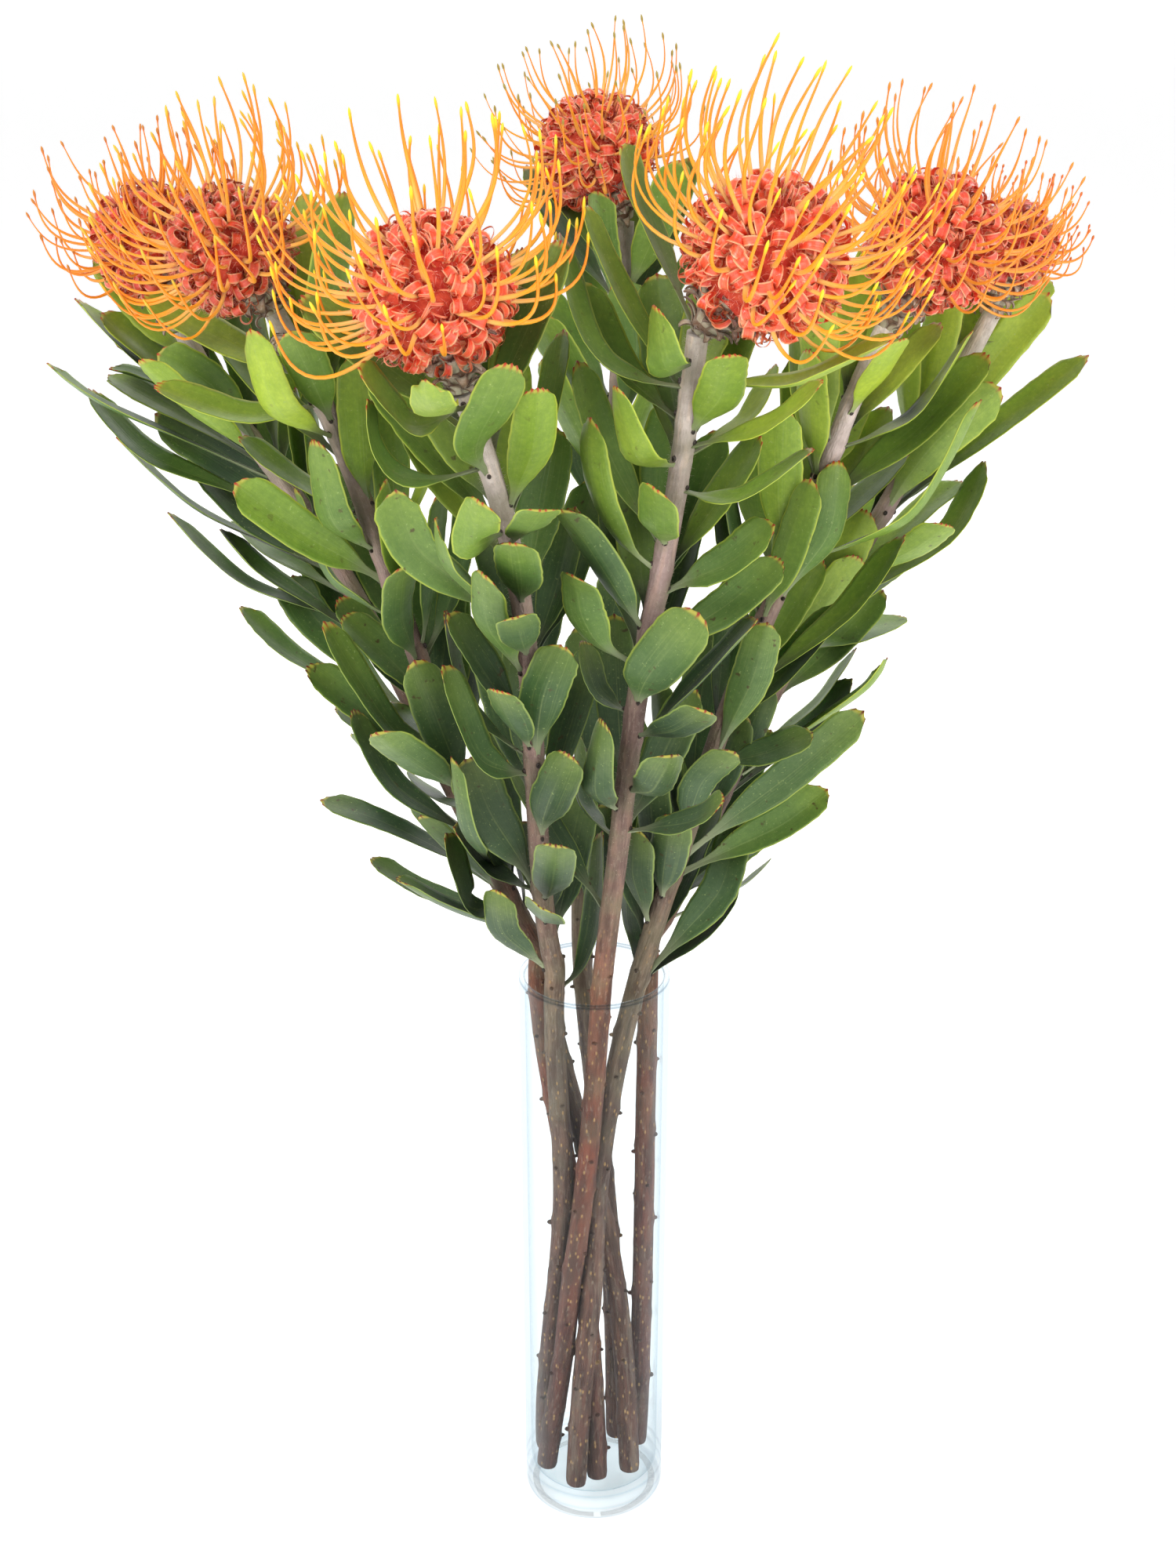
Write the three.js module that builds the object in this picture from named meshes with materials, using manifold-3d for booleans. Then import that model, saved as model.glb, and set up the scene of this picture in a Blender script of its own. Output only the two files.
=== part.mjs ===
// Seven pincushion protea stems standing in a clear glass cylinder vase.
// Millimetres, +Z up, origin at the centre of the vase's flat underside, +Y away from the front.
import * as THREE from 'three';
import Module from 'manifold-3d';

// ---- driving dimensions ----
const VASE_RADIUS = 35;          // outer radius at the rim
const VASE_FOOT_RADIUS = 34.2;   // outer radius above the rounded foot
const VASE_BASE_RADIUS = 31.5;   // flat ring the vase stands on
const VASE_HEIGHT = 284.2;
const VASE_WALL = 2.9;
const VASE_FOOT = 13;            // thickness of the solid glass foot
const GAP = 0.35;                // clearance kept between separate pieces
const LEAF_THICK = 1.5;          // at the midrib
const LEAF_CUP = 0.16;           // how far the edges rise, as a share of the width
const STYLE_COUNT = 18;
const STYLE_RADIUS = 0.95;
const STYLE_LENGTH = 38;         // of a style on top of a full-size head
const STEM_SIDES = 6;

// stem centre lines from the flower end to the cut end, and the radius at both ends
const STEMS = {
  1: { r: [4.10, 5.10], p: [[-48.7,-110,573.6],[-45.8,-106.2,563.7],[-43,-102.5,553.9],[-40.3,-98.8,543.9],[-37.9,-95.1,534],[-35.6,-91.4,524],[-33.6,-87.7,513.9],[-31.9,-84.1,503.8],[-30.5,-80.5,493.6],[-29.2,-77,483.4],[-28.2,-73.6,473.2],[-27.4,-70.2,462.9],[-26.8,-66.8,452.6],[-26.3,-63.5,442.2],[-25.9,-60.3,431.8],[-25.6,-57.1,421.4],[-25.3,-54,410.9],[-25.1,-50.9,400.5],[-24.8,-47.8,390],[-24.5,-44.7,379.5],[-24.2,-41.6,369],[-23.8,-38.6,358.4],[-23.3,-35.5,347.9],[-22.7,-32.4,337.3],[-21.9,-29.3,326.7],[-20.9,-26.1,316.1],[-19.6,-22.8,305.5],[-17.8,-19.4,294.8],[-18.3,-18.9,284.1],[-18.4,-18.4,273.4],[-18.3,-17.8,262.6],[-17.9,-17.2,251.8],[-17.4,-16.5,241.1],[-16.8,-15.8,230.3],[-16.2,-15.1,219.4],[-15.6,-14.4,208.7],[-15.1,-13.7,197.8],[-14.8,-13,187.1],[-14.7,-12.3,176.3],[-14.9,-11.5,165.5],[-15.4,-10.4,154.7],[-16,-8.9,143.9],[-16.7,-7.1,133.2],[-17.5,-5.3,122.4],[-18.5,-3.5,111.6],[-19.5,-1.9,100.8],[-20.4,-0.5,90.1],[-21.3,0.9,79.3],[-22.1,2.2,68.5],[-22.9,3.3,57.7],[-23.6,4.3,46.9],[-24,5.1,36.1],[-24.2,5.7,25.2],[-24,6.2,14.4]] },
  2: { r: [4.10, 5.10], p: [[37.5,-95,592.4],[36.6,-92.5,581.8],[35.6,-90,571.2],[34.6,-87.6,560.6],[33.5,-85.1,550],[32.3,-82.7,539.4],[31,-80.3,528.9],[29.6,-77.9,518.3],[28,-75.5,507.7],[26.4,-73.2,497.2],[24.6,-70.8,486.6],[22.8,-68.5,476.1],[21,-66.2,465.6],[19.4,-63.8,455],[18,-61.4,444.4],[16.7,-59,433.9],[15.6,-56.6,423.3],[14.5,-54.1,412.7],[13.5,-51.6,402.1],[12.6,-49.1,391.5],[11.6,-46.6,380.9],[10.7,-44.1,370.2],[9.7,-41.6,359.6],[8.7,-39,349],[7.6,-36.5,338.3],[6.6,-34,327.6],[5.6,-31.4,316.9],[4.6,-28.8,306.2],[3.6,-26,295.5],[2.9,-25.5,284.7],[2.2,-24.9,273.9],[1.6,-24.2,263.1],[0.9,-23.6,252.3],[0.2,-23,241.4],[-0.5,-22.4,230.6],[-1.3,-21.9,219.7],[-2.1,-21.4,208.8],[-3,-20.9,198],[-4,-20.4,187.1],[-5.1,-20,176.3],[-6.2,-19.7,165.4],[-7.5,-19.2,154.6],[-8.9,-18.5,143.7],[-10.3,-17.5,132.9],[-11.4,-16.2,122],[-12.3,-14.9,111.2],[-13.1,-13.7,100.4],[-14,-12.7,89.6],[-15.2,-11.7,78.8],[-16.5,-10.9,68],[-17.9,-10.2,57.3],[-19.4,-9.6,46.5],[-20.8,-9.1,35.8],[-22.1,-8.6,25.1],[-23.4,-8.3,14.4]] },
  3: { r: [4.10, 5.10], p: [[13.5,90,610.5],[13.1,87.7,599.7],[12.6,85.4,589],[12.2,83.1,578.2],[11.8,80.8,567.5],[11.5,78.5,556.7],[11.1,76.3,546],[10.7,74,535.2],[10.3,71.7,524.5],[9.8,69.5,513.7],[9.3,67.2,503],[8.7,64.9,492.2],[8,62.7,481.5],[7.3,60.4,470.8],[6.5,58.2,460],[5.6,56,449.3],[4.7,53.7,438.6],[3.7,51.5,427.9],[2.6,49.3,417.1],[1.6,47.1,406.4],[0.5,44.9,395.7],[-0.5,42.8,384.9],[-1.5,40.6,374.2],[-2.5,38.5,363.5],[-3.5,36.5,352.7],[-4.4,34.5,342],[-5.2,32.5,331.2],[-5.8,30.6,320.4],[-6.1,28.8,309.7],[-6.2,27.1,298.9],[-6,25.6,288.1],[-5.6,24.3,277.2],[-4.9,23.2,266.4],[-4.1,22.2,255.5],[-3.1,21.4,244.6],[-2,20.8,233.7],[-0.9,20.3,222.8],[0.2,19.8,211.9],[1.3,19.4,201],[2.4,19.1,190.1],[3.5,18.9,179.1],[4.6,18.6,168.2],[5.6,18.5,157.2],[6.5,18.3,146.3],[7.4,18.1,135.3],[8.1,18,124.4],[8.8,17.9,113.4],[9.4,17.7,102.4],[9.9,17.6,91.4],[10.3,17.4,80.5],[10.7,17.1,69.5],[10.9,16.8,58.5],[11.1,16.5,47.5],[11.3,16.1,36.5],[11.4,15.7,25.4],[11.6,15.3,14.4]] },
  4: { r: [4.10, 5.10], p: [[-127.3,-30,589.7],[-122.3,-29.4,579.8],[-117.5,-28.7,569.9],[-112.9,-28.1,559.9],[-108.7,-27.4,549.8],[-104.8,-26.7,539.6],[-101.2,-26.1,529.4],[-97.9,-25.3,519],[-94.7,-24.6,508.6],[-91.6,-23.8,498.1],[-88.6,-23,487.6],[-85.5,-22.2,477.1],[-82.5,-21.3,466.6],[-79.4,-20.4,456.1],[-76.3,-19.5,445.6],[-73.3,-18.6,435.1],[-70.3,-17.6,424.5],[-67.4,-16.7,413.9],[-64.3,-15.7,403.4],[-61.2,-14.8,392.9],[-58,-13.8,382.3],[-54.6,-12.8,371.8],[-51,-11.8,361.3],[-47.4,-10.8,350.8],[-43.6,-9.7,340.3],[-39.7,-8.6,329.7],[-35.6,-7.5,319.1],[-31,-6.2,308.5],[-25.8,-5,297.9],[-25.8,-4.8,287.1],[-25.6,-4.6,276.4],[-24.9,-4.3,265.6],[-23.8,-4.1,254.8],[-22.5,-3.8,243.9],[-21,-3.5,233.1],[-19.3,-3.3,222.2],[-17.6,-3,211.3],[-15.9,-2.7,200.4],[-14.2,-2.4,189.5],[-12.5,-2.1,178.6],[-10.8,-1.9,167.7],[-9.2,-2,156.8],[-7.7,-2.5,145.9],[-6.5,-3.5,134.9],[-5.3,-4.5,124],[-4.2,-5.5,113.1],[-3.1,-6.5,102.1],[-2.1,-7.5,91.2],[-1.3,-8.7,80.2],[-0.5,-9.9,69.2],[0.1,-11.3,58.3],[0.6,-12.8,47.3],[1.1,-14.4,36.4],[1.4,-16,25.4],[1.8,-17.6,14.4]] },
  5: { r: [4.10, 5.10], p: [[-173.7,20,574.5],[-169.3,20.2,565.1],[-164.8,20.3,555.9],[-159.7,20.4,546.8],[-154.1,20.6,537.8],[-148.1,20.7,528.9],[-141.9,20.8,520],[-135.8,20.8,511.1],[-129.8,20.8,502],[-124.1,20.8,492.8],[-118.7,20.6,483.4],[-113.5,20.4,473.9],[-108.4,20.2,464.3],[-103.4,19.9,454.6],[-98.6,19.5,444.8],[-93.8,19,435],[-89.2,18.5,425.1],[-84.6,18,415.1],[-80.1,17.4,405.2],[-75.6,16.8,395.1],[-71.1,16.2,385.1],[-66.6,15.5,375],[-62,14.7,365],[-57.4,13.9,354.9],[-52.7,13,344.7],[-48,12.1,334.6],[-43,11,324.4],[-37.8,9.8,314.1],[-32,8.5,303.8],[-25.4,6.9,293.5],[-24.9,7.1,283.1],[-23.6,7.2,272.6],[-21.7,7,262.1],[-19.5,6.8,251.6],[-17.1,6.5,241],[-14.6,6.1,230.4],[-11.9,5.6,219.8],[-9.3,5.1,209.1],[-6.6,4.6,198.5],[-4,4,187.8],[-1.5,3.3,177.1],[1,2.6,166.4],[3.4,1.9,155.7],[5.6,1.1,145],[7.6,0.3,134.2],[9.4,-0.6,123.4],[11,-1.5,112.6],[12.4,-2.5,101.7],[13.5,-3.5,90.8],[14.5,-4.6,80],[15.3,-5.7,69],[15.9,-6.9,58.1],[16.5,-8.2,47.2],[17,-9.5,36.3],[17.5,-10.8,25.4],[17.9,-12.2,14.4]] },
  6: { r: [4.10, 5.10], p: [[121.7,20,575.1],[117.3,18.7,565.1],[113,17.4,555],[109,16.1,544.9],[105.1,14.8,534.8],[101.5,13.5,524.6],[97.9,12.2,514.3],[94.4,10.9,504.1],[90.8,9.7,493.9],[87,8.4,483.7],[83,7.2,473.5],[78.9,6,463.4],[74.7,4.8,453.3],[70.4,3.7,443.2],[66.3,2.5,433],[62.5,1.4,422.8],[58.8,0.4,412.6],[55.3,-0.7,402.2],[52,-1.7,391.9],[48.8,-2.6,381.5],[45.6,-3.5,371],[42.5,-4.4,360.6],[39.3,-5.2,350.1],[36.1,-5.9,339.6],[32.8,-6.6,329.1],[29.6,-7.3,318.6],[26.4,-7.9,308.1],[23.4,-8.4,297.6],[20.5,-8.9,287],[17.8,-9.4,276.3],[15.3,-9.8,265.6],[13,-10.1,254.9],[10.9,-10.5,244.1],[9,-10.8,233.3],[7.3,-11,222.5],[5.7,-11.3,211.6],[4.3,-11.5,200.7],[3.1,-11.7,189.8],[2.1,-11.9,178.9],[1.3,-12,167.9],[0.7,-12.3,157],[0.2,-12.7,146],[-0.2,-13.5,135],[-0.7,-14.7,124.1],[-1.5,-16,113.1],[-2.6,-17.3,102.1],[-3.7,-18.2,91.2],[-4.7,-19,80.2],[-5.6,-19.6,69.2],[-6.3,-20.2,58.2],[-7,-20.8,47.3],[-7.6,-21.4,36.3],[-8.2,-22.1,25.4],[-8.7,-22.9,14.4]] },
  7: { r: [4.10, 5.10], p: [[175.6,70,573],[170.6,68.1,563.5],[165.7,66.2,554],[160.6,64.3,544.5],[155.6,62.4,535.1],[150.6,60.5,525.6],[145.5,58.6,516.2],[140.4,56.7,506.8],[135.1,54.8,497.4],[129.8,52.9,488.1],[124.3,51,478.9],[118.7,49,469.6],[113,47.1,460.5],[107.3,45.1,451.3],[101.6,43,442.1],[95.9,41,432.9],[90.3,39,423.7],[84.8,36.9,414.4],[79.5,34.8,405],[74.5,32.7,395.6],[69.5,30.6,386],[64.8,28.4,376.4],[60.2,26.3,366.6],[55.8,24.1,356.8],[51.4,21.8,346.8],[46.9,19.5,336.8],[42.4,17.1,326.6],[37.4,14.5,316.4],[31.8,11.7,306.1],[24.9,8.5,295.7],[25,8.1,285.2],[25,7.9,274.7],[24.9,7.9,264.1],[24.9,8,253.4],[24.8,8.1,242.8],[24.7,8.2,232],[24.6,8.3,221.2],[24.5,8.3,210.4],[24.4,8.3,199.6],[24.4,8.3,188.7],[24.4,8.3,177.9],[24.4,8.3,167],[24.3,8.3,156.1],[24.2,8.3,145.2],[24.2,8.3,134.3],[24.1,8.4,123.4],[24,8.6,112.5],[23.9,8.7,101.7],[23.7,8.9,90.8],[23.6,9.2,79.8],[23.4,9.4,68.9],[23.3,9.7,58],[23.1,10,47.1],[22.8,10.2,36.2],[22.4,10.3,25.3],[21.9,10.3,14.4]] },
};

// flower heads: centre, radius of the floret dome, axis, top of the stem, share of the full style length
const HEADS = {
  1: { c: [-58.4,-113,609.4], r: 28.1, a: [-0.262,-0.081,0.962], b: [-48.7,-110,573.6], s: 1.00 },
  2: { c: [60.9,-99.5,619.9], r: 29.2, a: [0.644,-0.124,0.755], b: [37.5,-95,592.4], s: 1.00 },
  3: { c: [1.2,89.4,639.8], r: 25.1, a: [-0.37,-0.02,0.929], b: [13.5,90,610.5], s: 0.80 },
  4: { c: [-142.5,-33.1,613.3], r: 24.5, a: [-0.554,-0.108,0.825], b: [-127.3,-30,589.7], s: 0.93 },
  5: { c: [-183.3,20,610], r: 23.4, a: [-0.312,-0,0.95], b: [-173.7,20,574.5], s: 0.75 },
  6: { c: [139.5,15.9,610.5], r: 27.5, a: [0.454,-0.103,0.885], b: [121.7,20,575.2], s: 0.95 },
  7: { c: [182.3,73.7,601.4], r: 19.3, a: [0.252,0.125,0.96], b: [175.6,70,573], s: 0.68 },
};

// leaves: [id, stem, own node, width, five midrib points, face normal near the base, face normal near the tip]
const LEAVES = [
  [0,5,0,17,[[-148,20.7,524.6],[-169.2,20.3,541.9],[-189.9,21.7,557.4],[-205.6,26.2,571.4],[-219.9,32.9,584.7]],[0.62,-0.23,0.75],[0.62,-0.2,0.76]],
  [1,5,1,18.2,[[-146.2,23,525.9],[-160.4,29.6,546.3],[-175.1,36.5,562.7],[-190.8,39.1,567.1],[-206.9,40.1,567.4]],[0.44,-0.72,0.54],[-0.04,-0.79,0.62]],
  [2,5,0,19.4,[[-142.3,18.6,522],[-151.5,13.6,538.7],[-160.5,8.7,553],[-170.7,5.9,561.1],[-181.5,5.7,566.6]],[0.08,0.94,0.32],[0.09,0.97,0.22]],
  [3,5,0,17.6,[[-145.6,22,521.9],[-166,27.6,536],[-185.1,32,547.4],[-197.4,32.2,552.6],[-207.2,30.3,555.8]],[0.58,0.06,0.81],[0.31,0.03,0.95]],
  [4,5,1,18.8,[[-141.7,21.6,515.8],[-168.9,27,531],[-193,32.4,543],[-203.5,35.3,548.4],[-209.5,37.5,551.6]],[0.4,-0.36,0.84],[0.34,-0.34,0.88]],
  [5,4,0,17,[[-112,-28.6,552.3],[-125,-34.7,550.8],[-139.9,-40.3,550.5],[-156.6,-42.2,555.8],[-174,-42.5,562.7]],[0.03,-0.3,0.95],[0.36,-0.28,0.89]],
  [6,5,1,20.6,[[-125.7,22.2,491.9],[-140.1,27.5,503.5],[-155.9,32.5,514.6],[-172.9,35.7,525.3],[-190.2,37.6,536]],[-0.03,-0.92,0.38],[0.07,-0.96,0.28]],
  [7,5,0,19.4,[[-137.7,20.8,509.8],[-174.8,21.2,526.6],[-207.1,21.5,540.9],[-222.3,21.7,550.9],[-231.8,22.5,559.4]],[0.41,0.12,0.9],[0.66,0.15,0.73]],
  [8,5,0,17.6,[[-128,20.9,494.7],[-161.2,21.4,507],[-191.1,24.3,518.7],[-207.3,30.9,531.6],[-219.2,39.9,544.8]],[0.34,-0.23,0.91],[0.67,-0.17,0.72]],
  [9,5,1,18.8,[[-113,20.3,468],[-130,20,479.8],[-147,22.2,490.4],[-160.1,28.4,501.3],[-172.1,37.1,512.2]],[0.5,-0.5,0.71],[0.42,-0.42,0.8]],
  [10,5,0,17,[[-113,20.8,468],[-143.5,26,480.2],[-172.2,30.4,492.8],[-191.6,33.9,508],[-207.7,36.5,524.2]],[0.39,0.18,0.9],[0.71,0.18,0.68]],
  [11,4,1,18.2,[[-87.8,-22.6,476.5],[-102.3,-25.7,486.9],[-117.8,-28.7,497.2],[-132.4,-30,508.6],[-146.7,-30.1,520.2]],[0.45,-0.81,0.38],[0.36,-0.82,0.43]],
  [12,5,0,19.4,[[-106.8,21.4,456.9],[-127,32.9,463.7],[-145.9,45.7,469.4],[-155.9,57.2,473.8],[-162.8,67.9,478]],[0.17,-0.25,0.95],[0.41,-0.1,0.91]],
  [13,5,0,17.6,[[-96.7,18.4,435.7],[-121.5,14.6,454.1],[-143.8,14,469.1],[-155.2,18.6,478.6],[-163.4,27.5,485.7]],[0.6,-0.27,0.75],[0.54,-0.17,0.83]],
  [14,5,1,18.8,[[-101.5,19.9,445.4],[-128.2,23.9,452.3],[-153.8,27,460.8],[-171.7,30,475.2],[-186.8,31.9,491.9]],[0.26,0.1,0.96],[0.74,0.09,0.66]],
  [15,5,1,19.1,[[-79.9,18,399.2],[-103.4,24.1,423.4],[-124,30.8,443.5],[-131.7,35.8,453.9],[-135.1,40.8,460.9]],[0.09,-0.94,0.32],[0,-0.81,0.58]],
  [16,4,0,18.2,[[-105.8,-28.8,539.1],[-115.3,-41.5,546.3],[-124,-53,555.2],[-128.9,-57.7,570.4],[-132.7,-58.5,587.3]],[-0.15,0.57,0.81],[0.66,0.72,0.18]],
  [17,4,0,19.4,[[-91,-25.1,490.6],[-98.7,-32.1,497.4],[-105.9,-40,506.5],[-109.4,-44.2,523],[-111.6,-46.8,541.7]],[-0,0.7,0.72],[0.67,0.72,0.18]],
  [18,4,1,17.6,[[-82.6,-20.1,459],[-97.6,-18.1,466],[-112,-14.7,475.1],[-120.5,-8.2,491.7],[-126.8,-0.7,511]],[0.43,0.16,0.89],[0.95,0.06,0.29]],
  [19,5,1,18.8,[[-79.2,17.6,397.5],[-109.1,24.8,412.3],[-136.1,30.9,425.9],[-149.7,34.4,437.1],[-158.7,36.2,447.7]],[0.43,-0.08,0.9],[0.75,-0.12,0.65]],
  [20,4,1,17,[[-109.8,-26.6,557.4],[-112,-24.9,575.3],[-113.4,-19.8,593.6],[-115.3,-10.5,612.5],[-117.6,1.4,631.6]],[-0.24,-0.97,0.06],[-0.28,-0.83,0.49]],
  [21,4,0,18.2,[[-92.8,-25.9,509.1],[-94,-29.4,523.9],[-94.3,-30.8,538.9],[-95.1,-26.7,554.9],[-96.5,-18.8,570.9]],[-0.69,0.71,0.11],[-0.64,0.67,-0.38]],
  [22,4,0,19.4,[[-111.1,-25.6,556.9],[-112.2,-14.7,567.3],[-115,-3.4,574.7],[-123.2,3.2,572.3],[-133.3,7.5,566.6]],[0.97,-0.1,0.21],[-0.55,-0.2,0.81]],
  [23,4,1,17.6,[[-66.6,-17.4,404.5],[-74.9,-24.1,406.4],[-85.4,-29.8,412.9],[-99.1,-28.8,433.9],[-113.7,-25.1,459.5]],[0.37,-0.21,0.91],[0.75,-0.44,0.49]],
  [24,4,0,18.8,[[-59.8,-12.2,381.9],[-77.5,-2.1,392.8],[-95.8,6.2,404.1],[-111.7,10,415.8],[-126.5,10.6,428.2]],[0.29,-0.42,0.86],[0.54,-0.5,0.68]],
  [25,5,0,17,[[-55.9,15,347.2],[-74.8,29.1,355.1],[-93.2,45,361.7],[-105.4,60,367],[-115.6,74.2,372.2]],[0.51,0.22,0.83],[0.66,0.21,0.72]],
  [26,4,0,18.2,[[-51.5,-11.8,355.2],[-69.3,-16.9,369.7],[-86.2,-18.8,383.3],[-96.6,-14.1,398.4],[-104.9,-5.3,413.4]],[0.65,-0.25,0.71],[0.74,-0.32,0.6]],
  [27,5,1,19.4,[[-46,11.5,325],[-70.2,16,338.1],[-93.7,20.1,348.8],[-110.4,22.4,354.9],[-124.8,24.2,359.4]],[0.46,-0.09,0.88],[0.29,-0.08,0.95]],
  [28,5,0,17.6,[[-38.1,9.1,309.5],[-57.6,8.6,314.4],[-76.9,9.4,319],[-90.6,13,325.7],[-102.5,18.1,333]],[0.24,-0.01,0.97],[0.51,-0.03,0.86]],
  [29,4,0,18.8,[[-38.7,-9.5,321.8],[-47.4,-16.3,323.2],[-56.1,-22.9,327.9],[-61.1,-24.1,343.5],[-64.9,-23.1,362.5]],[0.09,0.09,0.99],[0.94,-0.28,0.2]],
  [30,4,0,17,[[-44.8,-12.5,343.6],[-50.7,-35.3,360.1],[-55.5,-53.5,376],[-57.8,-59,393.7],[-59.6,-56.1,410.2]],[0.43,0.45,0.78],[0.93,0.36,0.04]],
  [31,1,1,22.1,[[-25.3,-32.8,340.9],[-34.2,-35.2,358.7],[-43.4,-39.1,376.4],[-48.9,-44.4,392.6],[-53,-50.6,408.1]],[0.26,-0.97,-0],[0.27,-0.92,-0.29]],
  [32,1,0,19.4,[[-27.2,-52.5,401.8],[-37.1,-59.5,406.1],[-47.4,-66.1,414],[-54.9,-67.5,432.4],[-61.3,-66.8,453.9]],[0.5,-0.19,0.84],[0.83,-0.49,0.26]],
  [33,1,0,17.6,[[-27.5,-52.6,409.4],[-40.5,-49.7,417.9],[-52.7,-48.5,429.8],[-58.2,-48.4,449.4],[-61.2,-50.2,471.6]],[0.54,-0.03,0.84],[0.97,-0.23,0.11]],
  [34,4,0,18.8,[[-71.3,-16,420.6],[-77.7,-14.2,428.5],[-86.1,-11.2,436.6],[-96.7,-7.5,446.1],[-107.9,-3.7,456]],[0.6,-0.53,0.6],[0.48,-0.49,0.73]],
  [35,4,0,17,[[-64.2,-13.6,395.9],[-71.5,-10.5,401.5],[-79.6,-4.3,405.7],[-85.7,3.9,408.6],[-91.1,13.5,410.8]],[0.58,-0.07,0.81],[0.51,0.09,0.86]],
  [36,4,0,18.2,[[-55.3,-11,367.8],[-64,-6.6,370],[-73,3,370.3],[-78.1,16.9,369.2],[-82,33.9,367.2]],[0.23,-0.04,0.97],[0.54,0.22,0.81]],
  [37,1,0,19.4,[[-25.1,-32,339.2],[-36.1,-27,340.8],[-47.5,-24.7,345.4],[-55,-25.8,355.6],[-60.9,-30.1,368.4]],[0.12,-0.06,0.99],[0.91,-0.24,0.34]],
  [38,1,0,17.6,[[-20.2,-20.2,294.5],[-30.3,-25.5,306.5],[-39.6,-31.7,318.6],[-41.8,-36.9,331],[-41.7,-41.4,343.2]],[-0.04,0.92,0.38],[0.53,0.8,0.29]],
  [39,1,0,18.8,[[-28.4,-67.9,450.2],[-35.1,-77.6,463.6],[-41.1,-89.8,477.1],[-42.4,-101.5,491.2],[-42,-112.8,505.4]],[0.24,0.72,0.65],[0.67,0.59,0.45]],
  [40,4,0,17,[[-74.6,-21.4,440.2],[-78,-28.5,452.5],[-79.9,-38.2,465.4],[-78.5,-47.3,479],[-76.1,-55.7,492.7]],[-0.79,0.6,0.12],[-0.52,0.68,0.52]],
  [41,1,1,18.7,[[-30.6,-73.2,473.1],[-50.4,-75.7,489.2],[-67.7,-78.3,504.4],[-74.1,-80.4,517.6],[-76.7,-81.9,529.8]],[0.24,-0.96,0.14],[0.17,-0.98,-0.09]],
  [42,1,0,19.4,[[-30.1,-72.4,467.7],[-45,-82.1,485.7],[-57.6,-91.1,501.6],[-60.6,-97.2,513.4],[-60.5,-100.7,523.4]],[0.53,0.49,0.7],[0.93,0.34,0.1]],
  [43,1,0,17.6,[[-35.1,-90.9,516.4],[-40.9,-103.6,516.1],[-45.2,-117.7,518.3],[-44.3,-128.5,527.8],[-41.7,-137.8,539.6]],[-0.89,0.41,-0.19],[0.47,0.74,0.48]],
  [44,1,0,18.8,[[-39.5,-99.7,539.8],[-44.3,-111.2,550.3],[-42.1,-124.1,561],[-35.9,-134,573.6],[-29.6,-140.9,589.2]],[-0.71,0.61,0.35],[-0.08,0.9,0.43]],
  [45,1,0,17,[[-33.5,-92.3,524.1],[-28.7,-99.9,537.3],[-23.7,-109.3,550.8],[-21.7,-118,564.4],[-20.9,-126.2,577.8]],[-0.03,0.86,0.51],[-0.25,0.82,0.52]],
  [46,1,0,18.2,[[-47.4,-110.2,567.9],[-51.8,-135.3,571.6],[-55.4,-156.1,575.5],[-56.7,-165.6,582.1],[-57.7,-167.5,588.7]],[-0.71,0.23,0.67],[0.74,0.61,0.28]],
  [47,1,0,19.4,[[-49.3,-108.6,567.9],[-58.2,-109.4,562.8],[-67.9,-114.7,561.8],[-76.3,-122.5,572.2],[-83.7,-133.6,586.5]],[-0.45,-0.32,0.84],[0.93,-0.2,0.33]],
  [48,1,1,17.6,[[-42.2,-99.7,543.1],[-60.4,-110.3,541],[-73.8,-119.1,545.6],[-80.6,-124.2,557.2],[-81.7,-126.6,573.7]],[-0.06,-0.09,0.99],[0.97,-0.23,0.03]],
  [49,1,1,18.8,[[-33.2,-88,519.8],[-25.6,-81.7,538.5],[-18.3,-74.7,557],[-14.6,-68.5,572.8],[-12.2,-62.7,587.6]],[-0.8,-0.4,0.45],[-0.85,-0.42,0.3]],
  [50,1,0,20.5,[[-24.4,-55.1,406.8],[-23.4,-65.5,426.1],[-21.2,-75.1,443],[-17.2,-80,456],[-12.6,-81.1,467]],[0.02,0.88,0.47],[0.14,0.99,0.04]],
  [51,1,0,19,[[-23.2,-43.8,368.4],[-21.9,-52.1,380.7],[-19.3,-61.4,392.8],[-15.2,-67.9,405.6],[-10.7,-72.6,418.2]],[0.1,0.83,0.55],[0.24,0.93,0.26]],
  [52,1,0,19.4,[[-20.7,-23.7,316.9],[-21.1,-19.5,328],[-22.5,-18.1,341.2],[-27.8,-22.3,355.1],[-34,-30.5,369.9]],[0.17,-0.92,0.35],[0.53,-0.81,-0.23]],
  [53,2,0,17.6,[[10.3,-49.2,384.1],[5.1,-57.1,390.2],[0.6,-65.9,398.9],[1,-71,415.2],[2.9,-74.5,433.6]],[-0.12,0.65,0.75],[0.81,0.58,0.03]],
  [54,2,0,23.1,[[17,-61.8,435.1],[18.4,-69.2,444.1],[21.5,-78.7,454.3],[30,-86,468.6],[39.9,-92.3,483.9]],[0.22,0.77,0.6],[0.37,0.92,0.14]],
  [55,2,0,17,[[16.8,-58,420.9],[23.9,-68,425.8],[31.4,-79.9,431.4],[37.4,-90.6,438.9],[42.8,-100.5,446.8]],[0.38,0.61,0.69],[-0.01,0.62,0.78]],
  [56,2,0,18.2,[[14,-52,394.4],[18.5,-60.6,397.3],[23.3,-70.5,401.8],[27.1,-77.7,411.2],[30.6,-83.7,422]],[0.69,0.53,0.5],[-0.42,0.73,0.54]],
  [57,6,0,19.4,[[24.9,-9.1,310.6],[21.2,-12.6,325.1],[17.4,-17.6,339.8],[17.3,-22.3,353.2],[18.6,-26.5,365.9]],[0.58,0.75,0.33],[0.78,0.61,0.12]],
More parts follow.
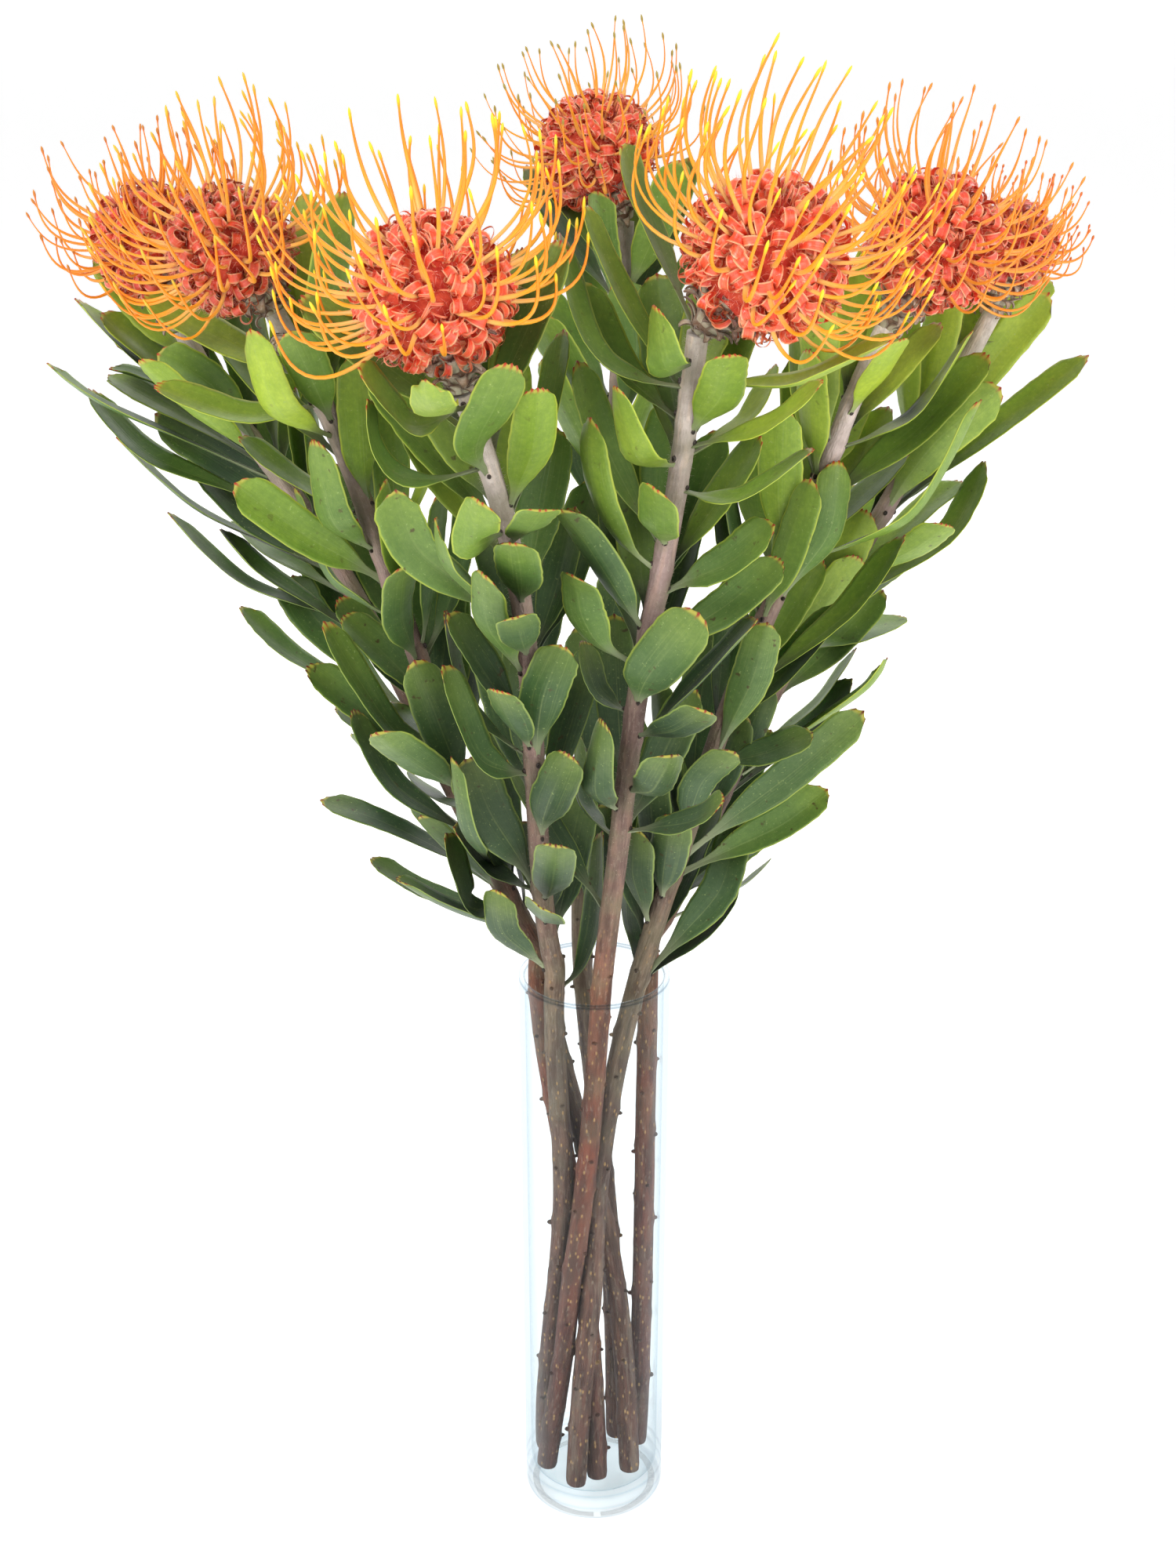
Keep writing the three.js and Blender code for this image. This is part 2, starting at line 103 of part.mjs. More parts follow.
  [58,2,0,17.6,[[13,-46.3,373.3],[26.2,-56.5,379.5],[38.7,-68.4,386.5],[46.1,-79,395.2],[51.5,-88.9,404.4]],[-0.46,-0.05,0.89],[-0.88,-0.06,0.46]],
  [59,6,0,18.8,[[38.7,-7.6,350.5],[42.2,-12.2,368.2],[46.1,-18.7,384.2],[52.5,-24.9,394.7],[59.8,-29.8,403.1]],[-0.43,0.85,0.31],[0.04,0.87,0.48]],
  [60,6,1,18.3,[[40,-4.9,344.1],[63.2,1,361.4],[86.2,7.2,377.5],[104,12.6,391.4],[120.1,17.8,404.6]],[-0.05,-0.92,0.39],[-0.04,-0.91,0.4]],
  [61,6,0,18.2,[[37.3,-5.8,335.4],[60.4,-2.2,345.9],[82.1,1.4,355.5],[94.8,4.5,363.5],[104.3,7.5,371.1]],[-0.18,-0.75,0.64],[-0.25,-0.75,0.61]],
  [62,6,1,19.4,[[22.9,-8.7,286.3],[40.1,-6.9,306.5],[55.6,-3.1,324.5],[61.2,3.1,339.2],[63.6,11.3,352.6]],[-0.5,-0.72,0.49],[-0.46,-0.71,0.53]],
  [63,7,0,17.6,[[33.5,13,304.7],[51.4,24.2,308.1],[68.3,37,310.1],[77.3,48.8,311.7],[83.6,60.1,313.5]],[-0.3,0.2,0.93],[-0.6,0.21,0.77]],
  [64,7,0,18.8,[[60,26.1,360.6],[82.2,36.7,374.6],[102.4,45.6,387.6],[112.4,50.2,398.2],[118.7,52,408.3]],[-0.45,-0.21,0.87],[-0.78,-0.31,0.54]],
  [65,7,0,17,[[64,26.7,368.9],[94.2,30.3,389.7],[120.3,34.6,406.7],[129.6,38.6,415.3],[133.3,43.7,420.9]],[-0.57,0.2,0.8],[-0.88,0.14,0.46]],
  [66,7,0,18.2,[[66.1,28.9,373.6],[84.4,36.5,386.6],[102,44.8,398.5],[112.6,52.6,409.6],[121,60.1,420.5]],[-0.6,0.09,0.79],[-0.81,0.05,0.58]],
  [67,6,0,19.4,[[52.7,-2.1,386],[64.2,-1.2,388.9],[76.6,-0.2,391.8],[86.8,1.3,395.7],[96.2,3,400]],[-0.23,-0.24,0.94],[-0.37,-0.24,0.9]],
  [68,6,0,18.6,[[52.3,-4.1,390.1],[60.3,-7,409.7],[67.4,-11.1,427.9],[70.9,-13.9,442.8],[73.3,-15.1,456.2]],[0.24,0.97,0.04],[0.15,0.99,0.06]],
  [69,6,1,18.8,[[62.9,1.2,416.9],[87.1,5.9,434.9],[109.8,10.5,452.1],[123.6,14.6,468.7],[134.4,18.6,485]],[-0.51,-0.37,0.78],[-0.71,-0.41,0.57]],
  [70,7,0,17,[[93.6,41.1,425.6],[108.1,52.5,425.8],[123.1,65.9,425.2],[135.3,79.2,425.6],[146.6,92.1,426.5]],[0.13,-0.19,0.97],[0.03,-0.1,0.99]],
  [71,7,1,18.2,[[104.6,43,442.5],[132.7,45.9,460.3],[157.4,49.3,476.8],[168.3,54.1,492.8],[174.7,60.1,508.5]],[-0.51,-0.22,0.83],[-0.86,-0.26,0.45]],
  [72,7,1,19.4,[[105.9,45.5,445.5],[127.9,57,465.3],[148.1,67.9,481.7],[159.6,74.2,489.7],[168.1,78.4,495.1]],[-0.5,-0.39,0.78],[-0.36,-0.38,0.85]],
  [73,7,0,17.6,[[112.4,44.5,457],[126.7,37.9,466.9],[139.5,29.1,476.3],[146.4,20.6,484.5],[151.4,12.4,492.1]],[0.06,0.87,0.49],[0.1,0.72,0.69]],
  [74,6,1,18.8,[[87.2,7.8,477.7],[112.3,9.5,484.5],[136.2,12.6,494.6],[152.2,20.2,516.3],[165.6,29.3,541.9]],[-0.27,0.14,0.95],[-0.9,0.1,0.43]],
  [75,7,0,17,[[131.8,53,486.9],[159.5,59.3,508.6],[185.8,64.5,527.8],[203.9,67.7,541.7],[219.2,70,553.9]],[-0.48,-0.45,0.75],[-0.51,-0.46,0.73]],
  [76,7,1,22.2,[[128.2,50,485.3],[138.8,49.5,503.2],[150.1,48.3,519.6],[163.5,48.5,532.3],[177.8,50.6,543.6]],[0.22,0.97,-0.1],[0.08,0.96,-0.27]],
  [77,6,1,19.4,[[95.4,10.9,499.9],[115.2,15.3,514.6],[135.4,20.5,529.1],[152.3,27,545],[168.1,34.2,561.3]],[-0.44,-0.51,0.74],[-0.51,-0.49,0.71]],
  [78,7,1,19.2,[[140.1,57.6,502.6],[158.8,67.1,527],[176.9,75.6,549],[190.6,80.1,565.2],[202.5,82.5,579.6]],[-0.03,-0.92,0.38],[-0.11,-0.96,0.26]],
  [79,7,1,18.8,[[121.7,52.3,478],[130.8,59.6,499.7],[140,67.8,521.2],[152.8,75.4,540.6],[166.9,82.7,559.3]],[0.38,-0.91,0.15],[0.38,-0.92,0.07]],
  [80,6,0,17,[[105.3,15.1,528.8],[114.1,18.6,540.7],[124.6,22.9,552.1],[135.7,27.3,563.4],[146.9,31.8,574.8]],[-0.51,-0.65,0.57],[-0.41,-0.63,0.66]],
  [81,6,0,18.2,[[106.9,13,538.3],[112,6.9,548],[116.8,-1.5,557.8],[120.6,-9.5,567.3],[124,-16.9,576.6]],[-0.47,0.62,0.63],[-0.5,0.57,0.65]],
  [82,6,1,19.4,[[104.3,13.5,525.5],[119.5,13.2,530.8],[135.3,15.1,538.1],[148.4,22.1,553.5],[160.7,31.4,571.5]],[-0.33,-0.11,0.94],[-0.8,-0.09,0.59]],
  [83,2,0,17.6,[[38.2,-90.8,574.5],[55.4,-89.5,572],[73.9,-91.8,572.6],[91.9,-97.2,581.2],[108.9,-105.7,592.6]],[0.15,-0.07,0.99],[-0.56,-0.02,0.82]],
  [84,2,0,18.8,[[35.2,-87.7,553],[40.3,-94.9,561.3],[45.2,-104,569.7],[47,-111.9,579.1],[47.8,-119,588.6]],[0.14,0.79,0.6],[-0.24,0.77,0.6]],
  [85,2,0,17,[[35.2,-85.9,547.8],[49.6,-96,553.9],[63.5,-105.8,560.4],[73.4,-112,569.2],[81.9,-115.9,578.5]],[-0.43,-0.07,0.9],[-0.76,-0.12,0.64]],
  [86,2,0,18.2,[[33.1,-82,530.1],[42.9,-89.3,529.3],[54.3,-96.4,530.7],[67.4,-99.6,539.3],[80.9,-100.9,550.1]],[-0.04,-0.17,0.98],[-0.62,-0.25,0.74]],
  [87,2,0,19.4,[[26.8,-71.5,486.1],[39.3,-77.1,493.9],[51.9,-83.1,501.6],[60.6,-87.7,510.1],[68,-91.4,518.8]],[-0.6,-0.52,0.6],[-0.73,-0.56,0.39]],
  [88,2,0,17.6,[[22.2,-64,458.3],[36.7,-63.1,467.9],[51.7,-60.6,477],[63.6,-56.2,485.7],[74.5,-50.6,494.2]],[-0.34,-0.74,0.58],[-0.2,-0.68,0.7]],
  [89,6,0,18.8,[[78.8,3.7,459.7],[89.6,0.3,476.1],[99,-1.7,491.5],[102.2,1.1,506.4],[103.4,7.4,520.8]],[-0.3,0.88,0.38],[-0.58,0.76,-0.28]],
  [90,6,1,17,[[82.7,9.2,477.4],[85.7,16.9,500.3],[87.1,25.4,522.4],[87.3,32.7,541.2],[87.1,39.7,559]],[0.21,-0.94,0.29],[0.2,-0.91,0.36]],
  [91,6,0,18.2,[[73.9,7,451.4],[81.6,22.2,469.9],[88.4,38.9,486.7],[91.6,52.8,498.2],[93.7,65.3,508.2]],[-0.79,-0.28,0.56],[-0.85,-0.23,0.47]],
  [92,6,1,19.4,[[68.6,5.1,443.7],[63.1,15.7,460.1],[57.3,25.2,478],[54.9,31.8,497.5],[53.6,36,517.7]],[0.65,-0.52,0.56],[0.73,-0.65,0.18]],
  [93,6,0,17.6,[[79.3,8.3,468.9],[73.3,19.7,481.4],[67.7,32.1,493.9],[67.2,42.9,505.3],[68.5,52.7,516.4]],[0.53,-0.48,0.7],[0.73,-0.55,0.4]],
  [94,2,0,18.8,[[34.5,-82,543.1],[47.6,-72.5,548.3],[60,-61.5,554.1],[66.3,-50.9,561.7],[70.5,-40.9,570]],[-0.3,-0.1,0.95],[-0.82,-0.12,0.55]],
  [95,2,1,17,[[23.8,-73.3,495.7],[10.8,-79,508.7],[1.2,-83.9,526.5],[-2.8,-87.7,544.9],[-1.9,-92.2,559.9]],[0.33,0.69,0.64],[0.83,0.54,0.11]],
  [96,2,0,18.2,[[19.4,-67.8,469.2],[12.3,-74.3,482],[3.7,-81.2,497.8],[-5.1,-87.5,513.1],[-13.8,-94.4,525.5]],[0.33,0.76,0.57],[0.24,0.77,0.59]],
  [97,2,0,19.4,[[27.3,-77.7,507.3],[25.2,-87.7,512.9],[23.1,-100,519.5],[22.3,-110.6,529.3],[21.9,-120.4,539.9]],[0.41,0.38,0.83],[0.82,0.41,0.4]],
  [98,2,1,17.6,[[33.4,-90.4,571.3],[16.7,-94.8,575.2],[2.7,-96.2,581.9],[-7.1,-90.5,597.4],[-13.4,-77.4,625.5]],[0.26,-0.15,0.95],[0.91,-0.27,0.33]],
  [99,2,1,18.8,[[32.1,-86,557.5],[20.7,-83.1,566.1],[8.9,-79.2,576.5],[0.6,-73.5,591],[-6.5,-67.3,606.8]],[0.46,-0.47,0.76],[0.69,-0.51,0.51]],
  [100,2,0,17,[[31,-84.8,541],[23.8,-93.6,542.6],[16.4,-103,547.1],[11.3,-108.2,560.1],[7.2,-111.7,575.7]],[-0.35,0.44,0.83],[0.85,0.41,0.32]],
  [101,3,0,18.2,[[7.9,66.8,490],[7.5,73.9,501.8],[7,80.1,513.7],[8.1,82.9,525.8],[9.7,83.2,538.2]],[0.65,-0.64,0.41],[0.63,-0.77,-0.06]],
  [102,3,0,19.4,[[11.3,68.3,517.7],[15.6,68.4,539.5],[18.7,67.7,559.6],[15.8,68,574.7],[10.9,69.9,588]],[-0.26,0.96,0.05],[-0.29,0.93,-0.24]],
  [103,2,0,17.6,[[35.5,-94.5,581.4],[30.6,-103.4,580.7],[25.8,-112.9,582.7],[23,-118.3,593.1],[21,-121.9,606.1]],[-0.75,0.36,0.56],[0.87,0.42,0.25]],
  [104,2,0,18.8,[[36.6,-93,592.9],[27.7,-73.6,611],[19,-61.3,629.2],[13.5,-62.4,643.4],[9.2,-72.4,656.4]],[0.58,-0.4,0.71],[0.89,-0.46,-0.06]],
  [105,3,0,17,[[10.6,79.4,569.7],[7,76.9,586],[3.3,72.2,601.5],[2,67.2,614.3],[1.5,62.5,625.9]],[0.61,0.75,0.25],[0.66,0.69,0.3]],
  [106,3,0,18.2,[[10.2,84.6,583.6],[-2.1,90.4,601.2],[-14.1,96.1,616.6],[-20.3,99.7,625.1],[-24.6,102.9,631.4]],[0.67,-0.42,0.61],[0.65,-0.4,0.64]],
  [107,3,0,19.4,[[5.5,62.5,478],[-1.6,67,490.8],[-8.5,71.6,502.7],[-9.8,75.1,511.6],[-9.2,78.2,519.6]],[0.76,-0.35,0.55],[0.89,-0.45,0.11]],
  [108,3,0,17.6,[[6.3,62.3,468.6],[2,74.6,472.1],[-2.2,89.8,475.6],[-3.7,105,480.6],[-4.4,119.8,486.3]],[0.69,0.04,0.72],[0.95,-0.07,0.29]],
  [109,2,0,18.8,[[16.9,-64.1,453.4],[2.3,-70.8,464.5],[-4.9,-77.8,478.2],[-7,-84.4,490.6],[-8.9,-91.8,499.1]],[0.04,0.83,0.55],[0.47,0.61,0.63]],
  [110,2,0,17,[[14,-57.6,430.7],[7.5,-56.7,434.1],[0.6,-54.8,439.1],[-3,-51.3,448.1],[-5.3,-47.2,458.4]],[0.43,-0.19,0.88],[0.86,-0.38,0.34]],
  [111,2,0,18.2,[[8.8,-41.9,369],[0.9,-34.2,372.4],[-6.5,-24.6,378.1],[-8.3,-13.8,389.7],[-8.1,-3.2,403.6]],[0.4,0.01,0.92],[0.92,-0.31,0.23]],
  [112,1,1,19.4,[[-16.1,-17.6,284.1],[-6.4,-13.4,291.8],[0.1,-6.8,306.9],[2.7,0.4,327.7],[3.5,7.1,350.6]],[-0.59,-0.1,0.8],[-0.9,-0.41,0.15]],
  [113,6,0,17.6,[[19.4,-6.9,289.1],[17.5,-2.9,297.6],[15.1,6.2,305],[14.4,19.7,311.6],[14.4,36,317.4]],[0.87,-0.34,0.35],[0.88,-0.16,0.44]],
  [114,6,0,18.8,[[22.4,-8.3,284.5],[37.2,-4.8,295.6],[52.7,0.2,308.7],[61.6,5.3,321.9],[59.7,9.6,332.9]],[-0.55,-0.22,0.81],[-0.84,-0.54,0.07]],
  [1000,1,0,17.4,[[-39.4,-96.9,544.9],[-36,-88.6,563],[-32.8,-80.6,581.3],[-30,-73.3,600],[-27.7,-66.7,618.9]],[-0.39,-0.81,0.44],[-0.41,-0.85,0.34]],
  [1001,4,0,19.5,[[-116.3,-27.2,562.5],[-133.3,-21.2,568.6],[-150.2,-15.3,575.5],[-166.7,-10,583.4],[-182.8,-5.1,592.5]],[0.13,-0.49,0.86],[0.28,-0.54,0.79]],
  [1002,1,0,20.4,[[-25.4,-57,429],[-23.2,-45.7,445.8],[-21.3,-36.5,463.7],[-19.8,-29.9,482.9],[-18.8,-26.2,502.8]],[-0.38,-0.74,0.55],[-0.43,-0.88,0.19]],
  [1003,6,0,17,[[99.6,12.4,525.4],[97.2,9.5,543.4],[94.8,6.8,561.5],[92.8,4.2,579.6],[91.2,1.8,597.8]],[0.46,0.86,0.2],[0.45,0.88,0.16]],
  [1004,6,0,18.2,[[43.7,-1.5,367.6],[44.9,9.9,384.4],[46.9,19.9,401.9],[49.8,28.3,420.1],[53.5,35,438.9]],[0.07,-0.83,0.56],[0.01,-0.94,0.34]],
  [1005,1,0,19.9,[[-35.3,-86.1,514.2],[-48.3,-80.2,528.2],[-61.2,-74.5,542.4],[-73.9,-69.2,557],[-86.3,-64.4,572]],[0.38,-0.68,0.63],[0.43,-0.7,0.58]],
  [1006,2,0,19.4,[[21.2,-65.7,473.2],[18.7,-59.3,488.5],[16.9,-53.9,504.3],[15.7,-50,520.5],[15.3,-47.4,537.1]],[0.27,-0.87,0.41],[0.26,-0.95,0.15]],
  [1007,1,0,20,[[-28.2,-75.1,484.2],[-24.6,-70,500.1],[-21.2,-65.3,516.1],[-18,-61.1,532.4],[-15.1,-57.6,548.8]],[-0.03,-0.95,0.31],[-0.02,-0.98,0.21]],
  [1008,2,0,20.3,[[32.3,-82.3,547],[29.8,-75.5,562.1],[27.4,-69,577.2],[25.3,-63.1,592.6],[23.4,-57.7,608.2]],[-0.06,-0.91,0.4],[-0.07,-0.94,0.32]],
  [1009,1,0,18.5,[[-25.5,-43.5,383.6],[-31.6,-33.7,400.5],[-37.6,-24.1,417.6],[-43.4,-15.2,435.1],[-49,-6.9,453]],[0.01,-0.86,0.51],[0.04,-0.9,0.43]],
  [1010,4,0,17.5,[[-108.7,-26,553.9],[-106,-18.4,567.7],[-104.3,-11.5,582],[-103.8,-5.7,596.8],[-104.4,-1,612]],[-0.7,-0.56,0.44],[-0.72,-0.67,0.18]],
  [1011,2,0,18.5,[[12.2,-47.2,393.8],[10.8,-39,410.1],[9.7,-31.6,426.7],[8.8,-25.3,443.9],[8.2,-20.3,461.4]],[-0.21,-0.88,0.43],[-0.24,-0.94,0.26]],
  [1012,6,0,17.1,[[106.5,17.1,543.8],[106.5,22,558.2],[107.2,26.5,572.7],[108.9,30.5,587.2],[111.4,34,601.8]],[0.57,-0.78,0.27],[0.44,-0.89,0.14]],
  [1013,2,0,19.4,[[12.1,-42.1,370.6],[20.1,-36.2,384.8],[27.8,-30.7,399.3],[35.1,-25.9,414.3],[41.9,-21.8,429.6]],[-0.28,-0.82,0.5],[-0.34,-0.86,0.38]],
  [1014,1,0,19.9,[[-42.2,-102.6,558.1],[-34.3,-99.2,574.4],[-26.5,-96,590.8],[-19.4,-93.2,607.6],[-12.8,-91,624.7]],[-0.64,-0.63,0.44],[-0.68,-0.65,0.35]],
  [1015,3,0,20.3,[[13.9,81.6,578.5],[20.4,79.2,592.9],[26.6,77.1,607.6],[32.3,75.4,622.5],[37.6,74.3,637.6]],[-0.39,0.86,0.32],[-0.41,0.89,0.21]],
  [1016,6,0,17.1,[[64.5,3.4,423.8],[74,10.8,434.8],[83.1,17.3,446.5],[91.6,23,459.2],[99.5,27.6,472.7]],[-0.19,-0.73,0.66],[-0.3,-0.83,0.46]],
  [1017,2,0,19.7,[[18.7,-58.5,441.2],[25,-54.9,458.8],[30.9,-51.8,476.7],[36.5,-49.5,494.7],[41.8,-48.1,513]],[-0.65,-0.66,0.37],[-0.7,-0.67,0.25]],
  [1018,4,0,17.2,[[-63,-13.3,402.1],[-62.4,-1.7,417.7],[-62.3,9.1,433.9],[-62.9,18.6,450.9],[-64.1,26.8,468.5]],[0.15,-0.8,0.59],[0.2,-0.88,0.42]],
  [1019,5,0,18.6,[[-135.6,22.6,513.4],[-133.8,35.1,529.2],[-133,47,545.5],[-133.7,57.8,562.5],[-135.8,67.6,580]],[-0.24,-0.75,0.62],[-0.18,-0.87,0.47]],
  [1020,5,0,18.5,[[-96.6,21.4,443.7],[-100.6,27.7,460.7],[-105.2,33.2,477.7],[-110.7,37.7,494.8],[-116.8,41.3,511.9]],[-0.28,-0.92,0.27],[-0.19,-0.97,0.13]],
  [1021,1,0,20,[[-23.3,-41.6,376.6],[-17.1,-32.4,393.2],[-11.1,-23.6,410],[-5.4,-15.7,427.4],[-0.1,-8.6,445.2]],[-0.59,-0.59,0.55],[-0.62,-0.65,0.44]],
  [1022,4,0,18.5,[[-113.3,-29.4,565.7],[-108.4,-36.1,583.7],[-103.7,-42.8,601.7],[-99.5,-49.3,620],[-95.8,-55.6,638.4]],[-0.5,0.76,0.42],[-0.5,0.78,0.37]],
  [1023,3,0,19.4,[[9.4,77.1,542.1],[3.7,87.1,558.1],[-1.9,97,574.1],[-7.3,106.7,590.4],[-12.4,116.2,606.8]],[0.66,-0.51,0.55],[0.67,-0.53,0.52]],
  [1024,2,0,20.1,[[26.2,-70.9,497.7],[27.3,-61.6,511.8],[28.6,-53.8,526.6],[30.2,-47.8,542.3],[32.2,-43.8,558.6]],[-0.1,-0.83,0.55],[-0.17,-0.95,0.26]],
  [1025,1,0,17.2,[[-27.8,-62.7,446.2],[-32.2,-62.6,463.8],[-36.3,-63,481.4],[-39.9,-64.2,499.1],[-43,-66.1,516.9]],[0.47,-0.87,0.13],[0.49,-0.87,-0.01]],
  [1026,7,0,18.7,[[141.2,56.7,512.6],[137.6,53.5,532],[134.7,50.7,551.6],[132.8,48.3,571.3],[131.9,46.4,591.2]],[0.73,0.64,0.24],[0.73,0.67,0.1]],
  [1027,6,0,20.1,[[29.5,-7.7,326.4],[27.8,-9.1,342.4],[26.2,-10.5,358.4],[24.9,-11.8,374.5],[23.7,-13,390.6]],[0.65,0.74,0.13],[0.64,0.76,0.1]],
  [1028,1,0,18.7,[[-36.5,-88.9,522.7],[-45.3,-83.1,536.3],[-53.5,-78.8,550.7],[-61.1,-76.3,565.9],[-67.8,-75.8,581.7]],[0.03,-0.91,0.41],[0.14,-0.99,0.09]],
  [1029,6,0,18.1,[[53.3,1.2,398.9],[54.8,10.7,414.4],[56.6,20,430.1],[58.6,28.9,445.9],[60.8,37.4,461.9]],[0.54,-0.74,0.4],[0.53,-0.78,0.34]],
  [1030,1,0,20.2,[[-46.8,-103.8,560.4],[-62.7,-99.8,570.4],[-78.3,-96.4,581.2],[-93.3,-93.7,592.8],[-107.9,-91.8,605.2]],[0.28,-0.66,0.7],[0.42,-0.68,0.6]],
  [1031,6,0,17.6,[[90.7,11.2,489.8],[100.7,21.3,499.9],[110.4,30.7,510.9],[119.7,39.2,522.9],[128.7,46.7,535.9]],[-0.29,-0.52,0.81],[-0.42,-0.63,0.65]],
  [1032,4,0,20.4,[[-74,-19.9,446.2],[-70.2,-22.6,463.8],[-66.9,-25.3,481.5],[-64.4,-27.8,499.4],[-62.7,-30.3,517.3]],[-0.86,0.43,0.26],[-0.86,0.49,0.15]],
  [1033,2,0,20.4,[[35.3,-85.8,562.8],[38.7,-77.6,575.3],[42,-70.4,588.4],[45.1,-64.7,602.3],[48,-60.6,616.8]],[-0.08,-0.82,0.56],[-0.14,-0.94,0.3]],
  [1034,3,0,19,[[9,74.9,531.4],[-0.1,87.3,541],[-8.5,99.4,551.6],[-16.1,110.7,563.6],[-22.8,121.4,576.7]],[0.3,-0.44,0.85],[0.4,-0.6,0.69]],
  [1035,5,0,19.6,[[-121.4,19.8,492.4],[-121.5,16.5,507.1],[-122.2,13.4,522],[-123.5,10.6,536.8],[-125.7,8.1,551.6]],[-0.95,0.31,0.06],[-0.94,0.33,-0.08]],
  [1036,2,0,18.8,[[25.7,-74.2,506.5],[15.2,-71.2,522.7],[6,-68.9,539.8],[-1.3,-67.8,557.9],[-6.9,-67.7,576.6]],[0.66,-0.53,0.53],[0.78,-0.58,0.23]],
  [1037,6,0,20.1,[[81.7,6.4,476.1],[79.4,4.2,493.1],[77.9,2.3,510.3],[77.3,0.9,527.5],[77.8,-0.1,544.8]],[0.53,0.83,0.18],[0.43,0.9,0.04]],
  [1038,4,0,19.3,[[-102.9,-24.5,528.9],[-117.4,-16.1,538.7],[-131.4,-8.6,549.8],[-144.6,-2.1,562.4],[-156.9,3.1,576.4]],[0.37,-0.36,0.86],[0.57,-0.46,0.68]],
  [1039,7,0,17.3,[[155.4,64.8,536.8],[160.2,73.7,551.6],[165,82.4,566.6],[170.2,90.8,581.6],[175.6,98.8,596.8]],[0.3,-0.86,0.42],[0.28,-0.89,0.37]],
  [1040,6,0,17.6,[[38.7,-5.7,356.1],[34.4,-8.4,374.7],[31,-10.8,393.5],[28.6,-12.7,412.6],[27.4,-14.2,431.8]],[0.71,0.65,0.26],[0.7,0.7,0.1]],
  [1041,4,0,20.2,[[-82.7,-19.1,468.7],[-85.7,-10.6,483.8],[-88.9,-2.4,499.2],[-92.2,5,514.9],[-95.7,11.7,530.8]],[-0.2,-0.87,0.45],[-0.18,-0.92,0.35]],
  [1042,5,0,20.1,[[-145.7,22.2,528.4],[-146.6,28.7,542.8],[-148.8,34.3,557.4],[-152.5,38.8,572],[-157.7,42.2,586.5]],[-0.64,-0.71,0.28],[-0.53,-0.85,0.01]],
  [1043,2,0,19.1,[[4.7,-33,329.9],[-6.4,-28,346.2],[-17.2,-23.2,362.7],[-27.4,-18.9,379.7],[-37,-15.2,397.3]],[0.71,-0.37,0.6],[0.77,-0.4,0.5]],
  [1044,2,0,19.2,[[24.6,-67.5,481.7],[31.2,-61,497.3],[37.7,-54.8,513],[44.1,-49,528.9],[50.4,-43.7,545.1]],[-0.51,-0.69,0.51],[-0.54,-0.71,0.44]],
  [1045,3,0,18.8,[[13.8,82,567.2],[22,90.5,583.5],[29.7,98.8,600.2],[36.7,106.6,617.4],[42.9,114.1,635.1]],[-0.47,-0.66,0.58],[-0.49,-0.72,0.48]],
  [1046,2,0,18.8,[[34.3,-82.4,546.8],[41.9,-74.3,560.4],[48.9,-68,575.2],[55.1,-63.8,591.1],[60.1,-61.7,607.8]],[-0.27,-0.76,0.6],[-0.42,-0.88,0.23]],
  [1047,6,0,17.8,[[104.7,16.9,532.7],[110.1,33,543.2],[116,48.1,555],[122.2,61.6,568.4],[128.7,73.3,583.2]],[-0.02,-0.54,0.84],[-0.12,-0.75,0.65]],
  [1048,1,0,18.2,[[-33.6,-86.2,516.4],[-33.2,-75.6,531.3],[-33,-65.8,546.6],[-33.1,-57.2,562.7],[-33.5,-49.8,579.5]],[-0.13,-0.81,0.58],[-0.13,-0.91,0.4]],
  [1049,3,0,19.9,[[10.1,83.7,576.3],[-1,92.4,589.1],[-11.6,100.9,602.5],[-21.5,109.2,616.5],[-30.5,117.2,631.3]],[0.46,-0.5,0.73],[0.52,-0.58,0.63]],
  [1050,3,0,18.4,[[6.8,63.5,492.6],[-0.9,60,508.1],[-8.5,56.8,523.8],[-15.6,53.8,539.7],[-22.2,51.3,555.9]],[0.57,0.7,0.44],[0.6,0.72,0.36]],
  [1051,1,0,20.1,[[-25.7,-65.5,455],[-18,-55.7,470.6],[-10.9,-47.2,487.2],[-4.7,-40.4,504.9],[0.7,-35.4,523.5]],[-0.36,-0.7,0.61],[-0.46,-0.81,0.35]],
  [1052,5,0,17.7,[[-167.7,21.9,558.3],[-179.1,27.5,568.5],[-190.1,32.4,579.4],[-200.7,36.4,591.1],[-210.7,39.5,603.6]],[0.13,-0.8,0.59],[0.28,-0.85,0.44]],
  [1053,1,0,17.4,[[-43.7,-99.6,550.8],[-56.9,-92.7,563.5],[-69.8,-86.6,576.9],[-82.3,-81.7,591.2],[-94.2,-78.1,606.3]],[0.45,-0.5,0.74],[0.58,-0.57,0.59]],
  [1054,1,0,19.8,[[-33,-81.3,500.8],[-44.1,-75.1,513.8],[-54.8,-69.9,527.7],[-64.7,-66.1,542.5],[-73.7,-63.6,558.2]],[0.37,-0.68,0.64],[0.53,-0.74,0.42]],
  [1055,1,0,17.8,[[-25.6,-66.2,456.7],[-20.1,-62,471],[-15.2,-58.8,485.8],[-11.2,-56.8,501.1],[-8,-56.2,516.7]],[-0.66,-0.61,0.43],[-0.75,-0.63,0.18]],
  [1056,1,0,19.8,[[-27.8,-55.7,419.8],[-36.1,-56.3,433],[-44.3,-57,446.3],[-52,-57.9,459.8],[-59.3,-59.1,473.5]],[0.79,-0.38,0.48],[0.83,-0.37,0.41]],
  [1057,1,0,19.6,[[-25,-43.9,385.4],[-26.7,-38.2,402.5],[-28.4,-33.2,419.8],[-30.1,-29.1,437.4],[-31.6,-26,455.2]],[-0.13,-0.94,0.3],[-0.13,-0.98,0.16]],
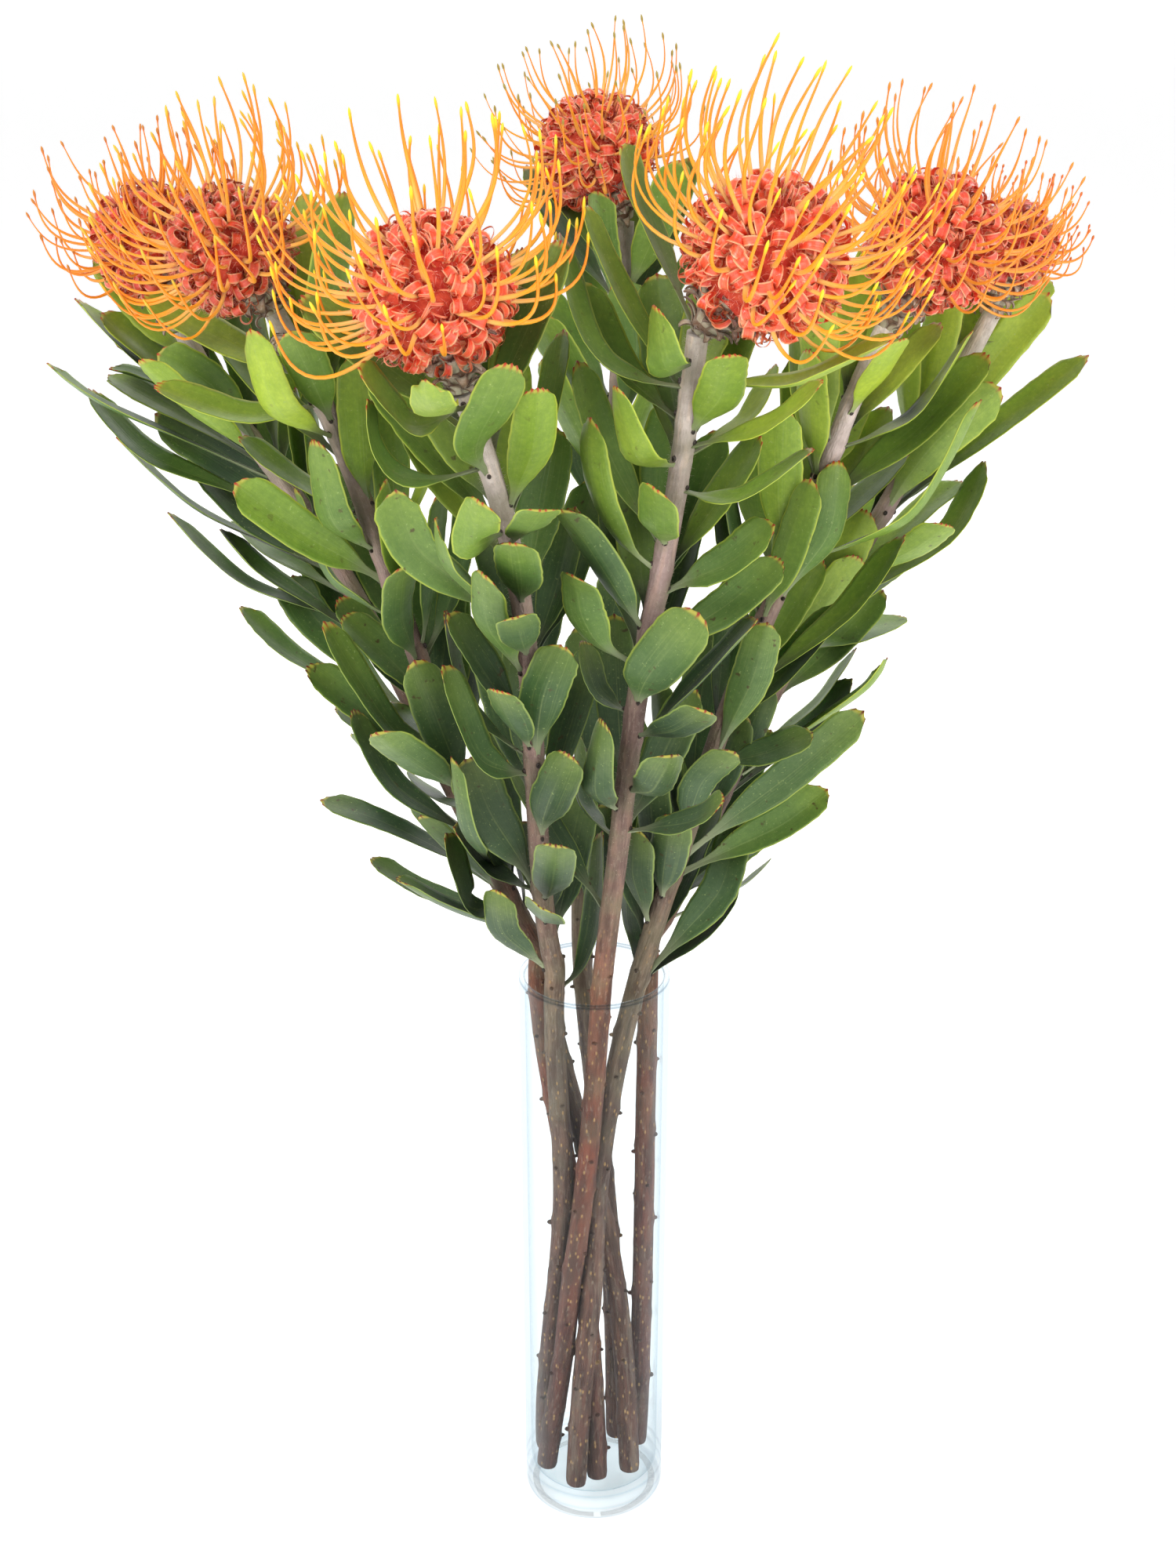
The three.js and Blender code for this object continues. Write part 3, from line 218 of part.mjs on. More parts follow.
  [1058,2,0,18,[[33.2,-88.3,568.1],[22.1,-86,584.1],[11.9,-84.3,600.8],[3,-83.4,618.3],[-4.4,-83.3,636.5]],[0.71,-0.44,0.56],[0.82,-0.45,0.34]],
  [1059,2,0,18.7,[[31.5,-80.2,538.2],[29.2,-70.5,552.1],[27.1,-61.5,566.6],[25.4,-53.6,581.6],[24.1,-46.7,597.3]],[0.37,-0.73,0.57],[0.39,-0.83,0.4]],
  [1060,2,0,19.3,[[28.1,-71.7,495.3],[37.6,-70.5,508],[46.8,-69.6,520.9],[55.5,-69,534.3],[63.7,-68.9,547.9]],[-0.71,-0.42,0.57],[-0.78,-0.42,0.47]],
  [1061,2,0,18.8,[[18.1,-61.9,455.6],[13.5,-55,473.8],[9.8,-49.6,492.6],[7.2,-45.9,512],[5.9,-44,531.8]],[0.37,-0.83,0.41],[0.4,-0.91,0.12]],
  [1062,2,0,17.5,[[17.4,-55.1,417.8],[30,-57.2,431],[42.1,-59.4,444.4],[53.7,-61.8,458.4],[64.7,-64.4,472.8]],[-0.73,-0.11,0.68],[-0.8,-0.09,0.59]],
  [1063,3,0,17.8,[[12.6,86.9,584.9],[13.6,100,597.3],[14.6,112.6,610.2],[15.6,124.4,623.9],[16.6,135.2,638.3]],[-0.18,-0.67,0.72],[-0.19,-0.78,0.6]],
  [1064,3,0,18.6,[[13.4,78.8,552.9],[25.3,87.4,565.1],[36.5,95.8,578.1],[46.8,103.9,591.9],[56.2,111.6,606.7]],[-0.6,-0.25,0.76],[-0.7,-0.34,0.62]],
  [1065,3,0,17.4,[[12.3,71.8,520.6],[22.6,78.3,533.5],[32.3,84.6,546.9],[41,90.7,561.1],[48.8,96.6,575.8]],[-0.72,-0.18,0.67],[-0.81,-0.25,0.53]],
  [1066,3,0,18.3,[[8.1,64.2,477.4],[10.1,76.7,488.1],[12,88.7,499.3],[13.9,100,511.2],[15.7,110.6,523.8]],[-0.01,-0.65,0.76],[-0.03,-0.76,0.65]],
  [1067,3,0,17.1,[[7.2,56.6,445.3],[17.3,65.8,455.2],[27,74.8,465.7],[36.1,83.4,476.9],[44.6,91.6,488.9]],[-0.39,-0.45,0.81],[-0.46,-0.54,0.7]],
  [1068,4,0,19.3,[[-115.9,-26.2,566.7],[-121.5,-16.4,580],[-127.3,-7.5,593.8],[-133.5,0.2,608.1],[-139.9,6.7,622.9]],[0.26,-0.72,0.64],[0.33,-0.8,0.5]],
  [1069,4,0,17.9,[[-98.6,-24.2,526.5],[-96.8,-18.4,543.1],[-95.6,-13.1,559.9],[-95.2,-8.5,576.9],[-95.6,-4.7,594.1]],[-0.45,-0.83,0.34],[-0.41,-0.89,0.19]],
  [1070,4,0,17.9,[[-85.5,-20.4,481.1],[-84.6,-11.8,497.2],[-84.5,-4.4,513.8],[-85.4,1.5,531],[-87.3,5.8,548.6]],[-0.33,-0.83,0.46],[-0.29,-0.94,0.2]],
  [1071,4,0,20.5,[[-77.1,-17.2,445.6],[-83.5,-8.6,456.8],[-89.9,-0.9,468.6],[-96.1,5.6,481.3],[-102.1,10.9,494.6]],[0.07,-0.77,0.64],[0.18,-0.89,0.43]],
  [1072,4,0,18,[[-59.4,-12.6,391.7],[-56.6,-4,405.3],[-53.9,4.4,419],[-51.7,12.3,433.1],[-49.8,19.8,447.5]],[-0.63,-0.59,0.5],[-0.65,-0.64,0.41]],
  [1073,5,0,20.3,[[-162.5,22.5,553.2],[-168.4,31.1,569.3],[-174.8,38.8,585.7],[-181.7,45.2,602.5],[-189.1,50.3,619.4]],[-0.28,-0.89,0.37],[-0.22,-0.95,0.19]],
  [1074,5,0,19.7,[[-136.3,22.1,515.2],[-138.1,27.8,532.5],[-140.4,33.2,549.9],[-143.3,38.3,567.3],[-146.8,43,584.7]],[-0.79,-0.61,0.12],[-0.77,-0.64,0.02]],
  [1075,5,0,19.2,[[-117.9,23,481.8],[-126.4,31.7,495.9],[-135,40,510.3],[-143.7,47.6,524.9],[-152.5,54.4,539.9]],[0.18,-0.78,0.59],[0.24,-0.82,0.52]],
  [1076,5,0,18.7,[[-99.7,21.9,446.2],[-107.4,36.5,457.1],[-115.4,50.4,468.8],[-123.7,63.1,481.6],[-132.2,74.6,495.2]],[-0.3,-0.67,0.68],[-0.21,-0.81,0.55]],
  [1077,5,0,20.1,[[-83,20.2,413.7],[-85.5,29.4,427.3],[-88.6,37.7,441.3],[-92.4,44.9,455.7],[-96.9,50.9,470.5]],[-0.33,-0.81,0.49],[-0.26,-0.92,0.29]],
  [1078,6,0,19.1,[[111.2,19.2,551.6],[112.9,34.4,563],[115.4,48.6,575.6],[118.8,61.3,589.5],[123,72.3,604.5]],[0.44,-0.57,0.69],[0.39,-0.79,0.47]],
  [1079,6,0,18.1,[[97.1,14,510.5],[102.3,26.3,518.4],[107.7,37.7,527.4],[113.2,47.7,537.9],[118.7,56.3,549.5]],[0.17,-0.58,0.8],[0.05,-0.81,0.58]],
  [1080,6,0,19,[[87.3,9.5,479.5],[100.1,18.7,487.7],[112.8,27.7,496.4],[125.3,36.3,505.8],[137.5,44.6,515.9]],[-0.37,-0.28,0.89],[-0.45,-0.34,0.82]],
  [1081,6,0,18.8,[[71.9,5.5,452.4],[65.2,11.4,468.6],[60,17,485.4],[56.7,22.2,502.8],[55.3,26.9,520.7]],[0.87,-0.23,0.44],[0.93,-0.32,0.16]],
  [1082,6,0,18.6,[[61.8,3.4,419],[68.3,14.1,428.8],[74.8,24.5,439.1],[81.3,34.2,450],[87.8,43.3,461.4]],[-0.24,-0.58,0.78],[-0.3,-0.66,0.69]],
  [1083,7,0,18.8,[[162.1,66.5,551.7],[160.3,72.2,566.4],[158.9,78,581.3],[158,83.6,596.2],[157.7,89,611.1]],[0.84,-0.47,0.28],[0.84,-0.5,0.2]],
  [1084,7,0,20.5,[[147.5,61.5,518.7],[155,76.9,526],[162.6,92.1,533.8],[170.5,106.6,542.4],[178.6,120.6,551.8]],[0.13,-0.47,0.87],[0.07,-0.58,0.81]],
  [1085,7,0,17.2,[[130.4,54,485.4],[143.5,61.8,493.7],[156.4,69.3,502.7],[168.9,76.3,512.5],[181.1,82.8,523.2]],[-0.43,-0.21,0.88],[-0.55,-0.28,0.79]],
  [1086,7,0,19.7,[[109.8,48.4,455.6],[113.2,62.2,462.5],[117.1,75.7,470.1],[121.5,88.4,478.4],[126.4,100.3,487.6]],[0.18,-0.47,0.86],[0.12,-0.63,0.77]],
  [1087,7,0,20.2,[[89.4,40.7,426],[86.6,51,442.4],[84.5,61,459],[83.5,70.7,476],[83.6,79.9,493.2]],[0.69,-0.55,0.47],[0.69,-0.64,0.34]],
  [2000,7,0,19.8,[[87.5,35.6,419.6],[94.6,33.6,433],[101.7,32,446.3],[109,30.8,459.7],[116.2,30.1,473.1]],[-0.14,0.97,0.21],[-0.2,0.97,0.16]],
  [2001,6,0,19.3,[[58,0.5,403.2],[71.8,6.2,414.3],[85.1,11.6,426.3],[97.6,16.5,439.3],[109.1,21,453.3]],[-0.45,-0.43,0.78],[-0.58,-0.5,0.64]],
  [2002,1,0,19.2,[[-29.2,-79.8,484.4],[-29.3,-91.2,492],[-29.6,-101.9,500.3],[-30.1,-111.9,509.6],[-30.8,-120.9,519.7]],[0.2,0.54,0.82],[0.24,0.71,0.66]],
  [2003,1,0,18.4,[[-18.8,-21.9,309.8],[-14.7,-16.3,325.9],[-10.7,-11,342],[-7,-6,358.3],[-3.5,-1.6,374.9]],[-0.07,-0.94,0.34],[-0.07,-0.96,0.27]],
  [2004,4,0,17.6,[[-106.3,-29.3,544.7],[-108.6,-39.1,555.2],[-111,-48.7,565.9],[-113.6,-57.9,576.8],[-116.4,-66.7,588]],[-0.11,0.74,0.67],[-0.09,0.8,0.6]],
  [2005,7,0,19,[[81,36.4,403.9],[94.8,46.7,412.3],[108.4,56.4,421.8],[121.5,65.3,432.6],[134.1,73.4,444.6]],[-0.01,-0.63,0.78],[-0.14,-0.74,0.65]],
  [2006,4,0,19.7,[[-55.8,-15.7,377],[-60.1,-23.9,394.3],[-64.7,-31.2,411.9],[-69.6,-37.4,429.8],[-74.8,-42.5,448.1]],[-0.44,0.85,0.29],[-0.41,0.9,0.14]],
  [2007,7,0,19.1,[[96.8,39.8,437],[102.1,38.4,450.9],[107.7,37.6,464.7],[113.7,37.4,478.4],[120.1,37.8,491.9]],[0.29,0.96,-0.02],[0.18,0.98,-0.12]],
  [2008,4,0,16.9,[[-95.9,-23.8,504.5],[-109.4,-21.7,510.8],[-122.4,-19.9,518.1],[-134.7,-18.5,526.7],[-146,-17.3,536.5]],[0.4,-0.12,0.91],[0.64,-0.14,0.76]],
  [2009,5,0,16.9,[[-42.2,8.3,320.7],[-50.9,3,331.8],[-59.5,-2.1,342.9],[-68.1,-6.6,354.4],[-76.6,-10.7,366]],[0.47,0.6,0.66],[0.52,0.61,0.59]],
  [2010,4,0,19.1,[[-58.1,-15.9,380.1],[-65.9,-29.6,390.8],[-73.6,-43,401.8],[-81.4,-55.8,413.5],[-89.1,-68.1,425.8]],[-0.2,0.67,0.72],[-0.15,0.75,0.65]],
  [2011,3,0,17.1,[[-3.8,34.2,329],[2.9,44.8,342],[9.3,55.1,355.4],[15.3,64.9,369.3],[20.9,74.1,383.9]],[-0.39,-0.61,0.69],[-0.43,-0.68,0.6]],
  [2012,6,0,20.9,[[25.4,-6.4,298.8],[33.9,-1.3,315.4],[42.1,3.4,332.4],[49.8,7.4,349.7],[57,10.9,367.4]],[-0.65,-0.56,0.51],[-0.7,-0.58,0.41]],
  [2013,1,0,19.5,[[-22,-34.7,336.7],[-19.7,-49.7,346],[-17.9,-63.6,357],[-16.6,-75.9,369.8],[-16,-86.5,384]],[0.06,0.54,0.84],[0.06,0.8,0.59]],
  [2014,1,0,20.2,[[-39.1,-94.8,539.7],[-41.3,-87.8,551.3],[-43.6,-81.7,563.4],[-46.2,-77.1,576.1],[-48.9,-73.8,589.1]],[0.27,-0.8,0.54],[0.38,-0.87,0.3]],
  [2015,4,0,18.3,[[-69,-14.9,413.6],[-79.7,-8.4,424.8],[-90.3,-1.9,436.2],[-100.7,4.1,447.9],[-110.9,9.9,459.9]],[0.39,-0.58,0.71],[0.44,-0.61,0.66]],
  [2016,7,0,19,[[141.1,56.9,512.6],[144.2,57.6,532.4],[147.5,58.4,552],[151.2,59.4,571.6],[155.4,60.5,591.1]],[0.55,0.82,-0.11],[0.52,0.84,-0.16]],
  [2017,5,0,18.9,[[-31.8,9.6,308.4],[-33.1,14.1,327.6],[-35,18.5,346.8],[-37.9,22.7,366],[-41.7,26.7,385]],[-0.92,-0.39,0.03],[-0.9,-0.43,-0.09]],
  [2018,1,0,19.8,[[-21.6,-31.2,324.3],[-21.6,-44.5,330.3],[-21.8,-57.5,337.1],[-22.1,-69.9,345],[-22.4,-81.5,353.9]],[0.27,0.4,0.88],[0.28,0.57,0.77]],
  [2019,4,0,20.1,[[-67.9,-15,419.7],[-66.5,-6.4,430.2],[-65.2,2,440.9],[-64.3,9.8,452.1],[-63.7,17.1,463.6]],[-0.22,-0.74,0.64],[-0.21,-0.82,0.53]],
  [2020,7,0,19.4,[[168.1,68.8,556.4],[178,82.9,560.8],[188,96.5,566.3],[198.2,109.3,573.3],[208.4,121.2,581.6]],[0.12,-0.37,0.92],[-0.03,-0.56,0.83]],
  [2021,7,0,17.2,[[52.9,20.7,352.6],[55.5,16.3,366],[58.6,12.8,379.5],[62.2,10.3,393.2],[66.3,8.9,406.8]],[0.66,0.74,0.12],[0.64,0.76,-0.12]],
  [2022,5,0,20.6,[[-158.8,20.9,541.1],[-171.7,21.9,549.9],[-184.2,22.8,559.4],[-196.1,23.5,569.5],[-207.4,24,580.3]],[0.53,-0.28,0.8],[0.65,-0.3,0.7]],
  [2023,3,0,17.5,[[-3.6,35.9,362.2],[-4.8,32.4,381.8],[-5.8,29.7,401.6],[-6.3,27.9,421.4],[-6.3,27.1,441.4]],[0.12,0.98,0.18],[0.11,0.99,0.04]],
  [2024,4,0,16.9,[[-98.3,-23.1,520.9],[-101,-11.3,533.7],[-103.9,0.2,546.7],[-107,11.3,560.2],[-110.2,21.7,574]],[-0.27,-0.73,0.62],[-0.26,-0.8,0.54]],
  [2025,3,0,17.5,[[10.7,64.5,497.9],[15.8,63.1,510.8],[20.7,61.9,523.8],[25.5,60.9,536.9],[30,60,550.1]],[-0.7,0.63,0.34],[-0.72,0.63,0.29]],
  [2026,6,0,18.2,[[94.7,12.5,511.6],[89.5,17.6,528],[85.9,22.4,544.9],[84,26.8,562.2],[84,30.7,579.7]],[0.87,-0.32,0.37],[0.91,-0.42,0.09]],
  [2027,7,0,16.6,[[102,44.3,439.4],[112.5,52.4,442.4],[122.9,60.3,446.2],[133.3,67.7,450.9],[143.5,74.7,456.5]],[-0.18,-0.13,0.97],[-0.34,-0.24,0.91]],
  [2028,4,0,18.3,[[-33.7,-7.7,309.3],[-47.6,-14.8,316.2],[-61.1,-21.5,324.3],[-73.9,-27.6,333.9],[-85.9,-33,344.8]],[0.33,0.25,0.91],[0.54,0.35,0.77]],
  [2029,6,0,16.8,[[72.3,2.3,450.5],[76.6,-0.7,467.1],[80.9,-3.5,483.6],[85.4,-6,500.2],[90.1,-8.2,516.7]],[0.69,0.72,-0.05],[0.68,0.72,-0.1]],
  [2030,1,0,17.7,[[-32.4,-89.2,511.7],[-28.7,-103.3,517.5],[-25.1,-117.3,523.7],[-21.9,-131,530.5],[-19,-144.5,538.1]],[-0.23,0.32,0.92],[-0.26,0.43,0.87]],
  [2031,4,0,18.1,[[-81.2,-22.9,468.8],[-81.1,-26.9,482.2],[-81.7,-30.5,495.8],[-83,-33.6,509.4],[-85,-36.2,523.1]],[-0.9,0.41,0.13],[-0.9,0.43,-0.05]],
  [2032,3,0,19.8,[[8.3,69.5,521.3],[-0.7,64.4,533.8],[-9.2,59.8,546.8],[-17.1,55.8,560.5],[-24.2,52.6,574.8]],[0.4,0.71,0.58],[0.47,0.78,0.41]],
  [2033,4,0,18.3,[[-37.1,-6.2,326.9],[-38.7,-0.8,344.5],[-40.8,4.1,362.3],[-43.5,8.1,380.2],[-46.8,11.3,398.1]],[-0.2,-0.94,0.27],[-0.14,-0.98,0.15]],
  [2034,5,0,16.6,[[-142.2,18.5,519.8],[-152.1,6.5,530.6],[-162.3,-4.1,542.3],[-172.8,-13.1,555.1],[-183.7,-20.2,568.8]],[0.13,0.6,0.79],[0.29,0.74,0.61]],
  [2100,7,0,18.7,[[38.4,16.6,315.4],[47.7,26.2,324.9],[56.8,35.2,335.1],[65.8,43.5,345.9],[74.6,51.2,357.5]],[-0.14,-0.63,0.77],[-0.24,-0.72,0.66]],
  [2101,5,0,16.9,[[-40.7,12.3,316.7],[-52.1,23.8,322.5],[-63.4,34.8,329.3],[-74.7,45.1,337.2],[-85.9,54.5,346.4]],[0.25,-0.23,0.94],[0.39,-0.36,0.85]],
  [2102,6,0,18.3,[[30.3,-9.2,324.3],[30.3,-16.3,336],[30.9,-22.3,348.2],[32.3,-27.1,360.9],[34.4,-30.4,373.9]],[0.32,0.81,0.49],[0.26,0.94,0.2]],
  [2103,6,0,17.3,[[24.9,-5.9,308.5],[25.4,-0.6,323.4],[26.1,4.5,338.3],[27.1,9.2,353.3],[28.4,13.7,368.4]],[0.17,-0.93,0.32],[0.12,-0.95,0.27]],
  [2105,3,0,19.9,[[3,46.3,413.9],[5.4,44.9,426.7],[7.8,43.8,439.5],[10.1,43,452.4],[12.2,42.6,465.3]],[0.07,0.99,0.09],[0.1,0.99,0.02]],
  [2106,7,0,20.8,[[37.7,17.5,319.9],[37.1,30,331.3],[37.7,41.4,343.7],[39.8,51.6,357],[43.5,60.2,371.1]],[0.19,-0.66,0.73],[0.06,-0.86,0.51]],
  [2107,6,0,20.3,[[95.1,10.4,511.7],[92.5,6.3,525.9],[90.3,2.5,540.2],[88.9,-0.7,554.8],[88.3,-3.4,569.6]],[0.74,0.6,0.31],[0.75,0.64,0.15]],
  [2108,1,0,17,[[-27.3,-71.9,460.4],[-28,-84.4,467.6],[-28.7,-96.8,475],[-29.4,-108.9,482.9],[-30.2,-120.8,491.1]],[-0.32,0.49,0.81],[-0.32,0.56,0.77]],
  [2109,7,0,20.9,[[38.7,16.3,315.3],[50,28,318.2],[61.3,39.5,321.7],[72.5,50.6,326.4],[83.7,61.3,332]],[0.01,-0.25,0.97],[-0.11,-0.37,0.92]],
  [2110,4,0,17,[[-72.1,-16.2,433.7],[-71.8,-6.8,445.3],[-71.6,2.4,457.1],[-71.5,11.4,469],[-71.6,20,481.2]],[-0.39,-0.71,0.58],[-0.39,-0.75,0.53]],
  [2111,3,0,19.3,[[-4.6,25.4,301],[-1.3,23.4,315.2],[1.6,22,329.5],[3.9,21.3,344],[5.6,21.3,358.6]],[-0.31,0.93,0.2],[-0.26,0.96,0.03]],
  [2112,3,0,20,[[-6.1,34.3,347.8],[-11,33.5,360.9],[-15.7,32.7,374],[-20.3,32,387.3],[-24.6,31.5,400.6]],[0.68,0.68,0.29],[0.68,0.69,0.25]],
  [2114,6,0,16.9,[[23,-6.6,303.3],[19.6,-0.4,317.2],[16.8,5.5,331.3],[14.7,10.9,345.7],[13.3,15.8,360.4]],[0.43,-0.78,0.45],[0.38,-0.87,0.33]],
  [2115,5,0,17.6,[[-117.8,19.5,486],[-117.3,14.3,503.7],[-117.3,9.4,521.4],[-118.1,4.9,539.3],[-119.8,0.9,557.1]],[-0.95,0.28,0.11],[-0.95,0.31,-0.02]],
  [2116,4,0,17.8,[[-72.9,-17.7,441],[-64.7,-10.5,457.1],[-58.3,-4.3,474.3],[-54.1,0.5,492.7],[-52.2,3.7,511.8]],[-0.59,-0.58,0.56],[-0.65,-0.73,0.19]],
  [2117,7,0,16.5,[[57.5,22.9,362.4],[62.3,21.2,376.5],[67.2,20,390.6],[72.2,19.2,404.7],[77.4,18.9,418.7]],[0.35,0.94,-0.01],[0.33,0.94,-0.1]],
  [2118,7,0,19.1,[[51.6,23.6,344.2],[59.1,31.7,353.6],[66.7,39.8,363.1],[74.2,47.5,372.9],[81.6,55,383]],[0.09,-0.79,0.61],[0.07,-0.82,0.56]],
  [2119,5,0,20.8,[[-91.7,20.9,427.9],[-101.3,31.1,437.4],[-110.9,40.9,447.4],[-120.5,50.1,458],[-130,58.6,469.2]],[-0.09,-0.72,0.68],[-0.01,-0.8,0.59]],
  [2120,4,0,17,[[-37.2,-10,328.5],[-39,-14.6,343.6],[-41.2,-18.9,358.7],[-44,-22.8,373.9],[-47.3,-26.3,389]],[-0.77,0.63,0.1],[-0.75,0.67,-0.01]],
  [2121,1,0,16.6,[[-26.3,-57.7,415.5],[-29.9,-68.7,423.9],[-33.1,-79.2,433.1],[-35.9,-88.9,443.2],[-38.3,-97.6,454.2]],[0.36,0.49,0.8],[0.42,0.67,0.62]],
  [2122,5,0,17.3,[[-70.9,16.6,379.1],[-82.9,20.3,383.8],[-94.6,23.8,389.2],[-106,27.2,395.4],[-117,30.4,402.3]],[0.31,-0.21,0.93],[0.46,-0.26,0.85]],
  [2123,4,0,17,[[-86.5,-22.2,488.3],[-76.4,-18.1,504.3],[-68.1,-14.6,521.5],[-62.1,-11.9,539.6],[-58.4,-10,558.5]],[-0.79,-0.24,0.56],[-0.93,-0.3,0.21]],
];

// one round scaly side bud: centre, radius, stem
const BUD = { c: [-124.3,-38,578.2], r: 5.0, a: [-0.446,-0.802,0.398], stem: 4 };

const wasm = await Module();
wasm.setup();
const { Manifold, Mesh } = wasm;

const V = (x, y, z) => new THREE.Vector3(x, y, z);
const A = (a) => new THREE.Vector3(a[0], a[1], a[2]);

function solid(points, tris) {
  const vp = new Float32Array(points.length * 3);
  points.forEach((p, i) => { vp[3 * i] = p.x; vp[3 * i + 1] = p.y; vp[3 * i + 2] = p.z; });
  const tv = new Uint32Array(tris.flat());
  const m = new Mesh({ numProp: 3, vertProperties: vp, triVerts: tv });
  m.merge();
  let s = new Manifold(m);
  if (s.volume() < 0) {
    s = new Manifold(new Mesh({ numProp: 3, vertProperties: vp, triVerts: new Uint32Array(tris.map((t) => [t[0], t[2], t[1]]).flat()) }));
  }
  return s;
}

// rings of equal size joined into a closed tube
function loft(rings, capA, capB) {
  const pts = rings.flat();
  const n = rings[0].length;
  const tris = [];
  for (let i = 0; i < rings.length - 1; i++) {
    for (let j = 0; j < n; j++) {
      const a = i * n + j, b = i * n + (j + 1) % n, c = a + n, d = b + n;
      tris.push([a, b, d], [a, d, c]);
    }
  }
  const last = (rings.length - 1) * n;
  for (const t of capA(n)) tris.push([t[0], t[2], t[1]]);
  for (const t of capB(n)) tris.push([last + t[0], last + t[1], last + t[2]]);
  return solid(pts, tris);
}
const fan = (n) => { const r = []; for (let i = 1; i < n - 1; i++) r.push([0, i, i + 1]); return r; };

function tube(path, radii, sides, grow = 0) {
  const rings = [];
  let side = null;
  for (let i = 0; i < path.length; i++) {
    const a = path[Math.max(i - 1, 0)], b = path[Math.min(i + 1, path.length - 1)];
    const t = b.clone().sub(a).normalize();
    if (!side) side = V(1, 0, 0);
    side = side.clone().sub(t.clone().multiplyScalar(side.dot(t))).normalize();
    const other = new THREE.Vector3().crossVectors(t, side);
    const ring = [];
    for (let j = 0; j < sides; j++) {
      const w = (2 * Math.PI * j) / sides;
      const r = radii[i] + grow;
      ring.push(path[i].clone().addScaledVector(side, Math.cos(w) * r).addScaledVector(other, Math.sin(w) * r));
    }
    rings.push(ring);
  }
  if (grow > 0) {
    const t0 = path[0].clone().sub(path[1]).normalize().multiplyScalar(grow);
    const t1 = path[path.length - 1].clone().sub(path[path.length - 2]).normalize().multiplyScalar(grow);
    rings[0].forEach((p) => p.add(t0));
    rings[rings.length - 1].forEach((p) => p.add(t1));
  }
  return loft(rings, fan, fan);
}

// ---- vase ----
function lathe(profile, segments) {
  // profile runs from the axis around the outside and back to the axis
  const pts = [], tris = [];
  const idx = profile.map(([r, z]) => {
    if (r < 1e-6) { pts.push(V(0, 0, z)); return [pts.length - 1]; }
    const row = [];
    for (let j = 0; j < segments; j++) {
      const w = (2 * Math.PI * j) / segments;
      pts.push(V(r * Math.cos(w), r * Math.sin(w), z));
      row.push(pts.length - 1);
    }
    return row;
  });
  for (let i = 0; i < idx.length - 1; i++) {
    for (let j = 0; j < segments; j++) {
      const k = (j + 1) % segments;
      const a = idx[i], b = idx[i + 1];
      if (a.length === 1 && b.length > 1) tris.push([a[0], b[k], b[j]]);
      else if (b.length === 1 && a.length > 1) tris.push([a[j], a[k], b[0]]);
      else if (a.length > 1) tris.push([a[j], a[k], b[k]], [a[j], b[k], b[j]]);
    }
  }
  return solid(pts, tris);
}
const ri = VASE_RADIUS - VASE_WALL;
const vase = lathe([
  [0, 0], [VASE_BASE_RADIUS, 0], [VASE_FOOT_RADIUS - 0.7, 1.3], [VASE_FOOT_RADIUS, 4], [VASE_FOOT_RADIUS, 20],
  [VASE_RADIUS, VASE_HEIGHT - 1.2], [VASE_RADIUS - 0.9, VASE_HEIGHT], [ri + 0.9, VASE_HEIGHT], [ri, VASE_HEIGHT - 1.2],
  [VASE_FOOT_RADIUS - VASE_WALL, 20], [VASE_FOOT_RADIUS - VASE_WALL - 1.2, VASE_FOOT + 1.4], [VASE_FOOT_RADIUS - VASE_WALL - 5.5, VASE_FOOT], [0, VASE_FOOT],
], 32);

// ---- stems ----
function stemPath(s) {
  const pts = s.p.map(A);
  const keep = [pts[0]];
  for (let i = 3; i < pts.length - 1; i += 2) keep.push(pts[i]);
  keep.push(pts[pts.length - 1]);
  return keep;
}
function stemTube(k, grow) {
  const s = STEMS[k];
  const path = stemPath(s);
  const radii = path.map((_, i) => s.r[0] + (s.r[1] - s.r[0]) * (i / (path.length - 1)));
  return tube(path, radii, STEM_SIDES, grow);
}

// ---- leaves ----
const PROFILE = [[0, 0.17], [0.24, 0.66], [0.5, 0.98], [0.76, 0.97], [1, 0.56]];
function leaf(l, grow) {
  const [, , , width, mid, n0, n1] = l;
  const p = mid.map(A);
  const a = A(n0), b = A(n1);
  const rings = p.map((q, i) => {
    const t = p[Math.min(i + 1, 4)].clone().sub(p[Math.max(i - 1, 0)]).normalize();
    const n = a.clone().lerp(b, i / 4);
    n.addScaledVector(t, -n.dot(t)).normalize();
    const s = new THREE.Vector3().crossVectors(n, t);
    const w = width * 0.5 * PROFILE[i][1] + grow;
    const h = (width * LEAF_CUP * PROFILE[i][1]);
    const th = (LEAF_THICK * 0.5) * (i === 4 ? 0.7 : 1) + grow * 1.15;
    const c = q.clone();
    if (grow && i === 0) c.addScaledVector(t, -grow);
    if (grow && i === 4) c.addScaledVector(t, grow);
    if (!grow) return [
      c.clone().addScaledVector(s, -w).addScaledVector(n, h),
      c.clone().addScaledVector(n, -th),
      c.clone().addScaledVector(s, w).addScaledVector(n, h),
      c.clone().addScaledVector(n, th),
    ];
    return [
      c.clone().addScaledVector(s, -w).addScaledVector(n, h - grow),
      c.clone().addScaledVector(n, -th),
      c.clone().addScaledVector(s, w).addScaledVector(n, h - grow),
      c.clone().addScaledVector(s, w).addScaledVector(n, h + grow),
      c.clone().addScaledVector(n, th),
      c.clone().addScaledVector(s, -w).addScaledVector(n, h + grow),
    ];
  });
  const cap = grow ? () => [[0, 1, 4], [0, 4, 5], [1, 2, 3], [1, 3, 4]] : () => [[0, 1, 3], [1, 2, 3]];
  return loft(rings, cap, cap);
}

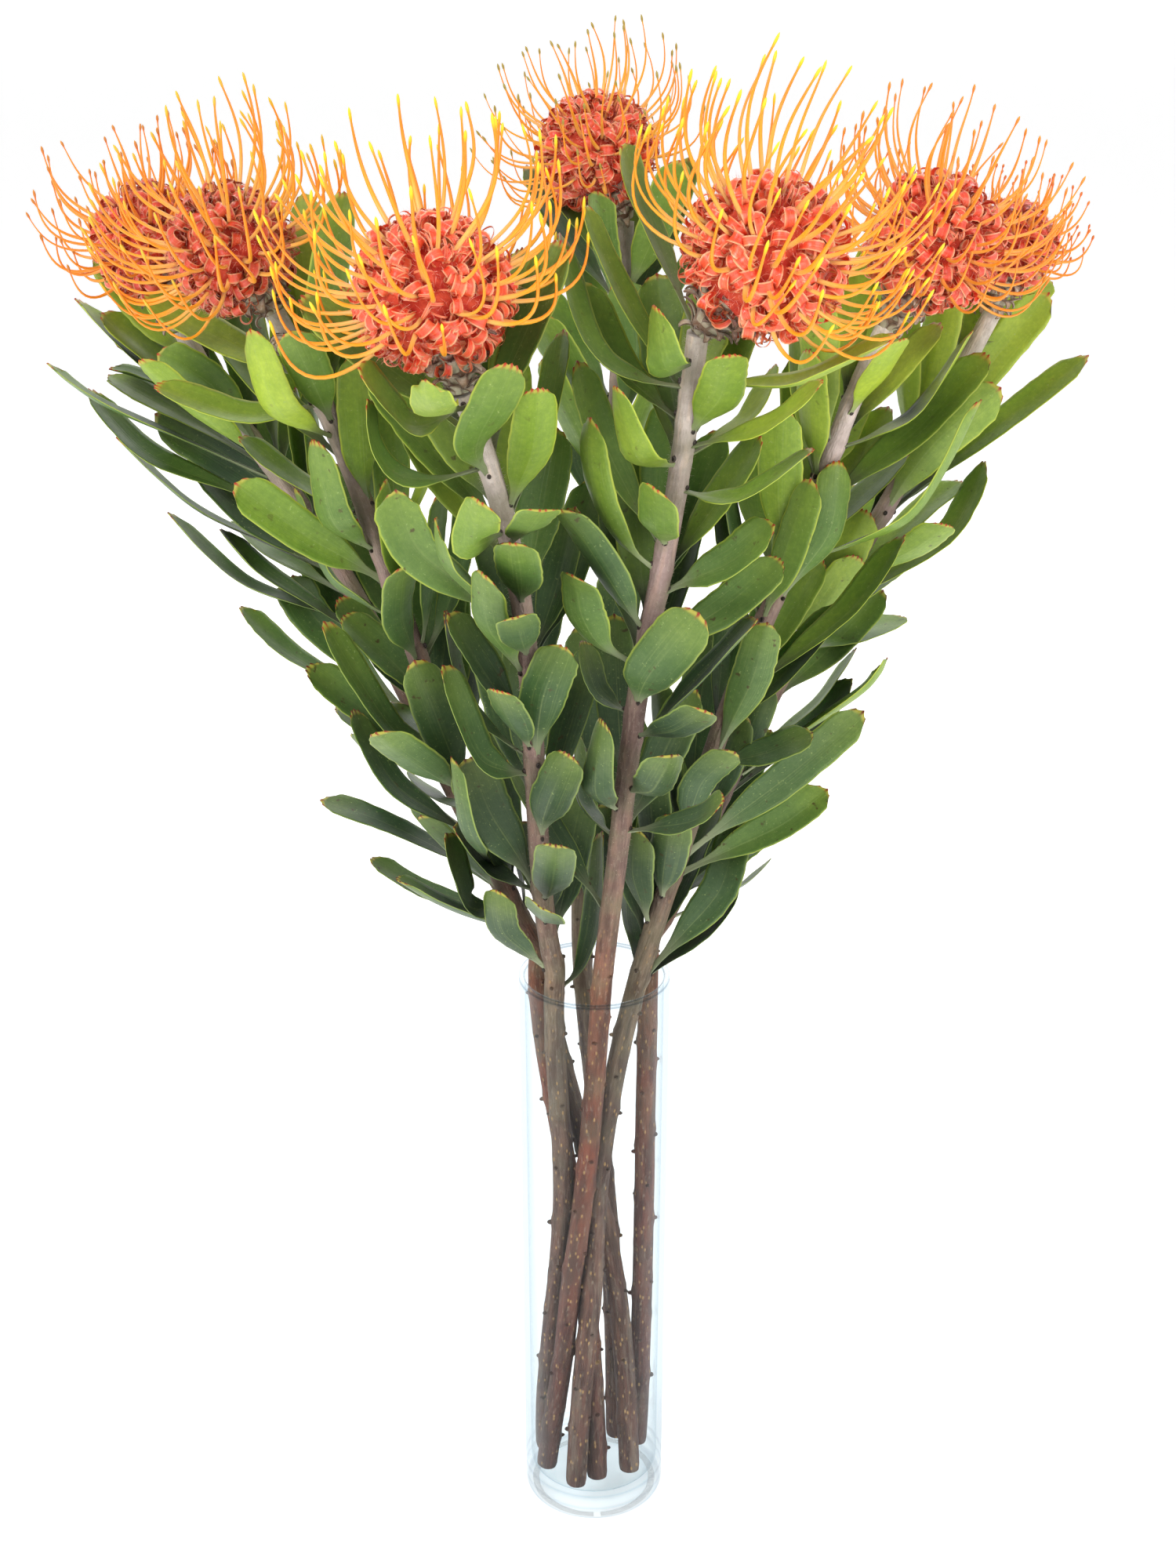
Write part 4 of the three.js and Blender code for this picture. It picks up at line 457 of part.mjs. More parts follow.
// ---- heads ----
function frameOf(axis) {
  const e1 = V(0, 0, 1).addScaledVector(axis, -axis.z).normalize();
  if (!isFinite(e1.x) || e1.length() < 0.5) e1.set(1, 0, 0);
  return [e1, new THREE.Vector3().crossVectors(axis, e1)];
}
function spin(c, axis, profile, sides, grow = 0) {
  // closed body of revolution about an axis through c; profile in [radius, height]
  const [e1, e2] = frameOf(axis);
  const pts = [], tris = [];
  const rows = profile.map(([r, h]) => {
    if (r < 1e-6) { pts.push(c.clone().addScaledVector(axis, h)); return [pts.length - 1]; }
    const row = [];
    for (let j = 0; j < sides; j++) {
      const w = (2 * Math.PI * (j + 0.5)) / sides;
      pts.push(c.clone().addScaledVector(axis, h).addScaledVector(e1, (r + grow) * Math.cos(w)).addScaledVector(e2, (r + grow) * Math.sin(w)));
      row.push(pts.length - 1);
    }
    return row;
  });
  for (let i = 0; i < rows.length - 1; i++) {
    const a = rows[i], b = rows[i + 1];
    for (let j = 0; j < sides; j++) {
      const k = (j + 1) % sides;
      if (a.length === 1) tris.push([a[0], b[j], b[k]]);
      else if (b.length === 1) tris.push([a[j], b[0], a[k]]);
      else tris.push([a[j], b[j], b[k]], [a[j], b[k], a[k]]);
    }
  }
  return solid(pts, tris);
}
function dome(h, grow) {
  const R = h.r + grow, c = A(h.c), ax = A(h.a).normalize();
  const prof = [[0, R]];
  for (const deg of [24, 46, 68, 90, 112, 132]) {
    const w = (deg * Math.PI) / 180;
    prof.push([R * Math.sin(w), R * Math.cos(w)]);
  }
  prof.push([0, R * Math.cos((132 * Math.PI) / 180)]);
  return spin(c, ax, prof, 12);
}
// the path of one style: it leaves the dome straight out and bends up towards the flower's axis
function stylePath(h, polar, turn, n, stretch) {
  const c = A(h.c), ax = A(h.a).normalize();
  const [e1, e2] = frameOf(ax);
  const out = e1.clone().multiplyScalar(Math.cos(turn)).addScaledVector(e2, Math.sin(turn));
  const N = out.clone().multiplyScalar(Math.sin(polar)).addScaledVector(ax, Math.cos(polar));
  const up = ax.clone().multiplyScalar(0.55).add(V(0, 0, 0.45)).normalize().addScaledVector(out, 0.12).normalize();
  const len = (STYLE_LENGTH + 11 * Math.sin(Math.min(polar, 1.57))) * h.s * stretch;
  const pos = c.clone().addScaledVector(N, h.r * 0.88);
  const path = [pos.clone()];
  const m = 12;
  for (let i = 1; i <= m; i++) {
    const t = (i - 0.5) / m;
    const w = Math.min(1, 1.12 * Math.pow(t, 1.25));
    const T = N.clone().multiplyScalar(1 - w).addScaledVector(up, w).normalize();
    pos.addScaledVector(T, len / m);
    if (i % (m / n) === 0) path.push(pos.clone());
  }
  return path;
}
const stylePolar = (f) => Math.acos(0.97 - 1.41 * Math.pow(f, 0.8));
function head(h, k) {
  let body = [dome(h, 0)];
  for (let i = 0; i < STYLE_COUNT; i++) {
    const f = (i + 0.5) / STYLE_COUNT;
    const polar = stylePolar(f);
    const turn = i * 2.399963 + k;
    const path = stylePath(h, polar, turn, 3, 0.97 + 0.05 * Math.sin(i * 2.1 + k));
    body.push(tube(path, [STYLE_RADIUS, STYLE_RADIUS, STYLE_RADIUS, STYLE_RADIUS * 1.3], 3));
  }
  return Manifold.union(body);
}
function fatHead(h, k) {
  let body = [dome(h, GAP)];
  for (let i = 0; i < STYLE_COUNT; i++) {
    const f = (i + 0.5) / STYLE_COUNT;
    const polar = stylePolar(f);
    const turn = i * 2.399963 + k;
    const path = stylePath(h, polar, turn, 3, 0.97 + 0.05 * Math.sin(i * 2.1 + k));
    body.push(tube(path, [STYLE_RADIUS, STYLE_RADIUS, STYLE_RADIUS, STYLE_RADIUS * 1.3], 3, GAP * 1.7));
  }
  return Manifold.union(body);
}
// the bract cup: a flared solid from the stem top to the underside of the dome
function bractCup(h, grow) {
  const c = A(h.c), b = A(h.b), R = h.r;
  const ax = c.clone().sub(b), d = ax.length();
  ax.normalize();
  const low = -(R * 0.669) - GAP;
  const bot = -d + GAP;
  const prof = [[0, low + grow * 4], [R * 0.53, low + grow * 4], [R * 0.60, low - 1.2], [R * 0.48, low + (bot - low) * 0.32], [Math.max(R * 0.28, 5.3), low + (bot - low) * 0.66], [4.7, bot - grow], [0, bot - grow]];
  return spin(c, ax, prof, 10, grow);
}

// ---- assembling: each later piece gives way to the ones before it ----
const boxes = new Map();
function bb(m) { const b = m.boundingBox(); return b; }
function near(a, b) {
  for (let i = 0; i < 3; i++) if (a.min[i] > b.max[i] || b.min[i] > a.max[i]) return false;
  return true;
}
function clear(m, cutters) {
  let r = m; const mb = bb(m);
  for (const c of cutters) {
    if (!near(mb, c.box)) continue;
    r = r.subtract(c.solid);
  }
  return r;
}
function biggest(m) {
  const parts = m.decompose();
  if (parts.length < 2) return m;
  parts.sort((a, b) => b.volume() - a.volume());
  return parts[0];
}
const cutter = (s) => ({ solid: s, box: bb(s) });

const placed = [];          // [name, solid, material]
const stemFat = {}; const stemThin = {};
for (const k of Object.keys(STEMS)) { stemFat[k] = cutter(stemTube(k, GAP)); stemThin[k] = stemTube(k, 0); }
const vaseFat = cutter(lathe([[0, -1], [VASE_RADIUS + GAP, -1], [VASE_RADIUS + GAP, VASE_HEIGHT + GAP], [ri - GAP, VASE_HEIGHT + GAP],
  [VASE_FOOT_RADIUS - VASE_WALL - GAP, 20], [VASE_FOOT_RADIUS - VASE_WALL - 1.2 - GAP, VASE_FOOT + 1.4], [VASE_FOOT_RADIUS - VASE_WALL - 5.5, VASE_FOOT + GAP], [0, VASE_FOOT + GAP]], 24));

const domeFat = {}; const cupFat = {};
const cups = {};
for (const k of Object.keys(HEADS)) {
  domeFat[k] = cutter(dome(HEADS[k], GAP));
  cups[k] = bractCup(HEADS[k], 0);
  cupFat[k] = cutter(bractCup(HEADS[k], GAP));
}

// leaves that are pieces of their own
const ownCut = []; const leafNodes = [];
const bud = (() => {
  const c = A(BUD.c), ax = A(BUD.a).normalize(), r = BUD.r;
  const prof = [[0, r * 1.15], [r * 0.62, r * 0.85], [r, 0.05 * r], [r * 0.8, -r * 0.6], [0, -r * 0.95]];
  return spin(c, ax, prof, 10);
})();
const budFat = (() => {
  const c = A(BUD.c), ax = A(BUD.a).normalize(), r = BUD.r + GAP;
  const prof = [[0, r * 1.15], [r * 0.62, r * 0.85], [r, 0.05 * r], [r * 0.8, -r * 0.6], [0, -r * 0.95]];
  return cutter(spin(c, ax, prof, 10));
})();
const fixed = [vaseFat, ...Object.values(domeFat), ...Object.values(cupFat), budFat];
for (const l of LEAVES.filter((q) => q[2])) {
  const m = biggest(clear(leaf(l, 0), [...fixed, ...Object.values(stemFat), ...ownCut]));
  leafNodes.push(['leaf_' + String(l[0]), m, l[1]]);
  ownCut.push(cutter(leaf(l, GAP)));
}
// leafy stems
const stemNodes = [];
const done = [];
const STEM_SPLIT = { 3: [150, 300], 6: [180, 278] };   // heights where a bowed stem is divided, so each length stays slim
for (const k of Object.keys(STEMS)) {
  const others = Object.keys(STEMS).filter((q) => q !== k).map((q) => stemFat[q]);
  const whole = biggest(clear(stemThin[k], [vaseFat, budFat]));
  const body = [whole];
  const mine = LEAVES.filter((q) => !q[2] && String(q[1]) === k);
  const cuts = [...fixed, ...others, ...ownCut, ...done];
  if (STEM_SPLIT[k]) {
    const [z1, z2] = STEM_SPLIT[k];
    const rest = whole.trimByPlane([0, 0, -1], -(z2 - 0.05));
    body[0] = biggest(whole.trimByPlane([0, 0, 1], z2 + 0.05));
    stemNodes.push(['stem_mid_' + k, biggest(rest.trimByPlane([0, 0, 1], z1 + 0.05))]);
    stemNodes.push(['stem_low_' + k, biggest(rest.trimByPlane([0, 0, -1], -(z1 - 0.05)))]);
    cuts.push(cutter(stemFat[k].solid.trimByPlane([0, 0, -1], -z2)));
  }
  for (const l of mine) body.push(clear(leaf(l, 0), cuts));
  const m = biggest(Manifold.union(body));
  stemNodes.push(['leafy_stem_' + k, m]);
  for (const l of mine) done.push(cutter(leaf(l, GAP)));
}
// flower heads give way to the leaves and to the heads before them
const headNodes = []; const headCut = [];
for (const k of Object.keys(HEADS)) {
  const otherDomes = Object.keys(HEADS).filter((q) => q !== k).map((q) => domeFat[q]);
  const m = biggest(clear(head(HEADS[k], +k), [...ownCut, ...done, ...Object.values(stemFat), ...Object.values(cupFat), ...otherDomes, ...headCut, budFat]));
  headNodes.push(['flower_head_' + k, m]);
  headCut.push(cutter(fatHead(HEADS[k], +k)));
}

// ---- looks ----
const MAT = {
  glass: new THREE.MeshStandardMaterial({ name: 'clear_glass', color: 0xdfe8e6, roughness: 0.05, metalness: 0, transparent: true, opacity: 0.35 }),
  stem: new THREE.MeshStandardMaterial({ name: 'leafy_stem', color: 0x6b7c48, roughness: 0.7, metalness: 0 }),
  leaf: new THREE.MeshStandardMaterial({ name: 'leaf_green', color: 0x6d9144, roughness: 0.55, metalness: 0 }),
  cup: new THREE.MeshStandardMaterial({ name: 'bract_brown', color: 0x8d7a62, roughness: 0.8, metalness: 0 }),
  head: new THREE.MeshStandardMaterial({ name: 'flower_orange', color: 0xdf6a3a, roughness: 0.6, metalness: 0 }),
};
function toMesh(name, m, mat) {
  const g = m.getMesh();
  const geo = new THREE.BufferGeometry();
  const n = g.vertProperties.length / g.numProp;
  const pos = new Float32Array(n * 3);
  for (let i = 0; i < n; i++) for (let j = 0; j < 3; j++) pos[3 * i + j] = g.vertProperties[i * g.numProp + j];
  geo.setAttribute('position', new THREE.BufferAttribute(pos, 3));
  geo.setIndex(new THREE.BufferAttribute(new Uint32Array(g.triVerts), 1));
  geo.computeVertexNormals();
  const mesh = new THREE.Mesh(geo, mat);
  mesh.name = name;
  return mesh;
}
const tidy = (m) => (m.simplify ? m.simplify(0.08) : m);
const group = new THREE.Group();
group.name = 'protea_bouquet';
group.add(toMesh('glass_vase', vase, MAT.glass));
for (const [name, m] of stemNodes) group.add(toMesh(name, tidy(m), MAT.stem));
for (const k of Object.keys(cups)) group.add(toMesh('bract_cup_' + k, biggest(tidy(clear(cups[k], [...ownCut, ...done, ...Object.values(stemFat), ...Object.values(domeFat)]))), MAT.cup));
for (const [name, m] of headNodes) group.add(toMesh(name, tidy(m), MAT.head));
group.add(toMesh('side_bud', bud, MAT.cup));
for (const [name, m] of leafNodes) group.add(toMesh(name, tidy(m), MAT.leaf));

export default group;
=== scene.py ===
# Seven pincushion protea stems in a clear glass cylinder vase: the detailed look.
# Lengths in the tables are millimetres; the meshes are in metres. +Z up, +Y away from the front.
import math
import bpy
import numpy as np
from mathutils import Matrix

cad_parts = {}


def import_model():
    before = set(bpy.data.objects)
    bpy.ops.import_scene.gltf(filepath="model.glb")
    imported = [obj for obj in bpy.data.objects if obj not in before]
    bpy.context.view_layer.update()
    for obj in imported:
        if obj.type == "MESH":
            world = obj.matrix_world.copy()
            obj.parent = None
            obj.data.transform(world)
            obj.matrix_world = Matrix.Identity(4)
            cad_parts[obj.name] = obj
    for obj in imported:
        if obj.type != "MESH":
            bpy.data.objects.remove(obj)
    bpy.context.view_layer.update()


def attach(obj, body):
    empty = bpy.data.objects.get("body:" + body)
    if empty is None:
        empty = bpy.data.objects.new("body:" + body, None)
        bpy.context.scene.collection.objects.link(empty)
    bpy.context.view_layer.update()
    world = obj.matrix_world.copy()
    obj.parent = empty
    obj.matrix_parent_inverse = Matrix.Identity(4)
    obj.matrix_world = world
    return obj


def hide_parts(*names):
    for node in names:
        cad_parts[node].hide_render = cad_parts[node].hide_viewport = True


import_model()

# stem centre lines from the flower end to the cut end, and the radius at both ends
STEMS = {
  1: { "r": [4.10, 5.10], "p": [[-48.7,-110,573.6],[-45.8,-106.2,563.7],[-43,-102.5,553.9],[-40.3,-98.8,543.9],[-37.9,-95.1,534],[-35.6,-91.4,524],[-33.6,-87.7,513.9],[-31.9,-84.1,503.8],[-30.5,-80.5,493.6],[-29.2,-77,483.4],[-28.2,-73.6,473.2],[-27.4,-70.2,462.9],[-26.8,-66.8,452.6],[-26.3,-63.5,442.2],[-25.9,-60.3,431.8],[-25.6,-57.1,421.4],[-25.3,-54,410.9],[-25.1,-50.9,400.5],[-24.8,-47.8,390],[-24.5,-44.7,379.5],[-24.2,-41.6,369],[-23.8,-38.6,358.4],[-23.3,-35.5,347.9],[-22.7,-32.4,337.3],[-21.9,-29.3,326.7],[-20.9,-26.1,316.1],[-19.6,-22.8,305.5],[-17.8,-19.4,294.8],[-18.3,-18.9,284.1],[-18.4,-18.4,273.4],[-18.3,-17.8,262.6],[-17.9,-17.2,251.8],[-17.4,-16.5,241.1],[-16.8,-15.8,230.3],[-16.2,-15.1,219.4],[-15.6,-14.4,208.7],[-15.1,-13.7,197.8],[-14.8,-13,187.1],[-14.7,-12.3,176.3],[-14.9,-11.5,165.5],[-15.4,-10.4,154.7],[-16,-8.9,143.9],[-16.7,-7.1,133.2],[-17.5,-5.3,122.4],[-18.5,-3.5,111.6],[-19.5,-1.9,100.8],[-20.4,-0.5,90.1],[-21.3,0.9,79.3],[-22.1,2.2,68.5],[-22.9,3.3,57.7],[-23.6,4.3,46.9],[-24,5.1,36.1],[-24.2,5.7,25.2],[-24,6.2,14.4]] },
  2: { "r": [4.10, 5.10], "p": [[37.5,-95,592.4],[36.6,-92.5,581.8],[35.6,-90,571.2],[34.6,-87.6,560.6],[33.5,-85.1,550],[32.3,-82.7,539.4],[31,-80.3,528.9],[29.6,-77.9,518.3],[28,-75.5,507.7],[26.4,-73.2,497.2],[24.6,-70.8,486.6],[22.8,-68.5,476.1],[21,-66.2,465.6],[19.4,-63.8,455],[18,-61.4,444.4],[16.7,-59,433.9],[15.6,-56.6,423.3],[14.5,-54.1,412.7],[13.5,-51.6,402.1],[12.6,-49.1,391.5],[11.6,-46.6,380.9],[10.7,-44.1,370.2],[9.7,-41.6,359.6],[8.7,-39,349],[7.6,-36.5,338.3],[6.6,-34,327.6],[5.6,-31.4,316.9],[4.6,-28.8,306.2],[3.6,-26,295.5],[2.9,-25.5,284.7],[2.2,-24.9,273.9],[1.6,-24.2,263.1],[0.9,-23.6,252.3],[0.2,-23,241.4],[-0.5,-22.4,230.6],[-1.3,-21.9,219.7],[-2.1,-21.4,208.8],[-3,-20.9,198],[-4,-20.4,187.1],[-5.1,-20,176.3],[-6.2,-19.7,165.4],[-7.5,-19.2,154.6],[-8.9,-18.5,143.7],[-10.3,-17.5,132.9],[-11.4,-16.2,122],[-12.3,-14.9,111.2],[-13.1,-13.7,100.4],[-14,-12.7,89.6],[-15.2,-11.7,78.8],[-16.5,-10.9,68],[-17.9,-10.2,57.3],[-19.4,-9.6,46.5],[-20.8,-9.1,35.8],[-22.1,-8.6,25.1],[-23.4,-8.3,14.4]] },
  3: { "r": [4.10, 5.10], "p": [[13.5,90,610.5],[13.1,87.7,599.7],[12.6,85.4,589],[12.2,83.1,578.2],[11.8,80.8,567.5],[11.5,78.5,556.7],[11.1,76.3,546],[10.7,74,535.2],[10.3,71.7,524.5],[9.8,69.5,513.7],[9.3,67.2,503],[8.7,64.9,492.2],[8,62.7,481.5],[7.3,60.4,470.8],[6.5,58.2,460],[5.6,56,449.3],[4.7,53.7,438.6],[3.7,51.5,427.9],[2.6,49.3,417.1],[1.6,47.1,406.4],[0.5,44.9,395.7],[-0.5,42.8,384.9],[-1.5,40.6,374.2],[-2.5,38.5,363.5],[-3.5,36.5,352.7],[-4.4,34.5,342],[-5.2,32.5,331.2],[-5.8,30.6,320.4],[-6.1,28.8,309.7],[-6.2,27.1,298.9],[-6,25.6,288.1],[-5.6,24.3,277.2],[-4.9,23.2,266.4],[-4.1,22.2,255.5],[-3.1,21.4,244.6],[-2,20.8,233.7],[-0.9,20.3,222.8],[0.2,19.8,211.9],[1.3,19.4,201],[2.4,19.1,190.1],[3.5,18.9,179.1],[4.6,18.6,168.2],[5.6,18.5,157.2],[6.5,18.3,146.3],[7.4,18.1,135.3],[8.1,18,124.4],[8.8,17.9,113.4],[9.4,17.7,102.4],[9.9,17.6,91.4],[10.3,17.4,80.5],[10.7,17.1,69.5],[10.9,16.8,58.5],[11.1,16.5,47.5],[11.3,16.1,36.5],[11.4,15.7,25.4],[11.6,15.3,14.4]] },
  4: { "r": [4.10, 5.10], "p": [[-127.3,-30,589.7],[-122.3,-29.4,579.8],[-117.5,-28.7,569.9],[-112.9,-28.1,559.9],[-108.7,-27.4,549.8],[-104.8,-26.7,539.6],[-101.2,-26.1,529.4],[-97.9,-25.3,519],[-94.7,-24.6,508.6],[-91.6,-23.8,498.1],[-88.6,-23,487.6],[-85.5,-22.2,477.1],[-82.5,-21.3,466.6],[-79.4,-20.4,456.1],[-76.3,-19.5,445.6],[-73.3,-18.6,435.1],[-70.3,-17.6,424.5],[-67.4,-16.7,413.9],[-64.3,-15.7,403.4],[-61.2,-14.8,392.9],[-58,-13.8,382.3],[-54.6,-12.8,371.8],[-51,-11.8,361.3],[-47.4,-10.8,350.8],[-43.6,-9.7,340.3],[-39.7,-8.6,329.7],[-35.6,-7.5,319.1],[-31,-6.2,308.5],[-25.8,-5,297.9],[-25.8,-4.8,287.1],[-25.6,-4.6,276.4],[-24.9,-4.3,265.6],[-23.8,-4.1,254.8],[-22.5,-3.8,243.9],[-21,-3.5,233.1],[-19.3,-3.3,222.2],[-17.6,-3,211.3],[-15.9,-2.7,200.4],[-14.2,-2.4,189.5],[-12.5,-2.1,178.6],[-10.8,-1.9,167.7],[-9.2,-2,156.8],[-7.7,-2.5,145.9],[-6.5,-3.5,134.9],[-5.3,-4.5,124],[-4.2,-5.5,113.1],[-3.1,-6.5,102.1],[-2.1,-7.5,91.2],[-1.3,-8.7,80.2],[-0.5,-9.9,69.2],[0.1,-11.3,58.3],[0.6,-12.8,47.3],[1.1,-14.4,36.4],[1.4,-16,25.4],[1.8,-17.6,14.4]] },
  5: { "r": [4.10, 5.10], "p": [[-173.7,20,574.5],[-169.3,20.2,565.1],[-164.8,20.3,555.9],[-159.7,20.4,546.8],[-154.1,20.6,537.8],[-148.1,20.7,528.9],[-141.9,20.8,520],[-135.8,20.8,511.1],[-129.8,20.8,502],[-124.1,20.8,492.8],[-118.7,20.6,483.4],[-113.5,20.4,473.9],[-108.4,20.2,464.3],[-103.4,19.9,454.6],[-98.6,19.5,444.8],[-93.8,19,435],[-89.2,18.5,425.1],[-84.6,18,415.1],[-80.1,17.4,405.2],[-75.6,16.8,395.1],[-71.1,16.2,385.1],[-66.6,15.5,375],[-62,14.7,365],[-57.4,13.9,354.9],[-52.7,13,344.7],[-48,12.1,334.6],[-43,11,324.4],[-37.8,9.8,314.1],[-32,8.5,303.8],[-25.4,6.9,293.5],[-24.9,7.1,283.1],[-23.6,7.2,272.6],[-21.7,7,262.1],[-19.5,6.8,251.6],[-17.1,6.5,241],[-14.6,6.1,230.4],[-11.9,5.6,219.8],[-9.3,5.1,209.1],[-6.6,4.6,198.5],[-4,4,187.8],[-1.5,3.3,177.1],[1,2.6,166.4],[3.4,1.9,155.7],[5.6,1.1,145],[7.6,0.3,134.2],[9.4,-0.6,123.4],[11,-1.5,112.6],[12.4,-2.5,101.7],[13.5,-3.5,90.8],[14.5,-4.6,80],[15.3,-5.7,69],[15.9,-6.9,58.1],[16.5,-8.2,47.2],[17,-9.5,36.3],[17.5,-10.8,25.4],[17.9,-12.2,14.4]] },
  6: { "r": [4.10, 5.10], "p": [[121.7,20,575.1],[117.3,18.7,565.1],[113,17.4,555],[109,16.1,544.9],[105.1,14.8,534.8],[101.5,13.5,524.6],[97.9,12.2,514.3],[94.4,10.9,504.1],[90.8,9.7,493.9],[87,8.4,483.7],[83,7.2,473.5],[78.9,6,463.4],[74.7,4.8,453.3],[70.4,3.7,443.2],[66.3,2.5,433],[62.5,1.4,422.8],[58.8,0.4,412.6],[55.3,-0.7,402.2],[52,-1.7,391.9],[48.8,-2.6,381.5],[45.6,-3.5,371],[42.5,-4.4,360.6],[39.3,-5.2,350.1],[36.1,-5.9,339.6],[32.8,-6.6,329.1],[29.6,-7.3,318.6],[26.4,-7.9,308.1],[23.4,-8.4,297.6],[20.5,-8.9,287],[17.8,-9.4,276.3],[15.3,-9.8,265.6],[13,-10.1,254.9],[10.9,-10.5,244.1],[9,-10.8,233.3],[7.3,-11,222.5],[5.7,-11.3,211.6],[4.3,-11.5,200.7],[3.1,-11.7,189.8],[2.1,-11.9,178.9],[1.3,-12,167.9],[0.7,-12.3,157],[0.2,-12.7,146],[-0.2,-13.5,135],[-0.7,-14.7,124.1],[-1.5,-16,113.1],[-2.6,-17.3,102.1],[-3.7,-18.2,91.2],[-4.7,-19,80.2],[-5.6,-19.6,69.2],[-6.3,-20.2,58.2],[-7,-20.8,47.3],[-7.6,-21.4,36.3],[-8.2,-22.1,25.4],[-8.7,-22.9,14.4]] },
  7: { "r": [4.10, 5.10], "p": [[175.6,70,573],[170.6,68.1,563.5],[165.7,66.2,554],[160.6,64.3,544.5],[155.6,62.4,535.1],[150.6,60.5,525.6],[145.5,58.6,516.2],[140.4,56.7,506.8],[135.1,54.8,497.4],[129.8,52.9,488.1],[124.3,51,478.9],[118.7,49,469.6],[113,47.1,460.5],[107.3,45.1,451.3],[101.6,43,442.1],[95.9,41,432.9],[90.3,39,423.7],[84.8,36.9,414.4],[79.5,34.8,405],[74.5,32.7,395.6],[69.5,30.6,386],[64.8,28.4,376.4],[60.2,26.3,366.6],[55.8,24.1,356.8],[51.4,21.8,346.8],[46.9,19.5,336.8],[42.4,17.1,326.6],[37.4,14.5,316.4],[31.8,11.7,306.1],[24.9,8.5,295.7],[25,8.1,285.2],[25,7.9,274.7],[24.9,7.9,264.1],[24.9,8,253.4],[24.8,8.1,242.8],[24.7,8.2,232],[24.6,8.3,221.2],[24.5,8.3,210.4],[24.4,8.3,199.6],[24.4,8.3,188.7],[24.4,8.3,177.9],[24.4,8.3,167],[24.3,8.3,156.1],[24.2,8.3,145.2],[24.2,8.3,134.3],[24.1,8.4,123.4],[24,8.6,112.5],[23.9,8.7,101.7],[23.7,8.9,90.8],[23.6,9.2,79.8],[23.4,9.4,68.9],[23.3,9.7,58],[23.1,10,47.1],[22.8,10.2,36.2],[22.4,10.3,25.3],[21.9,10.3,14.4]] },
}

# flower heads: centre, radius of the floret dome, axis, top of the stem
HEADS = {
  1: { "c": [-58.4,-113,609.4], "r": 28.1, "a": [-0.262,-0.081,0.962], "b": [-48.7,-110,573.6], "s": 1.00 },
  2: { "c": [60.9,-99.5,619.9], "r": 29.2, "a": [0.644,-0.124,0.755], "b": [37.5,-95,592.4], "s": 1.00 },
  3: { "c": [1.2,89.4,639.8], "r": 25.1, "a": [-0.37,-0.02,0.929], "b": [13.5,90,610.5], "s": 0.80 },
  4: { "c": [-142.5,-33.1,613.3], "r": 24.5, "a": [-0.554,-0.108,0.825], "b": [-127.3,-30,589.7], "s": 0.93 },
  5: { "c": [-183.3,20,610], "r": 23.4, "a": [-0.312,-0,0.95], "b": [-173.7,20,574.5], "s": 0.75 },
  6: { "c": [139.5,15.9,610.5], "r": 27.5, "a": [0.454,-0.103,0.885], "b": [121.7,20,575.2], "s": 0.95 },
  7: { "c": [182.3,73.7,601.4], "r": 19.3, "a": [0.252,0.125,0.96], "b": [175.6,70,573], "s": 0.68 },
}

